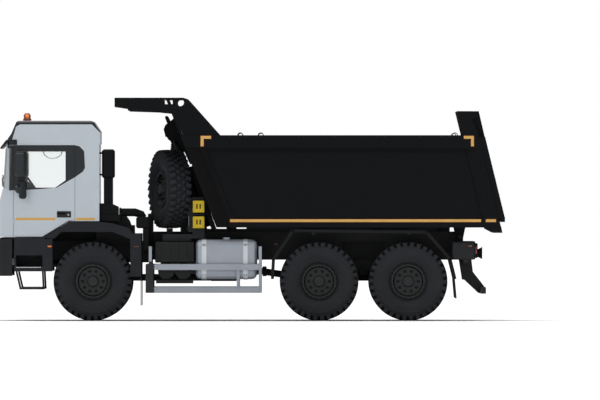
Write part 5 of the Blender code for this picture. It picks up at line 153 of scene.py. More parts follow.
wire(floor_tree, shade, "Color", floor_shader, "Base Color")
floor_mesh.materials.append(floor_white)

sky_panel_data = bpy.data.lights.new("sky_panel", "SUN")
sky_panel_data.energy = 3.1
sky_panel_data.angle = math.radians(85.0)
sky_panel = stand("sky_panel", sky_panel_data)
sky_panel.rotation_euler = (math.radians(-14.0), math.radians(-8.0), 0.0)
for lamp_name, place, aim, size, power in (
    ("left_softbox", (-9.0, -13.0, 7.0), (0.0, 0.0, 1.5), 7.0, 420.0),
    ("right_softbox", (10.0, -13.0, 6.0), (0.5, 0.0, 1.5), 7.0, 260.0),
    ("back_softbox", (0.0, 14.0, 8.0), (0.0, 0.0, 1.5), 8.0, 300.0),
):
    lamp_data = bpy.data.lights.new(lamp_name, "AREA")
    lamp_data.shape = "SQUARE"
    lamp_data.size = size
    lamp_data.energy = power
    lamp = stand(lamp_name, lamp_data)
    lamp.location = place
    direction = Vector(aim) - Vector(place)
    lamp.rotation_euler = direction.to_track_quat("-Z", "Y").to_euler()


# Frame, subframe and axles
# Welded channel rails, cross members and castings, sprayed one satin black and dulled by road
# dust, which is thickest near the ground. The dust group is shared by every outdoor finish.
def socket(group, name, way, kind="NodeSocketFloat", value=None):
    made = group.interface.new_socket(name=name, in_out=way, socket_type=kind)
    if value is not None:
        made.default_value = value
    return made


def calculate(tree, operation, first, second, clamp=False):
    node = place_node(tree, "ShaderNodeMath", operation=operation, use_clamp=clamp)
    for number, value in enumerate((first, second)):
        if isinstance(value, tuple):
            wire_from, name = value
            tree.links.new(wire_from.outputs[name], node.inputs[number])
        else:
            node.inputs[number].default_value = value
    return node, "Value"


road_dust = bpy.data.node_groups.new("road_dust", "ShaderNodeTree")
socket(road_dust, "Finish", "INPUT", "NodeSocketColor", (0.03, 0.03, 0.03, 1))
socket(road_dust, "Dust", "INPUT", "NodeSocketColor", (0.105, 0.103, 0.098, 1))
socket(road_dust, "Amount", "INPUT", value=0.3)
socket(road_dust, "Reach", "INPUT", value=1.6)
socket(road_dust, "Grain", "INPUT", value=60.0)
socket(road_dust, "Roughness", "INPUT", value=0.5)
socket(road_dust, "Mottle", "INPUT", value=0.08)
socket(road_dust, "Color", "OUTPUT", "NodeSocketColor")
socket(road_dust, "Roughness", "OUTPUT")
socket(road_dust, "Height", "OUTPUT")
g_in = place_node(road_dust, "NodeGroupInput")
g_out = place_node(road_dust, "NodeGroupOutput")
spot = place_node(road_dust, "ShaderNodeTexCoord")
heights = place_node(road_dust, "ShaderNodeSeparateXYZ")
wire(road_dust, spot, "Object", heights, "Vector")
patches = place_node(road_dust, "ShaderNodeTexNoise")
settle(patches, {"Scale": 3.1, "Detail": 6.0, "Roughness": 0.62})
wire(road_dust, spot, "Object", patches, "Vector")
grain = place_node(road_dust, "ShaderNodeTexNoise")
settle(grain, {"Detail": 3.0})
wire(road_dust, spot, "Object", grain, "Vector")
wire(road_dust, g_in, "Grain", grain, "Scale")
low_share = calculate(road_dust, "DIVIDE", (heights, "Z"), (g_in, "Reach"))
low_share = calculate(road_dust, "SUBTRACT", 1.0, low_share, clamp=True)
patchy = calculate(road_dust, "MULTIPLY", (patches, "Fac"), 1.5)
lying = calculate(road_dust, "MULTIPLY", low_share, patchy)
thin_film = calculate(road_dust, "MULTIPLY", (grain, "Fac"), 0.16)
dusty = calculate(road_dust, "ADD", lying, thin_film)
dusty = calculate(road_dust, "MULTIPLY", dusty, (g_in, "Amount"), clamp=True)
mottled = place_node(road_dust, "ShaderNodeHueSaturation")
lightness = calculate(road_dust, "SUBTRACT", (patches, "Fac"), 0.5)
lightness = calculate(road_dust, "MULTIPLY", lightness, (g_in, "Mottle"))
lightness = calculate(road_dust, "MULTIPLY", lightness, 4.0)
lightness = calculate(road_dust, "ADD", lightness, 1.0)
wire(road_dust, *lightness, mottled, "Value")
wire(road_dust, g_in, "Finish", mottled, "Color")
layered = place_node(road_dust, "ShaderNodeMix", data_type="RGBA")
wire(road_dust, *dusty, layered, "Factor")
wire(road_dust, mottled, "Color", layered, 6)
wire(road_dust, g_in, "Dust", layered, 7)
wire(road_dust, layered, 2, g_out, "Color")
duller = calculate(road_dust, "MULTIPLY", dusty, 0.4)
streaked = calculate(road_dust, "MULTIPLY", (grain, "Fac"), 0.12)
rough = calculate(road_dust, "ADD", (g_in, "Roughness"), duller)
rough = calculate(road_dust, "ADD", rough, streaked)
rough = calculate(road_dust, "SUBTRACT", rough, 0.06, clamp=True)
wire(road_dust, *rough, g_out, "Roughness")
wire(road_dust, grain, "Fac", g_out, "Height")
DUSTINESS = 0.45


def outdoor_finish(name, colour, roughness, metallic=0.0, dust=0.3, reach=1.6, grain_scale=60.0,
                   bump=0.05, mottle=0.08, coat=0.0, specular=0.2):
    """A Principled finish under the shared road dust."""
    made, tree, shader = new_material(name)
    layer = place_node(tree, "ShaderNodeGroup", node_tree=road_dust, name="dust_layer")
    settle(layer, {"Finish": (*colour, 1.0), "Amount": dust * DUSTINESS, "Reach": reach,
                   "Grain": grain_scale, "Roughness": roughness, "Mottle": mottle})
    wire(tree, layer, "Color", shader, "Base Color")
    wire(tree, layer, "Roughness", shader, "Roughness")
    relief = place_node(tree, "ShaderNodeBump")
    settle(relief, {"Strength": bump, "Distance": 0.002})
    wire(tree, layer, "Height", relief, "Height")
    wire(tree, relief, "Normal", shader, "Normal")
    settle(shader, {"Metallic": metallic, "Coat Weight": coat, "Coat Roughness": 0.12,
                    "Specular IOR Level": specular})
    return made


def coat_nodes(material, *names):
    for name in names:
        nodes[name].data.materials.clear()
        nodes[name].data.materials.append(material)


frame_black = outdoor_finish("frame_black", (0.010, 0.011, 0.013), 0.50, dust=0.28)
cast_black = outdoor_finish("cast_black", (0.008, 0.009, 0.010), 0.62, 0.3, dust=0.34,
                            grain_scale=140.0, bump=0.25)
coat_nodes(frame_black, "frame_rails", "subframe", "spare_carrier", "tail_beam")
coat_nodes(cast_black, "front_axle", "rear_axle_1", "rear_axle_2", "bogie_springs", "engine",
           "transmission", "tow_hitch", "knuckle_left", "knuckle_right")


# Tyres
# Wide off-road tyres of black rubber: a ribbed bead and a bulged side wall, two staggered rows
# of deep shoulder lugs with blocks between them, and a short bar on the wall below each gap.
TYRE_AXLE_Z = 0.63109
TREAD_RADIUS = 0.6305
TYRE_STEPS = 102
LUGS = 34
LUG_FOOT_RADIUS = 0.536
LUG_LENGTH, LUG_WIDTH, LUG_Y, LUG_SKEW = 0.066, 0.096, 0.128, math.radians(14.0)
SHOULDER_Y, SHOULDER_SLOPE = 0.140, 0.32
BLOCK_SIZE, BLOCK_Y, BLOCK_DEPTH = (0.050, 0.062, 0.034), 0.040, 0.0172
BLOCK_SKEW = math.radians(-20.0)
BAR_SIZE, BAR_Y, BAR_RADIUS = (0.020, 0.010, 0.052), 0.1765, 0.532
MERGE_DISTANCE = 0.0002
SIDE_WALL = (
    (0.000, 0.3035), (0.118, 0.3035), (0.1325, 0.3035), (0.1400, 0.314), (0.1440, 0.330),
    (0.1500, 0.334), (0.1530, 0.345), (0.1590, 0.352), (0.1660, 0.372), (0.1740, 0.398),
    (0.1785, 0.404), (0.1800, 0.412), (0.1845, 0.432), (0.1868, 0.462), (0.1860, 0.492),
    (0.1880, 0.497), (0.1880, 0.506), (0.1845, 0.512), (0.1800, 0.530), (0.1730, 0.548),
    (0.1600, 0.560), (0.1400, 0.578), (0.0800, 0.590), (0.000, 0.591),
)
tyre_rubber = outdoor_finish("tyre_rubber", (0.013, 0.0145, 0.018), 0.74, dust=0.19, reach=2.6,
                             grain_scale=220.0, bump=0.35, mottle=0.12, specular=0.2)


def new_piece(name, shape, material, body, smooth_angle=32.0):
    """A finished mesh with its finish, riding on a body."""
    mesh = bpy.data.meshes.new(name)
    shape.to_mesh(mesh)
    shape.free()
    mesh.shade_smooth()
    mesh.set_sharp_from_angle(angle=math.radians(smooth_angle))
    piece = stand(name, mesh)
    mesh.materials.append(material)
    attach(piece, body)
    return piece


def add_block(shape, size, place, turn=None, bevel=0.0, segments=1):
    """A block with rounded edges, turned about its middle and then placed."""
    made = bmesh.ops.create_cube(shape, size=1.0)["verts"]
    bmesh.ops.scale(shape, vec=size, verts=made)
    if bevel:
        edges = list({edge for vert in made for edge in vert.link_edges})
        made = bmesh.ops.bevel(shape, geom=edges, offset=bevel, offset_type="OFFSET",
                               segments=segments, profile=0.5, affect="EDGES",
                               material=-1)["verts"]
        made = list(shape_island(made))
    if turn is not None:
        bmesh.ops.transform(shape, matrix=turn, verts=made)
    bmesh.ops.translate(shape, vec=place, verts=made)
    return made


def shape_island(verts):
    """Every vertex joined to these ones."""
    found = set(verts)
    waiting = list(verts)
    while waiting:
        for edge in waiting.pop().link_edges:
            for vert in edge.verts:
                if vert not in found:
                    found.add(vert)
                    waiting.append(vert)
    return found


def spun(shape, profile, axis, steps):
    """Turn an open profile of points about an axis through the origin."""
    verts = [shape.verts.new(point) for point in profile]
    edges = [shape.edges.new(pair) for pair in zip(verts, verts[1:])]
    bmesh.ops.spin(shape, geom=verts + edges, cent=(0, 0, 0), axis=axis, dvec=(0, 0, 0),
                   angle=2.0 * math.pi, steps=steps, use_merge=True, use_duplicate=False)
    return verts


def tyre_mesh_shape():
    """One tyre about Y at the origin: the turned casing, then the tread of both rows."""
    shape = bmesh.new()
    wall = [(0.0, side, radius) for side, radius in SIDE_WALL]
    far = [(0.0, -side, radius) for side, radius in SIDE_WALL[-2:0:-1]]
    spun(shape, [Vector(p) for p in wall + far + [wall[0]]], (0, 1, 0), TYRE_STEPS)
    bmesh.ops.remove_doubles(shape, verts=shape.verts, dist=MERGE_DISTANCE)
    bmesh.ops.recalc_face_normals(shape, faces=shape.faces)
    pitch = 2.0 * math.pi / LUGS
    height = TREAD_RADIUS - LUG_FOOT_RADIUS
    for row, sign in enumerate((-1.0, 1.0)):
        for number in range(LUGS):
            angle = (number + 0.5 * row) * pitch
            at_lug = Matrix.Rotation(angle, 4, "Y")
            at_gap = Matrix.Rotation(angle + pitch / 2.0, 4, "Y")
            made = add_block(shape, (LUG_LENGTH, LUG_WIDTH, height),
                             (0.0, sign * LUG_Y, TREAD_RADIUS - height / 2.0),
                             Matrix.Rotation(sign * LUG_SKEW, 4, "Z"), 0.007)
            for vert in made:
                drop = max(0.0, abs(vert.co.y) - SHOULDER_Y)
                vert.co.z -= drop * SHOULDER_SLOPE + (vert.co.x ** 2) / (2.0 * TREAD_RADIUS)
            bmesh.ops.transform(shape, matrix=at_lug, verts=made)
            made = add_block(shape, BLOCK_SIZE, (0.0, sign * BLOCK_Y, TREAD_RADIUS - BLOCK_DEPTH),
                             Matrix.Rotation(sign * BLOCK_SKEW, 4, "Z"), 0.005)
            bmesh.ops.transform(shape, matrix=at_gap, verts=made)
            made = add_block(shape, BAR_SIZE, (0.0, sign * BAR_Y, BAR_RADIUS), None, 0.003)
            bmesh.ops.transform(shape, matrix=at_gap, verts=made)
    return shape


def turned(degrees, axis):
    return Matrix.Rotation(math.radians(degrees), 4, axis)


def wheel_copy(pattern, place, turn):
    """A copy of a wheel's pattern, turned about Z and set at its axle's end."""
    copy = pattern.copy()
    bmesh.ops.transform(copy, matrix=Matrix.Translation(place)
                        @ turned(turn, "Z"), verts=copy.verts)
    return copy


WHEEL_Y = 1.025
AXLES = (("front", -2.500), ("rear_1", 1.121), ("rear_2", 2.546))
WHEELS = [
    (f"{axle}_{side}", f"wheel_{axle}_{side}", (x, sign * WHEEL_Y, TYRE_AXLE_Z),
     0.0 if sign > 0.0 else 180.0)
    for axle, x in AXLES
    for side, sign in (("left", -1.0), ("right", 1.0))
]
SPARE_PLACE, SPARE_TURN = (-1.274, -0.580, 2.109), 108.0
WHEELS.append(("spare", "chassis", SPARE_PLACE, SPARE_TURN))
tyre_pattern = tyre_mesh_shape()
for wheel, body, place, turn in WHEELS:
    cad_tyre = "spare_tyre" if wheel == "spare" else f"tyre_{wheel}"
    piece = new_piece(f"{wheel}_tyre_tread", wheel_copy(tyre_pattern, place, turn), tyre_rubber,
                      body)
    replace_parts(piece, cad_tyre)
tyre_pattern.free()


# Wheel hubs
# Steel disc wheels sprayed dark grey. Ten wheel nuts with washers and studs stand on the disc,
# small screws hold the hub cover and the rim's edge, and two dark rings line well and flange.
wheel_grey = outdoor_finish("wheel_grey", (0.019, 0.0215, 0.0225), 0.48, 0.1, dust=0.22, reach=2.4,
                            grain_scale=90.0)
nut_black = outdoor_finish("nut_black", (0.003, 0.003, 0.0035), 0.55, 0.2, dust=0.05)
nut_grey = outdoor_finish("nut_grey", (0.050, 0.054, 0.056), 0.38, 0.5, dust=0.30, reach=2.4)
coat_nodes(wheel_grey, "rim_front_left", "rim_front_right", "rim_rear_1_left",
           "rim_rear_1_right", "rim_rear_2_left", "rim_rear_2_right", "spare_rim")
NUT_STACK = ((0.0235, 0.004, 0.0015, 18), (0.0145, 0.026, 0.015, 6), (0.0075, 0.014, 0.034, 10))
NUTS, NUT_CIRCLE, DISC_Y = 10, 0.165, 0.100
COVER_SCREWS = (8, 0.060, 0.1745, 0.0065)
EDGE_SCREWS = (20, 0.270, 0.1505, 0.0070)
SCREW_HEIGHT = 0.010
DARK_RINGS = (((0.1012, 0.2245), (0.1035, 0.2238), (0.1515, 0.2452), (0.1490, 0.2465)),
              ((0.1450, 0.2485), (0.1482, 0.2500), (0.1470, 0.3030), (0.1436, 0.3030)))


def add_cone(shape, sides, wide, narrow, length):
    """A cone's stump about Z at the origin."""
    return bmesh.ops.create_cone(shape, cap_ends=True, segments=sides, radius1=wide,
                                 radius2=narrow, depth=length)["verts"]


def add_nut(shape, radius, height, place, sides=6):
    made = add_cone(shape, sides, radius, radius * 0.92, height)
    at_place = Matrix.Translation(place) @ turned(-90.0, "X")
    bmesh.ops.transform(shape, matrix=at_place, verts=made)


def ring_places(count, circle, y):
    """Places spread evenly on a circle about the wheel's axle."""
    for number in range(count):
        angle = 2.0 * math.pi * number / count
        yield Vector((circle * math.cos(angle), y, circle * math.sin(angle)))


hub_pattern = bmesh.new()
well_pattern = bmesh.new()
for place in ring_places(NUTS, NUT_CIRCLE, DISC_Y):
    for radius, height, rise, sides in NUT_STACK:
        add_nut(well_pattern, radius, height, place + Vector((0, rise, 0)), sides)
for ring in DARK_RINGS:
    corners = [Vector((0.0, side, radius)) for side, radius in ring + ring[:1]]
    spun(well_pattern, corners, (0, 1, 0), 48)
bmesh.ops.remove_doubles(well_pattern, verts=well_pattern.verts, dist=MERGE_DISTANCE)
bmesh.ops.recalc_face_normals(well_pattern, faces=well_pattern.faces)
for count, circle, y, radius in (COVER_SCREWS, EDGE_SCREWS):
    for place in ring_places(count, circle, y):
        add_nut(hub_pattern, radius, SCREW_HEIGHT, place)
for wheel, body, place, turn in WHEELS:
    new_piece(f"{wheel}_hub_screws", wheel_copy(hub_pattern, place, turn), nut_grey, body)
    new_piece(f"{wheel}_wheel_nuts", wheel_copy(well_pattern, place, turn), nut_black, body)
hub_pattern.free()
well_pattern.free()


# Hoist
# A telescopic hydraulic ram: a sprayed barrel and three hard-chromed stages with a fine ground
# grain. Their heads, which stand out of the barrel when the bed is down, are sprayed black.
box_mask = bpy.data.node_groups.new("box_mask", "ShaderNodeTree")
socket(box_mask, "Low", "INPUT", "NodeSocketVector", (-1, -1, -1))
socket(box_mask, "High", "INPUT", "NodeSocketVector", (1, 1, 1))
socket(box_mask, "Mask", "OUTPUT")
mask_in = place_node(box_mask, "NodeGroupInput")
mask_out = place_node(box_mask, "NodeGroupOutput")
mask_spot = place_node(box_mask, "ShaderNodeTexCoord")
above = place_node(box_mask, "ShaderNodeVectorMath", operation="SUBTRACT")
below = place_node(box_mask, "ShaderNodeVectorMath", operation="SUBTRACT")
wire(box_mask, mask_spot, "Object", above, 0)
wire(box_mask, mask_in, "Low", above, 1)
wire(box_mask, mask_in, "High", below, 0)
wire(box_mask, mask_spot, "Object", below, 1)
nearest = place_node(box_mask, "ShaderNodeVectorMath", operation="MINIMUM")
wire(box_mask, above, 0, nearest, 0)
wire(box_mask, below, 0, nearest, 1)
three = place_node(box_mask, "ShaderNodeSeparateXYZ")
wire(box_mask, nearest, 0, three, 0)
least = calculate(box_mask, "MINIMUM", (three, "X"), (three, "Y"))
least = calculate(box_mask, "MINIMUM", least, (three, "Z"))
inside = calculate(box_mask, "GREATER_THAN", least, 0.0)
wire(box_mask, *inside, mask_out, "Mask")


def boxes_in(tree, boxes):
    """The joined mask of several boxes, each a low and a high corner."""
    joined = None
    for low, high in boxes:
        mask = place_node(tree, "ShaderNodeGroup", node_tree=box_mask)
        settle(mask, {"Low": low, "High": high})
        joined = (mask, "Mask") if joined is None else calculate(tree, "MAXIMUM", joined,
                                                                 (mask, "Mask"))
    return joined


def mix_finish(material, mask, colour, roughness=None):
    """Change the finish's colour where a mask is 1, under its dust."""
    tree = material.node_tree
    layer = tree.nodes["dust_layer"]
    mixed = place_node(tree, "ShaderNodeMix", data_type="RGBA")
    wire(tree, *mask, mixed, "Factor")
    earlier = layer.inputs["Finish"].links
    if earlier:
        tree.links.new(earlier[0].from_socket, mixed.inputs[6])
    else:
        mixed.inputs[6].default_value = layer.inputs["Finish"].default_value
    mixed.inputs[7].default_value = (*colour, 1.0)
    wire(tree, mixed, 2, layer, "Finish")
    if roughness is not None:
        level = place_node(tree, "ShaderNodeMix", data_type="FLOAT")
        wire(tree, *mask, level, "Factor")
        level.inputs[2].default_value = layer.inputs["Roughness"].default_value
        level.inputs[3].default_value = roughness
        if layer.inputs["Roughness"].links:
            tree.links.new(layer.inputs["Roughness"].links[0].from_socket, level.inputs[2])
        wire(tree, level, 0, layer, "Roughness")


def mix_boxes(material, boxes, colour, roughness=None):
    mix_finish(material, boxes_in(material.node_tree, boxes), colour, roughness)


HEAD_BOX = ((-2, -1, 2.74), (0, 1, 4))
hoist_black = outdoor_finish("hoist_black", (0.018, 0.019, 0.021), 0.45, 0.1, dust=0.22)
chromed_steel = outdoor_finish("chromed_steel", (0.55, 0.57, 0.60), 0.16, 1.0, dust=0.05,
                               grain_scale=400.0, bump=0.02, mottle=0.02)
chrome_tree = chromed_steel.node_tree
painted_head = boxes_in(chrome_tree, [HEAD_BOX])
mix_finish(chromed_steel, painted_head, (0.012, 0.012, 0.013))
bare_chrome = calculate(chrome_tree, "SUBTRACT", 1.0, painted_head)
wire(chrome_tree, *bare_chrome, chrome_tree.nodes["Principled BSDF"], "Metallic")
coat_nodes(hoist_black, "hoist_barrel")
coat_nodes(chromed_steel, "hoist_stage_1", "hoist_stage_2", "hoist_stage_3")


# Fuel tank
# A folded aluminium tank under two straps of lighter steel. Each strap has a buckle near its
# top and two bolts at its foot.
tank_alloy = outdoor_finish("tank_alloy", (0.34, 0.37, 0.42), 0.42, 0.35, dust=0.14,
                            grain_scale=160.0, bump=0.04)
TANK_STRAPS = ((photo_x(201.6), photo_x(206.4)), (photo_x(243.2), photo_x(247.6)))
STRAP_BOLT_INSET, STRAP_BOLT_Z, BUCKLE_Z = 0.018, 0.735, 1.215
mix_boxes(tank_alloy, [((x0, -1.3, 0.5), (x1, -0.4, 1.4)) for x0, x1 in TANK_STRAPS],
          (0.62, 0.65, 0.69))
coat_nodes(tank_alloy, "fuel_tank")


def add_bolt(shape, place, axis, radius=0.011, length=0.009):
    """A washer and a hexagon head standing along an axis."""
    lean = Vector(axis).normalized()
    turn = lean.to_track_quat("Z", "Y").to_matrix().to_4x4()
    for size, depth, rise, sides in ((radius * 1.45, 0.003, 0.0015, 14),
                                     (radius, length, 0.003 + length / 2.0, 6)):
        made = add_cone(shape, sides, size, size * 0.94, depth)
        bmesh.ops.transform(shape, matrix=Matrix.Translation(Vector(place) + lean * rise) @ turn,
                            verts=made)


zinc = outdoor_finish("zinc_plate", (0.32, 0.33, 0.34), 0.34, 0.8, dust=0.15, grain_scale=240.0)
tank_bolts = bmesh.new()
for x0, x1 in TANK_STRAPS:
    for x in (x0 + STRAP_BOLT_INSET, x1 - STRAP_BOLT_INSET):
        add_bolt(tank_bolts, (x, -1.171, STRAP_BOLT_Z), (0, -1, 0), 0.009)
    add_block(tank_bolts, (0.050, 0.020, 0.030), ((x0 + x1) / 2.0, -1.176, BUCKLE_Z), None, 0.004)
new_piece("tank_strap_bolts", tank_bolts, zinc, "chassis")


# Battery box and air tanks
# A grained black box with air tanks below it, all one finish. Its side carries four moulded
# ribs and two latches.
box_black = outdoor_finish("box_black", (0.006, 0.0068, 0.0075), 0.48, dust=0.14,
                           grain_scale=320.0, bump=0.22)
coat_nodes(box_black, "battery_box")
BOX_X0, BOX_X1 = -1.504, -0.880
RIBS, FIRST_RIB, RIB_PITCH = 4, 0.115, 0.132
lid = bmesh.new()
for number in range(RIBS):
    x = BOX_X0 + FIRST_RIB + number * RIB_PITCH
    add_block(lid, (0.020, 0.008, 0.235), (x, -1.1715, 1.115), None, 0.003)
for x in (BOX_X0 + 0.060, BOX_X1 - 0.060):
    add_block(lid, (0.034, 0.012, 0.085), (x, -1.174, 1.010), None, 0.004)
    add_block(lid, (0.024, 0.016, 0.018), (x, -1.181, 0.975), None, 0.004)
new_piece("battery_lid_ribs", lid, box_black, "chassis")


# Rest strips
# Steel strips on the subframe that the bed's bearers come down on: a long one behind and a
# short one in front, on both sides.
STRIP_Y, STRIP_WIDTH = 0.326, 0.045
rest_strips = bmesh.new()
for sign in (-1.0, 1.0):
    for x, length, z, height in ((1.580, 3.250, 1.4520, 0.092), (-0.375, 0.660, 1.4490, 0.044)):
        add_block(rest_strips, (length, STRIP_WIDTH, height), (x, sign * STRIP_Y, z), None,
                  0.006, 2)
new_piece("bed_rest_strips", rest_strips, frame_black, "chassis")


# Silencer
# An aluminised steel box on the right, stained by heat, with two rolled seams and four bolts
# on its outer face.
heat_steel = outdoor_finish("aluminised_steel", (0.20, 0.19, 0.18), 0.45, 0.7, dust=0.25,
                            grain_scale=120.0, mottle=0.25)
coat_nodes(heat_steel, "silencer")
seams = bmesh.new()
for x in (-1.365, -0.595):
    add_block(seams, (0.014, 0.012, 0.440), (x, 1.1705, 0.980), None, 0.003)
for x in (-1.20, -0.77):
    for z in (0.83, 1.13):
        add_bolt(seams, (x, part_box("silencer")[1].y, z), (0, 1, 0))
new_piece("silencer_seams", seams, heat_steel, "chassis")


# Side guards
# Alloy planks with rivets near both ends. The front end of each is coloured dark, as the
# photo's end caps are.
guard_alloy = outdoor_finish("guard_alloy", (0.345, 0.375, 0.425), 0.40, 0.35, dust=0.12,
                             grain_scale=200.0, bump=0.05)
GUARD_X0 = -1.552
mix_boxes(guard_alloy, [((GUARD_X0 - 0.14, -1.3, 0.40), (GUARD_X0 + 0.040, -1.0, 0.95)),
                        ((GUARD_X0 - 0.14, 1.0, 0.40), (GUARD_X0 + 0.040, 1.3, 0.95))],
          (0.026, 0.027, 0.029))
coat_nodes(guard_alloy, "side_guard_left", "side_guard_right")
rivets = bmesh.new()
for sign in (-1.0, 1.0):
    for x in (GUARD_X0 + 0.035, GUARD_X0 + 0.075, 0.150, 0.182):
        for z in (0.470, 0.515, 0.840, 0.882):
            add_bolt(rivets, (x, sign * 1.225, z), (0, sign, 0), 0.006, 0.004)
new_piece("guard_rivets", rivets, zinc, "chassis")


# Front mudguards and steps
# Grained dark plastic mouldings. The steps have studded aluminium treads and a bright nosing
# each side, and rubber seals close the joints to the cab above.
grained_plastic = outdoor_finish("grained_plastic", (0.008, 0.0100, 0.0135), 0.55, dust=0.17,
                                 grain_scale=420.0, bump=0.30)
coat_nodes(grained_plastic, "front_mudguard_left", "front_mudguard_right",
           "rear_mudguard_left", "rear_mudguard_right")
tread_alloy = outdoor_finish("tread_alloy", (0.16, 0.165, 0.17), 0.40, 0.7, dust=0.30)
STUD_COLUMNS, STUD_PITCH_Y, STEP_EDGE_Y = 11, 0.045, 1.225
treads = bmesh.new()
for sign in (-1.0, 1.0):
    for x0, x1, z, y0 in ((-3.725, -3.310, 0.857, 0.86), (-3.640, -3.320, 0.532, 1.10)):
        for column in range(STUD_COLUMNS):
            x = x0 + (x1 - x0) * column / (STUD_COLUMNS - 1)
            y = y0
            while y < STEP_EDGE_Y:
                made = add_cone(treads, 8, 0.009, 0.006, 0.006)
                bmesh.ops.translate(treads, vec=(x, sign * y, z + 0.0025), verts=made)
                y += STUD_PITCH_Y
new_piece("step_tread_studs", treads, tread_alloy, "chassis")
nosing_alloy = outdoor_finish("nosing_alloy", (0.42, 0.43, 0.45), 0.40, 0.5, dust=0.12)
nosings = bmesh.new()
for sign in (-1.0, 1.0):
    add_block(nosings, (0.400, 0.008, 0.014), (photo_x(28.6), sign * 1.250, photo_z(267.4)), None,
              0.002)
new_piece("step_nosings", nosings, nosing_alloy, "chassis")
seal_rubber = outdoor_finish("seal_rubber", (0.007, 0.007, 0.008), 0.80, dust=0.10,
                             grain_scale=260.0, bump=0.3)
seals = bmesh.new()
for sign in (-1.0, 1.0):
    add_block(seals, (0.500, 0.230, 0.0095), (-2.640, sign * 1.125, 1.5896), None, 0.002)
    add_block(seals, (0.225, 0.560, 0.0300), (-3.872, sign * 0.930, 1.3190), None, 0.004)
new_piece("mudguard_seals", seals, seal_rubber, "chassis")


# Air intake and snorkel
# Dull black mouldings behind the cab. A bracket fills the space under the intake, and a skirt
# closes the joint at the snorkel's foot.
intake_black = outdoor_finish("intake_black", (0.003, 0.0035, 0.0040), 0.55, dust=0.06,
                              grain_scale=420.0, bump=0.25, specular=0.1)
coat_nodes(intake_black, "air_intake", "snorkel")


def add_plate(shape, points, low_y, high_y):
    """A flat plate cut to an outline of photo points, lying in the plane of the picture."""
    corners = [shape.verts.new((photo_x(px), low_y, photo_z(py))) for px, py in points]
    face = shape.faces.new(corners)
    grown = bmesh.ops.extrude_face_region(shape, geom=[face])["geom"]
    moved = [part for part in grown if isinstance(part, bmesh.types.BMVert)]
    bmesh.ops.translate(shape, vec=(0.0, high_y - low_y, 0.0), verts=moved)
    bmesh.ops.recalc_face_normals(shape, faces=shape.faces)


INTAKE_SEAT = ((99.8, 221.2), (119.6, 221.2), (119.6, 207.6), (121.0, 207.6), (121.5, 216.0),
               (126.5, 216.0), (130.0, 221.0), (133.5, 231.0), (122.0, 231.0), (99.8, 225.0))
intake_seat = bmesh.new()
add_plate(intake_seat, INTAKE_SEAT, -1.060, -0.900)
add_block(intake_seat, (0.090, 0.060, 0.460), (photo_x(150.45), -0.720, photo_z(228.0)), None,
          0.008)
add_block(intake_seat, (0.075, 0.310, 0.050), (photo_x(150.9), -0.585, 1.255), None, 0.008)
new_piece("intake_seat", intake_seat, intake_black, "chassis")
snorkel_skirt = bmesh.new()
add_block(snorkel_skirt, (0.332, 0.008, 0.110), (-2.231, -1.146, 1.6455), None, 0.002)
new_piece("snorkel_skirt", snorkel_skirt, intake_black, "cab")


# Marker lamps and reflectors
# An amber lamp stands on each front mudguard and two unlit amber reflectors further back on each
# side, all on black bases. A row of three small squares marks each front mudguard's rear leg.
def lens_finish(name, colour, glow=0.0):
    """Lamp plastic under a clear coat, glowing faintly if asked to."""
    made = outdoor_finish(name, colour, 0.18, dust=0.08, reach=1.0, grain_scale=30.0, bump=0.02,
                          coat=0.6)
    shader = made.node_tree.nodes["Principled BSDF"]
    if glow:
        wire(made.node_tree, made.node_tree.nodes["dust_layer"], "Color", shader,
             "Emission Color")
        shader.inputs["Emission Strength"].default_value = glow
    return made


amber_lens = lens_finish("amber_lens", (0.50, 0.12, 0.012), 0.12)
red_lens = lens_finish("red_lens", (0.45, 0.015, 0.012))
clear_lens = lens_finish("clear_lens", (0.55, 0.57, 0.60))
unlit_amber = lens_finish("unlit_amber", (0.16, 0.055, 0.020))
marker_lamps = bmesh.new()
marker_bases = bmesh.new()
side_reflectors = bmesh.new()
for sign in (-1.0, 1.0):
    for lenses, x, z, y in ((marker_lamps, photo_x(49.7), photo_z(246.4), 1.246),
                            (side_reflectors, photo_x(276.0), photo_z(244.0), 0.432),
                            (side_reflectors, photo_x(470.0), photo_z(246.0), 1.182)):
        add_block(marker_bases, (0.084, 0.010, 0.046), (x, sign * (y + 0.002), z), None, 0.004, 2)
        add_block(lenses, (0.062, 0.018, 0.028), (x, sign * (y + 0.010), z), None, 0.005, 2)
new_piece("marker_lamp_lenses", marker_lamps, amber_lens, "chassis")
new_piece("side_reflectors", side_reflectors, unlit_amber, "chassis")
new_piece("marker_lamp_bases", marker_bases, box_black, "chassis")
leg_reflectors = bmesh.new()
for sign in (-1.0, 1.0):
    for offset in (-0.026, 0.0, 0.026):
        add_block(leg_reflectors, (0.018, 0.006, 0.018),
                  (photo_x(136.2) + offset, sign * 1.247, photo_z(246.6)), None, 0.002)
new_piece("leg_reflectors", leg_reflectors, unlit_amber, "chassis")


# Rear mudguards
# Folded guards over the bogie's wheels, in the front guards' grained plastic, with a rubber
# bead pushed on along each outer edge.
MUDGUARD_LINE = ((-1.000, 0.000), (-0.990, 0.390), (-0.775, 1.000), (0.690, 0.970),
                 (0.950, 0.390), (1.000, 0.000))
guard_points = [Vector((1.8335 + x * 1.460, 0.0, 0.685 + z * 0.760)) for x, z in MUDGUARD_LINE]
edge_beads = bmesh.new()
for sign in (-1.0, 1.0):
    for start, end in zip(guard_points, guard_points[1:]):
        run = end - start
        middle = (start + end) / 2.0
        add_block(edge_beads, (0.046, 0.020, run.length + 0.036),
                  (middle.x, sign * 1.236, middle.z),
                  Matrix.Rotation(math.atan2(run.x, run.z), 4, "Y"), 0.006, 2)
new_piece("mudguard_edge_beads", edge_beads, seal_rubber, "chassis")


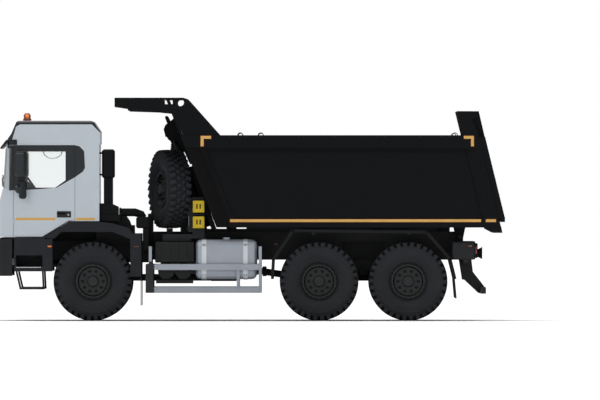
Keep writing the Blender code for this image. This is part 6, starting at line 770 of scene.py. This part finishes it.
# Bumper
# A dark grained bumper. Each lamp pod holds two round reflector bowls behind one clear pane,
# and eight bolts stand in the front face between the pods.
bumper_grey = outdoor_finish("bumper_grey", (0.0085, 0.0095, 0.0120), 0.52, dust=0.16,
                             grain_scale=380.0, bump=0.22)
coat_nodes(bumper_grey, "bumper")
mirror_bowl = outdoor_finish("lamp_bowl", (0.72, 0.73, 0.75), 0.12, 1.0, dust=0.02, bump=0.0)
LAMP_FACE_X, LAMP_Y, LAMP_Z, BOWL_OFFSET = -4.076, 0.9, 1.080, 0.078
BOWL = ((0.0, 0.004), (0.020, 0.004), (0.024, 0.014), (0.050, 0.006), (0.058, 0.016),
        (0.062, 0.016), (0.062, 0.001))
facing_front = Vector((-1, 0, 0)).to_track_quat("Z", "Y").to_matrix().to_4x4()
head_bowls = bmesh.new()
head_glass = bmesh.new()
for sign in (-1.0, 1.0):
    for offset in (-BOWL_OFFSET, BOWL_OFFSET):
        before = set(head_bowls.verts)
        spun(head_bowls, [Vector((radius, 0.0, rise)) for radius, rise in BOWL], (0, 0, 1), 28)
        made = [vert for vert in head_bowls.verts if vert not in before]
        at_pod = Matrix.Translation((LAMP_FACE_X, sign * (LAMP_Y + offset), LAMP_Z))
        bmesh.ops.transform(head_bowls, matrix=at_pod @ facing_front, verts=made)
    add_block(head_glass, (0.004, 0.332, 0.142), (LAMP_FACE_X - 0.0185, sign * LAMP_Y, LAMP_Z),
              None, 0.0015)
bmesh.ops.remove_doubles(head_bowls, verts=head_bowls.verts, dist=0.0001)
bmesh.ops.recalc_face_normals(head_bowls, faces=head_bowls.faces)
new_piece("headlamp_bowls", head_bowls, mirror_bowl, "chassis")


def clear_glass(name, tint, roughness=0.02):
    """Clean glass with the faintest smear."""
    made, tree, shader = new_material(name)
    smear = place_node(tree, "ShaderNodeTexNoise")
    settle(smear, {"Scale": 2.2, "Detail": 5.0})
    wire(tree, place_node(tree, "ShaderNodeTexCoord"), "Object", smear, "Vector")
    faint = calculate(tree, "MULTIPLY", (smear, "Fac"), 0.05)
    faint = calculate(tree, "ADD", faint, roughness)
    wire(tree, *faint, shader, "Roughness")
    settle(shader, {"Base Color": (*tint, 1.0), "Transmission Weight": 1.0, "IOR": 1.45})
    return made


lamp_glass = clear_glass("lamp_glass", (0.97, 0.98, 1.0))
new_piece("headlamp_glasses", head_glass, lamp_glass, "chassis")
bumper_bolts = bmesh.new()
for y in (-0.62, -0.42, 0.42, 0.62):
    for z in (0.80, 0.93):
        add_bolt(bumper_bolts, (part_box("bumper")[0].x, y, z), (-1, 0, 0), 0.013)
new_piece("bumper_bolts", bumper_bolts, zinc, "chassis")


# Tail
# The rear lamps are flat rows of lenses in black frames on the lamp boxes, each row with two
# red lenses, an amber one and a clear one.
LAMP_BOX_REAR_X, TAIL_LAMP_Z = 3.6005, 1.130
tail_red = bmesh.new()
tail_amber = bmesh.new()
tail_clear = bmesh.new()
tail_frames = bmesh.new()
for sign in (-1.0, 1.0):
    add_block(tail_frames, (0.030, 0.440, 0.150),
              (LAMP_BOX_REAR_X + 0.014, sign * 0.940, TAIL_LAMP_Z), None, 0.008, 2)
    for lenses, y, width in ((tail_red, 1.090, 0.110), (tail_amber, 0.985, 0.080),
                             (tail_red, 0.890, 0.090), (tail_clear, 0.800, 0.070)):
        add_block(lenses, (0.016, width, 0.118),
                  (LAMP_BOX_REAR_X + 0.033, sign * y, TAIL_LAMP_Z), None, 0.005, 2)
new_piece("tail_lamp_frames", tail_frames, box_black, "chassis")
new_piece("tail_lamps_red", tail_red, red_lens, "chassis")
new_piece("tail_lamps_amber", tail_amber, amber_lens, "chassis")
new_piece("tail_lamps_clear", tail_clear, clear_lens, "chassis")


# Spare wheel carrier and chocks
# Two moulded yellow wheel chocks, each with two finger slots painted as dark shade and two narrow
# ribs, lie one above the other on the shelves of a steel rack.
chock_yellow = outdoor_finish("chock_yellow", (0.50, 0.36, 0.012), 0.50, dust=0.20, reach=4.0,
                              grain_scale=150.0, bump=0.18, mottle=0.15)
CHOCK_X0, CHOCK_SIZE, CHOCK_TAPER = -0.900, (0.185, 0.176, 0.196), 0.62
chocks = bmesh.new()
finger_slot_shades = []
for low in (1.480, 1.732):
    made = add_block(chocks, CHOCK_SIZE, (CHOCK_X0 + CHOCK_SIZE[0] / 2.0, -1.092,
                                          low + CHOCK_SIZE[2] / 2.0), None, 0.014, 3)
    for vert in made:
        inward = (vert.co.y + 1.180) / CHOCK_SIZE[1]
        vert.co.z = low + (vert.co.z - low) * (1.0 - CHOCK_TAPER * inward)
    for share in (0.36, 0.64):
        x = CHOCK_X0 + CHOCK_SIZE[0] * share
        finger_slot_shades.append(((x - 0.013, -1.3, low + 0.060), (x + 0.013, -0.9, low + 0.138)))
    for share in (0.15, 0.85):
        add_block(chocks, (0.010, 0.010, 0.150), (CHOCK_X0 + CHOCK_SIZE[0] * share, -1.181,
                                                  low + 0.098), None, 0.003)
# The finger slots are painted shade: a darker yellow where the recesses stand.
mix_boxes(chock_yellow, finger_slot_shades, (0.045, 0.028, 0.006))
chocks = new_piece("wheel_chock_pair", chocks, chock_yellow, "chassis")
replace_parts(chocks, "wheel_chocks")
rack = bmesh.new()
add_block(rack, (0.245, 0.020, 0.560), (-0.8425, -0.992, 1.700), None, 0.003)
for z in (1.470, 1.705):
    add_block(rack, (0.030, 0.020, 0.090), (-0.972, -0.992, z + 0.010), None, 0.003)
    add_block(rack, (0.200, 0.190, 0.010), (CHOCK_X0 + 0.092, -1.085, z), None, 0.002)
new_piece("chock_rack_shelves", rack, frame_black, "chassis")


# Splash plates and hose bracket
# A black plate with three bolts stands beside each front wheel, and a sloping bracket leans
# beside the hoist behind the cab.
splash = bmesh.new()
for sign in (-1.0, 1.0):
    add_block(splash, (0.620, 0.012, 0.300), (-2.150, sign * 0.470, 1.380), None, 0.004)
    for x in (-2.34, -2.11, -1.88):
        add_bolt(splash, (x, sign * 0.476, 1.30), (0, sign, 0))
new_piece("splash_plates", splash, frame_black, "chassis")
pipe_bracket = bmesh.new()
add_block(pipe_bracket, (0.080, 0.030, 1.080), (0.0, 0.0, 0.0), None, 0.006)
bmesh.ops.transform(pipe_bracket, matrix=Matrix.Translation((-0.752, -0.300, 1.965))
                    @ turned(-20.5, "Y"), verts=pipe_bracket.verts)
new_piece("hose_bracket", pipe_bracket, frame_black, "chassis")


# Cab shell, roof and doors
# Steel panels in pale grey-blue gloss paint. A black surround frames the side windows, a black
# moulding runs over the roof's corners, and an amber stripe crosses each door above the sill.
half_plane = bpy.data.node_groups.new("half_plane", "ShaderNodeTree")
socket(half_plane, "Normal", "INPUT", "NodeSocketVector", (1, 0, 0))
socket(half_plane, "Offset", "INPUT")
socket(half_plane, "Other", "INPUT")
socket(half_plane, "Nearest", "OUTPUT")
plane_in = place_node(half_plane, "NodeGroupInput")
plane_out = place_node(half_plane, "NodeGroupOutput")
along = place_node(half_plane, "ShaderNodeVectorMath", operation="DOT_PRODUCT")
wire(half_plane, place_node(half_plane, "ShaderNodeTexCoord"), "Object", along, 0)
wire(half_plane, plane_in, "Normal", along, 1)
beyond = calculate(half_plane, "SUBTRACT", (along, "Value"), (plane_in, "Offset"))
beyond = calculate(half_plane, "MINIMUM", beyond, (plane_in, "Other"))
wire(half_plane, *beyond, plane_out, "Nearest")


def outline_mask(tree, points):
    """1 inside a convex outline of photo points that run clockwise on the picture."""
    last_side = None
    places = [(photo_x(px), photo_z(py)) for px, py in points]
    for (x0, z0), (x1, z1) in zip(places, places[1:] + places[:1]):
        step = place_node(tree, "ShaderNodeGroup", node_tree=half_plane)
        length = math.hypot(x1 - x0, z1 - z0)
        normal = ((z1 - z0) / length, 0.0, -(x1 - x0) / length)
        settle(step, {"Normal": normal, "Offset": normal[0] * x0 + normal[2] * z0, "Other": 1.0})
        if last_side:
            wire(tree, last_side, "Nearest", step, "Other")
        last_side = step
    return calculate(tree, "GREATER_THAN", (last_side, "Nearest"), 0.0)


CAB_GREY = (0.44, 0.485, 0.53)
TRIM_BLACK = (0.009, 0.0120, 0.0150)
STRIPE_AMBER = (0.56, 0.32, 0.07)
DOOR_FACE_Y, SKIN_Y = 1.13, 1.2345
cab_paint, roof_paint = (
    outdoor_finish(name, CAB_GREY, 0.30, dust=dust, reach=2.2, grain_scale=500.0, bump=0.01,
                   mottle=0.03, coat=0.5)
    for name, dust in (("cab_paint", 0.10), ("roof_paint", 0.08))
)
WINDOW_SURROUND = ((9.5, 145.4), (76.0, 145.4), (79.6, 146.3), (84.2, 151.2), (85.0, 168.0),
                   (82.7, 171.9), (75.0, 177.2), (56.6, 187.7), (38.3, 189.2), (9.0, 190.6))
sides_only = boxes_in(cab_paint.node_tree, [((-5, -1.7, 0), (0, -DOOR_FACE_Y, 4)),
                                            ((-5, DOOR_FACE_Y, 0), (0, 1.7, 4))])
surround = outline_mask(cab_paint.node_tree, WINDOW_SURROUND)
surround = calculate(cab_paint.node_tree, "MULTIPLY", surround, sides_only)
mix_finish(cab_paint, surround, TRIM_BLACK, 0.32)


def photo_box(px0, px1, py0, py1, low_y, high_y):
    """A box behind a rectangle of the photo, between two planes."""
    return (photo_x(px0), low_y, photo_z(py1)), (photo_x(px1), high_y, photo_z(py0))


stripes = []
handle_well_shades = []
for low_y, high_y in ((-1.3, -1.1), (1.1, 1.3)):
    for px0, px1 in ((15.6, 55.4), (76.1, 94.6)):
        stripes.append(photo_box(px0, px1, 217.7, 220.2, low_y, high_y))
    handle_well_shades.append(photo_box(57.0, 71.0, 211.2, 217.5, low_y, high_y))
proud_trim = [((-5, -2, 0), (0, -SKIN_Y, 5)), ((-5, SKIN_Y, 0), (0, 2, 5))]
grille_slot_shade = [((-4.0125, -0.779, 1.406), (-3.960, 0.779, 1.844))]
mix_boxes(cab_paint, stripes, STRIPE_AMBER)
mix_boxes(cab_paint, proud_trim, TRIM_BLACK, 0.40)
# The door-handle wells are painted near-black: painted shade in the recesses.
mix_boxes(cab_paint, handle_well_shades, (0.0012, 0.0015, 0.0022), 0.60)
# The floor of the grille behind its slats is painted near-black: painted shade.
mix_boxes(cab_paint, grille_slot_shade, (0.004, 0.0045, 0.005), 0.60)
LIGHT_ROOF_SIDE = ((11.2, 150.0), (12.2, 139.7), (16.0, 126.7), (19.9, 124.4), (91.8, 124.4),
                   (100.3, 132.9), (100.3, 150.0))
light_side = outline_mask(roof_paint.node_tree, LIGHT_ROOF_SIDE)
trim_side = calculate(roof_paint.node_tree, "SUBTRACT", 1.0, light_side)
mix_finish(roof_paint, trim_side, TRIM_BLACK, 0.42)
coat_nodes(cab_paint, "cab_shell", "front_panel", "door_left", "door_right")
coat_nodes(roof_paint, "roof_cap")


# Cab fittings
# Grained black plastic makes the visor with its end caps, the mirror housings and the grab loop.
# Locks and pulls stand on the doors, wipers on the windscreen and a binnacle on the dashboard.
trim_plastic = outdoor_finish("trim_plastic", TRIM_BLACK, 0.45, dust=0.12, grain_scale=420.0,
                              bump=0.20)
coat_nodes(trim_plastic, "sun_visor")
dash_vinyl = outdoor_finish("dash_vinyl", (0.024, 0.025, 0.027), 0.62, dust=0.05,
                            grain_scale=600.0, bump=0.35)
coat_nodes(dash_vinyl, "dashboard")
visor_ends = bmesh.new()
for sign in (-1.0, 1.0):
    add_block(visor_ends, (0.030, 0.016, 0.135), (-3.850, sign * 1.229, photo_z(144.0)), None,
              0.005, 2)
    add_block(visor_ends, (0.152, 0.016, 0.084), (-3.789, sign * 1.229, 2.856), None, 0.005, 2)
new_piece("visor_end_caps", visor_ends, trim_plastic, "cab")
DOORS = ((-1.0, "left_door"), (1.0, "right_door"))
for sign, body in DOORS:
    lock = bmesh.new()
    add_bolt(lock, (photo_x(68.3), sign * 1.230, photo_z(214.8)), (0, sign, 0), 0.010, 0.006)
    new_piece(f"{body}_lock", lock, nosing_alloy, body)
    pull = bmesh.new()
    add_block(pull, (0.130, 0.012, 0.030), (photo_x(61.6), sign * 1.235, photo_z(213.6)), None,
              0.005, 2)
    new_piece(f"{body}_pull", pull, intake_black, body)
for sign, body in DOORS:
    housings = bmesh.new()
    add_block(housings, (0.184, 0.184, 0.420), (-3.658, sign * 1.352, 2.506), None, 0.052, 4)
    add_block(housings, (0.120, 0.150, 0.300), (photo_x(22.8), sign * 1.345, photo_z(189.6)), None,
              0.046, 4)
    add_block(housings, (0.060, 0.060, 0.120), (photo_x(22.8), sign * 1.345, 2.270), None, 0.012, 2)
    new_piece(f"{body}_mirror_housings", housings, trim_plastic, body)
binnacle = bmesh.new()
add_block(binnacle, (0.240, 0.380, 0.150), (-3.590, -0.680, 2.160),
          turned(24.0, "Y"), 0.040, 3)
new_piece("instrument_binnacle", binnacle, dash_vinyl, "cab")
grab_loop = bmesh.new()
loop_end = bmesh.ops.create_circle(grab_loop, segments=8, radius=0.007)["verts"]
bmesh.ops.translate(grab_loop, vec=(0.150, 0.0, 0.0), verts=loop_end)
loop_edges = list({edge for vert in loop_end for edge in vert.link_edges})
bmesh.ops.spin(grab_loop, geom=loop_end + loop_edges, cent=(0, 0, 0), axis=(0, 1, 0),
               dvec=(0, 0, 0), angle=math.pi, steps=24, use_merge=False, use_duplicate=False)
bmesh.ops.transform(grab_loop, matrix=Matrix.Translation((photo_x(50.5), 1.140, 2.716))
                    @ Matrix.Diagonal((1.0, 1.0, 0.74, 1.0)), verts=grab_loop.verts)
bmesh.ops.recalc_face_normals(grab_loop, faces=grab_loop.faces)
new_piece("roof_grab_loop", grab_loop, trim_plastic, "cab")
wiper = bmesh.new()
for y in (-0.55, 0.10):
    arm = add_cone(wiper, 8, 0.009, 0.006, 0.52)
    bmesh.ops.transform(wiper, matrix=Matrix.Translation((-3.958, y, 2.220))
                        @ turned(76.0, "X"), verts=arm)
    add_block(wiper, (0.010, 0.500, 0.016), (-3.950, y - 0.060, 2.300),
              turned(-6.0, "X"), 0.003)
new_piece("windscreen_wipers", wiper, trim_plastic, "cab")


# Windows and beacon
# The windscreen and door windows are clear glass with the faintest smear. The beacon is a dark
# amber dome that glows yellow round its bulb and fades outward.
cab_glass = clear_glass("cab_glass", (0.93, 0.95, 0.95))
coat_nodes(cab_glass, "windscreen", "door_glass_left", "door_glass_right")
BULB_PLACE, GLOW_FALL = (-3.556, -0.866, 3.282), 18.0
beacon_amber = lens_finish("beacon_amber", (0.20, 0.035, 0.008))
beacon_tree = beacon_amber.node_tree
beacon_shader = beacon_tree.nodes["Principled BSDF"]
from_bulb = place_node(beacon_tree, "ShaderNodeVectorMath", operation="DISTANCE")
wire(beacon_tree, place_node(beacon_tree, "ShaderNodeTexCoord"), "Object", from_bulb, "Vector")
settle(from_bulb, {1: BULB_PLACE})
glow_ramp = place_node(beacon_tree, "ShaderNodeValToRGB")
glow_ramp.color_ramp.elements[0].position = 0.0
glow_ramp.color_ramp.elements[0].color = (1.0, 0.62, 0.08, 1.0)
glow_ramp.color_ramp.elements[1].position = 1.0
glow_ramp.color_ramp.elements[1].color = (0.0, 0.0, 0.0, 1.0)
middle = glow_ramp.color_ramp.elements.new(0.34)
middle.color = (0.48, 0.10, 0.006, 1.0)
reach = calculate(beacon_tree, "MULTIPLY", (from_bulb, "Value"), GLOW_FALL, clamp=True)
wire(beacon_tree, *reach, glow_ramp, "Fac")
wire(beacon_tree, glow_ramp, "Color", beacon_shader, "Emission Color")
settle(beacon_shader, {"Emission Strength": 1.4})
coat_nodes(beacon_amber, "beacon")


# Seats
# Moulded foam under dark woven cloth, with the side bolsters sewn off by two channels. Each
# seat bolts to a plastic plinth over the engine tunnel, its head pad on two steel posts.
SEAT_MIDDLE_Y = 0.680
SEAT_FRONT_X, SEAT_FLOOR_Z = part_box("seats")[0].x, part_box("seats")[0].z
SEAT_REAR_X, SEAT_TOP_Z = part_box("seats")[1].x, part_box("seats")[1].z
TUNNEL_COVER_TOP_Z = SEAT_FLOOR_Z + 0.140
SEAT_PLINTH_TOP_Z = SEAT_FLOOR_Z + 0.280
SEAT_WIDTH, BACK_WIDTH, HEAD_PAD_WIDTH = 0.470, 0.460, 0.270
CUSHION_THICKNESS, BACK_THICKNESS, HEAD_PAD_THICKNESS = 0.124, 0.108, 0.096
HEAD_PAD_HEIGHT, HEAD_PAD_GAP = 0.190, 0.035
POST_Y, POST_RADIUS, POST_LENGTH = 0.060, 0.006, 0.160
PAD_CUTS, CHANNEL_SHARE, CHANNEL_DEPTH_SHARE = 11, 2.0 / 3.0, 0.24
seat_cloth = outdoor_finish("seat_cloth", (0.030, 0.030, 0.034), 0.92, dust=0.05,
                            grain_scale=900.0, bump=0.5, mottle=0.2, specular=0.2)


def add_seat_pad(name, size, place, turn, channels=True):
    """A stuffed pad, flat behind, crowned in front, drawn in at its sides and along its seams."""
    pad = bmesh.new()
    bmesh.ops.create_cube(pad, size=2.0)
    bmesh.ops.subdivide_edges(pad, edges=pad.edges[:], cuts=PAD_CUTS, use_grid_fill=True)
    for vert in pad.verts:
        across, along, height = vert.co
        crown = (1.0 - across ** 4) * (1.0 - along ** 4)
        vert.co.z = height * (0.72 + 0.28 * crown) if height > 0.0 else height
        vert.co.x = across * (0.975 + 0.025 * along ** 2) * (1.0 - 0.06 * height ** 2)
        vert.co.y = along * (0.975 + 0.025 * across ** 2) * (1.0 - 0.06 * height ** 2)
        if channels and height > 0.99 and abs(abs(across) - CHANNEL_SHARE) < 0.01:
            vert.co.z -= CHANNEL_DEPTH_SHARE
    bmesh.ops.scale(pad, vec=[length / 2.0 for length in size], verts=pad.verts)
    bmesh.ops.transform(pad, matrix=Matrix.Translation(place) @ turn, verts=pad.verts)
    piece = new_piece(name, pad, seat_cloth, "cab", 180.0)
    rounding = piece.modifiers.new("rounding", "SUBSURF")
    rounding.levels = rounding.render_levels = 1
    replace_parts(piece, "seats")


cushion_low, back_x = SEAT_PLINTH_TOP_Z, SEAT_REAR_X - BACK_THICKNESS / 2.0
cushion_depth = SEAT_REAR_X - SEAT_FRONT_X - 0.020
back_low = cushion_low + CUSHION_THICKNESS - 0.012
back_top = SEAT_TOP_Z - HEAD_PAD_HEIGHT - HEAD_PAD_GAP
flat_turn = turned(90.0, "Z")
upright_turn = flat_turn @ turned(-90.0, "X")
seat_frames = bmesh.new()
add_block(seat_frames, (0.496, 2.0 * SEAT_MIDDLE_Y, 0.138),
          (-2.710, 0.0, (SEAT_FLOOR_Z + TUNNEL_COVER_TOP_Z) / 2.0), None, 0.020, 2)
for side, seat_y in (("left", -SEAT_MIDDLE_Y), ("right", SEAT_MIDDLE_Y)):
    add_block(seat_frames, (0.470, 0.320, 0.280), (-2.700, seat_y, SEAT_FLOOR_Z + 0.140), None,
              0.016, 2)
    for post_y in (seat_y - POST_Y, seat_y + POST_Y):
        post = add_cone(seat_frames, 10, POST_RADIUS, POST_RADIUS, POST_LENGTH)
        bmesh.ops.translate(seat_frames, vec=(back_x, post_y, back_top + 0.018), verts=post)
    add_seat_pad(f"{side}_seat_cushion", (SEAT_WIDTH, cushion_depth, CUSHION_THICKNESS),
                 (SEAT_REAR_X - cushion_depth / 2.0, seat_y, cushion_low + CUSHION_THICKNESS / 2.0),
                 flat_turn)
    add_seat_pad(f"{side}_seat_back", (BACK_WIDTH, back_top - back_low, BACK_THICKNESS),
                 (back_x, seat_y, (back_low + back_top) / 2.0), upright_turn)
    add_seat_pad(f"{side}_head_pad", (HEAD_PAD_WIDTH, HEAD_PAD_HEIGHT, HEAD_PAD_THICKNESS),
                 (back_x, seat_y, SEAT_TOP_Z - HEAD_PAD_HEIGHT / 2.0), upright_turn, False)
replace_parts(new_piece("seat_frames", seat_frames, dash_vinyl, "cab"), "seats")


# Bed, canopy and tailgate
# Welded plate in satin black, with an amber reflective stripe along the sill and an L-shaped
# reflector at each upper corner. Cheek plates stand beside the hoist's eye, rings on the rim.
bed_black = outdoor_finish("bed_black", (0.0018, 0.0024, 0.0036), 0.45, dust=0.03, reach=2.6,
                           grain_scale=80.0, bump=0.06, mottle=0.10, specular=0.10)
MARK_EDGE = 0.5
bed_marks = []
bed_edges = []
for low_y, high_y in ((-1.3, -1.21), (1.21, 1.3)):
    for px0, px1, py0, py1 in ((230.1, 481.0, 219.3, 222.0), (485.9, 495.9, 219.3, 222.0),
                               (200.7, 211.0, 135.9, 138.7), (200.7, 203.6, 135.9, 146.3),
                               (463.9, 473.8, 135.9, 138.7), (471.1, 473.8, 135.9, 146.3)):
        bed_marks.append(photo_box(px0, px1, py0, py1, low_y, high_y))
        bed_edges.append(photo_box(px0 - MARK_EDGE, px1 + MARK_EDGE, py0 - MARK_EDGE,
                                   py1 + MARK_EDGE, low_y, high_y))
# The angled front of the bed's side and a band under the top rail are painted near-black: painted
# shade.
FRONT_PANEL_SHADE = ((180.0, 147.0), (205.5, 147.0), (229.5, 219.0), (229.5, 235.0), (207.0, 235.0))
RIM_SHADOW = ((204.0, 148.2), (474.0, 148.2), (474.6, 152.8), (205.0, 152.8))
for outline in (FRONT_PANEL_SHADE, RIM_SHADOW):
    mix_finish(bed_black, outline_mask(bed_black.node_tree, outline), (0.0006, 0.0006, 0.0008))
mix_boxes(bed_black, bed_edges, (0.10, 0.022, 0.006))
mix_boxes(bed_black, bed_marks, (0.60, 0.36, 0.11), 0.35)
coat_nodes(bed_black, "bed_tub", "canopy", "tailgate")

HOIST_CHEEK = ((173.5, 117.8), (181.0, 118.0), (187.0, 134.0), (180.0, 141.0), (170.8, 141.4),
               (168.0, 139.6), (164.3, 134.0), (163.0, 129.0), (164.8, 124.6))
LIFTING_EYE = ((166.4, 115.4), (168.0, 116.6), (170.6, 122.0), (168.6, 124.4), (166.4, 122.6),
               (164.4, 117.4), (164.8, 115.8))
HOSE_TRAY = ((176.0, 134.0), (184.0, 139.0), (190.0, 156.0), (191.6, 164.0), (189.4, 164.0),
             (184.6, 153.0), (176.0, 141.0))
hoist_cheeks = bmesh.new()
for sign in (-1.0, 1.0):
    add_plate(hoist_cheeks, HOIST_CHEEK, sign * 0.118, sign * 0.140)
    add_plate(hoist_cheeks, LIFTING_EYE, sign * 0.122, sign * 0.136)
    add_plate(hoist_cheeks, HOSE_TRAY, sign * 0.190, sign * 0.205)
    add_block(hoist_cheeks, (0.060, 0.080, 0.030), (photo_x(181.5), sign * 0.160, photo_z(138.0)),
              None, 0.003)
new_piece("hoist_cheeks", hoist_cheeks, intake_black, "bed")

RING_Y, RING_Z, RING_RADIUS, RING_STEEL_RADIUS = 1.205, 2.968, 0.040, 0.0065
rope_rings = bmesh.new()
for sign in (-1.0, 1.0):
    for px in (240.2, 260.7, 455.0):
        ring_end = (photo_x(px) + RING_RADIUS, sign * RING_Y, RING_Z)
        verts = bmesh.ops.create_circle(rope_rings, segments=10, radius=RING_STEEL_RADIUS)["verts"]
        bmesh.ops.transform(rope_rings, matrix=Matrix.Translation(ring_end), verts=verts)
        edges = list({edge for vert in verts for edge in vert.link_edges})
        bmesh.ops.spin(rope_rings, geom=verts + edges, cent=(photo_x(px), sign * RING_Y, RING_Z),
                       axis=(0, -1, 0), dvec=(0, 0, 0), angle=math.pi, steps=18,
                       use_merge=False, use_duplicate=False)
bmesh.ops.recalc_face_normals(rope_rings, faces=rope_rings.faces)
new_piece("rope_rings", rope_rings, cast_black, "bed")
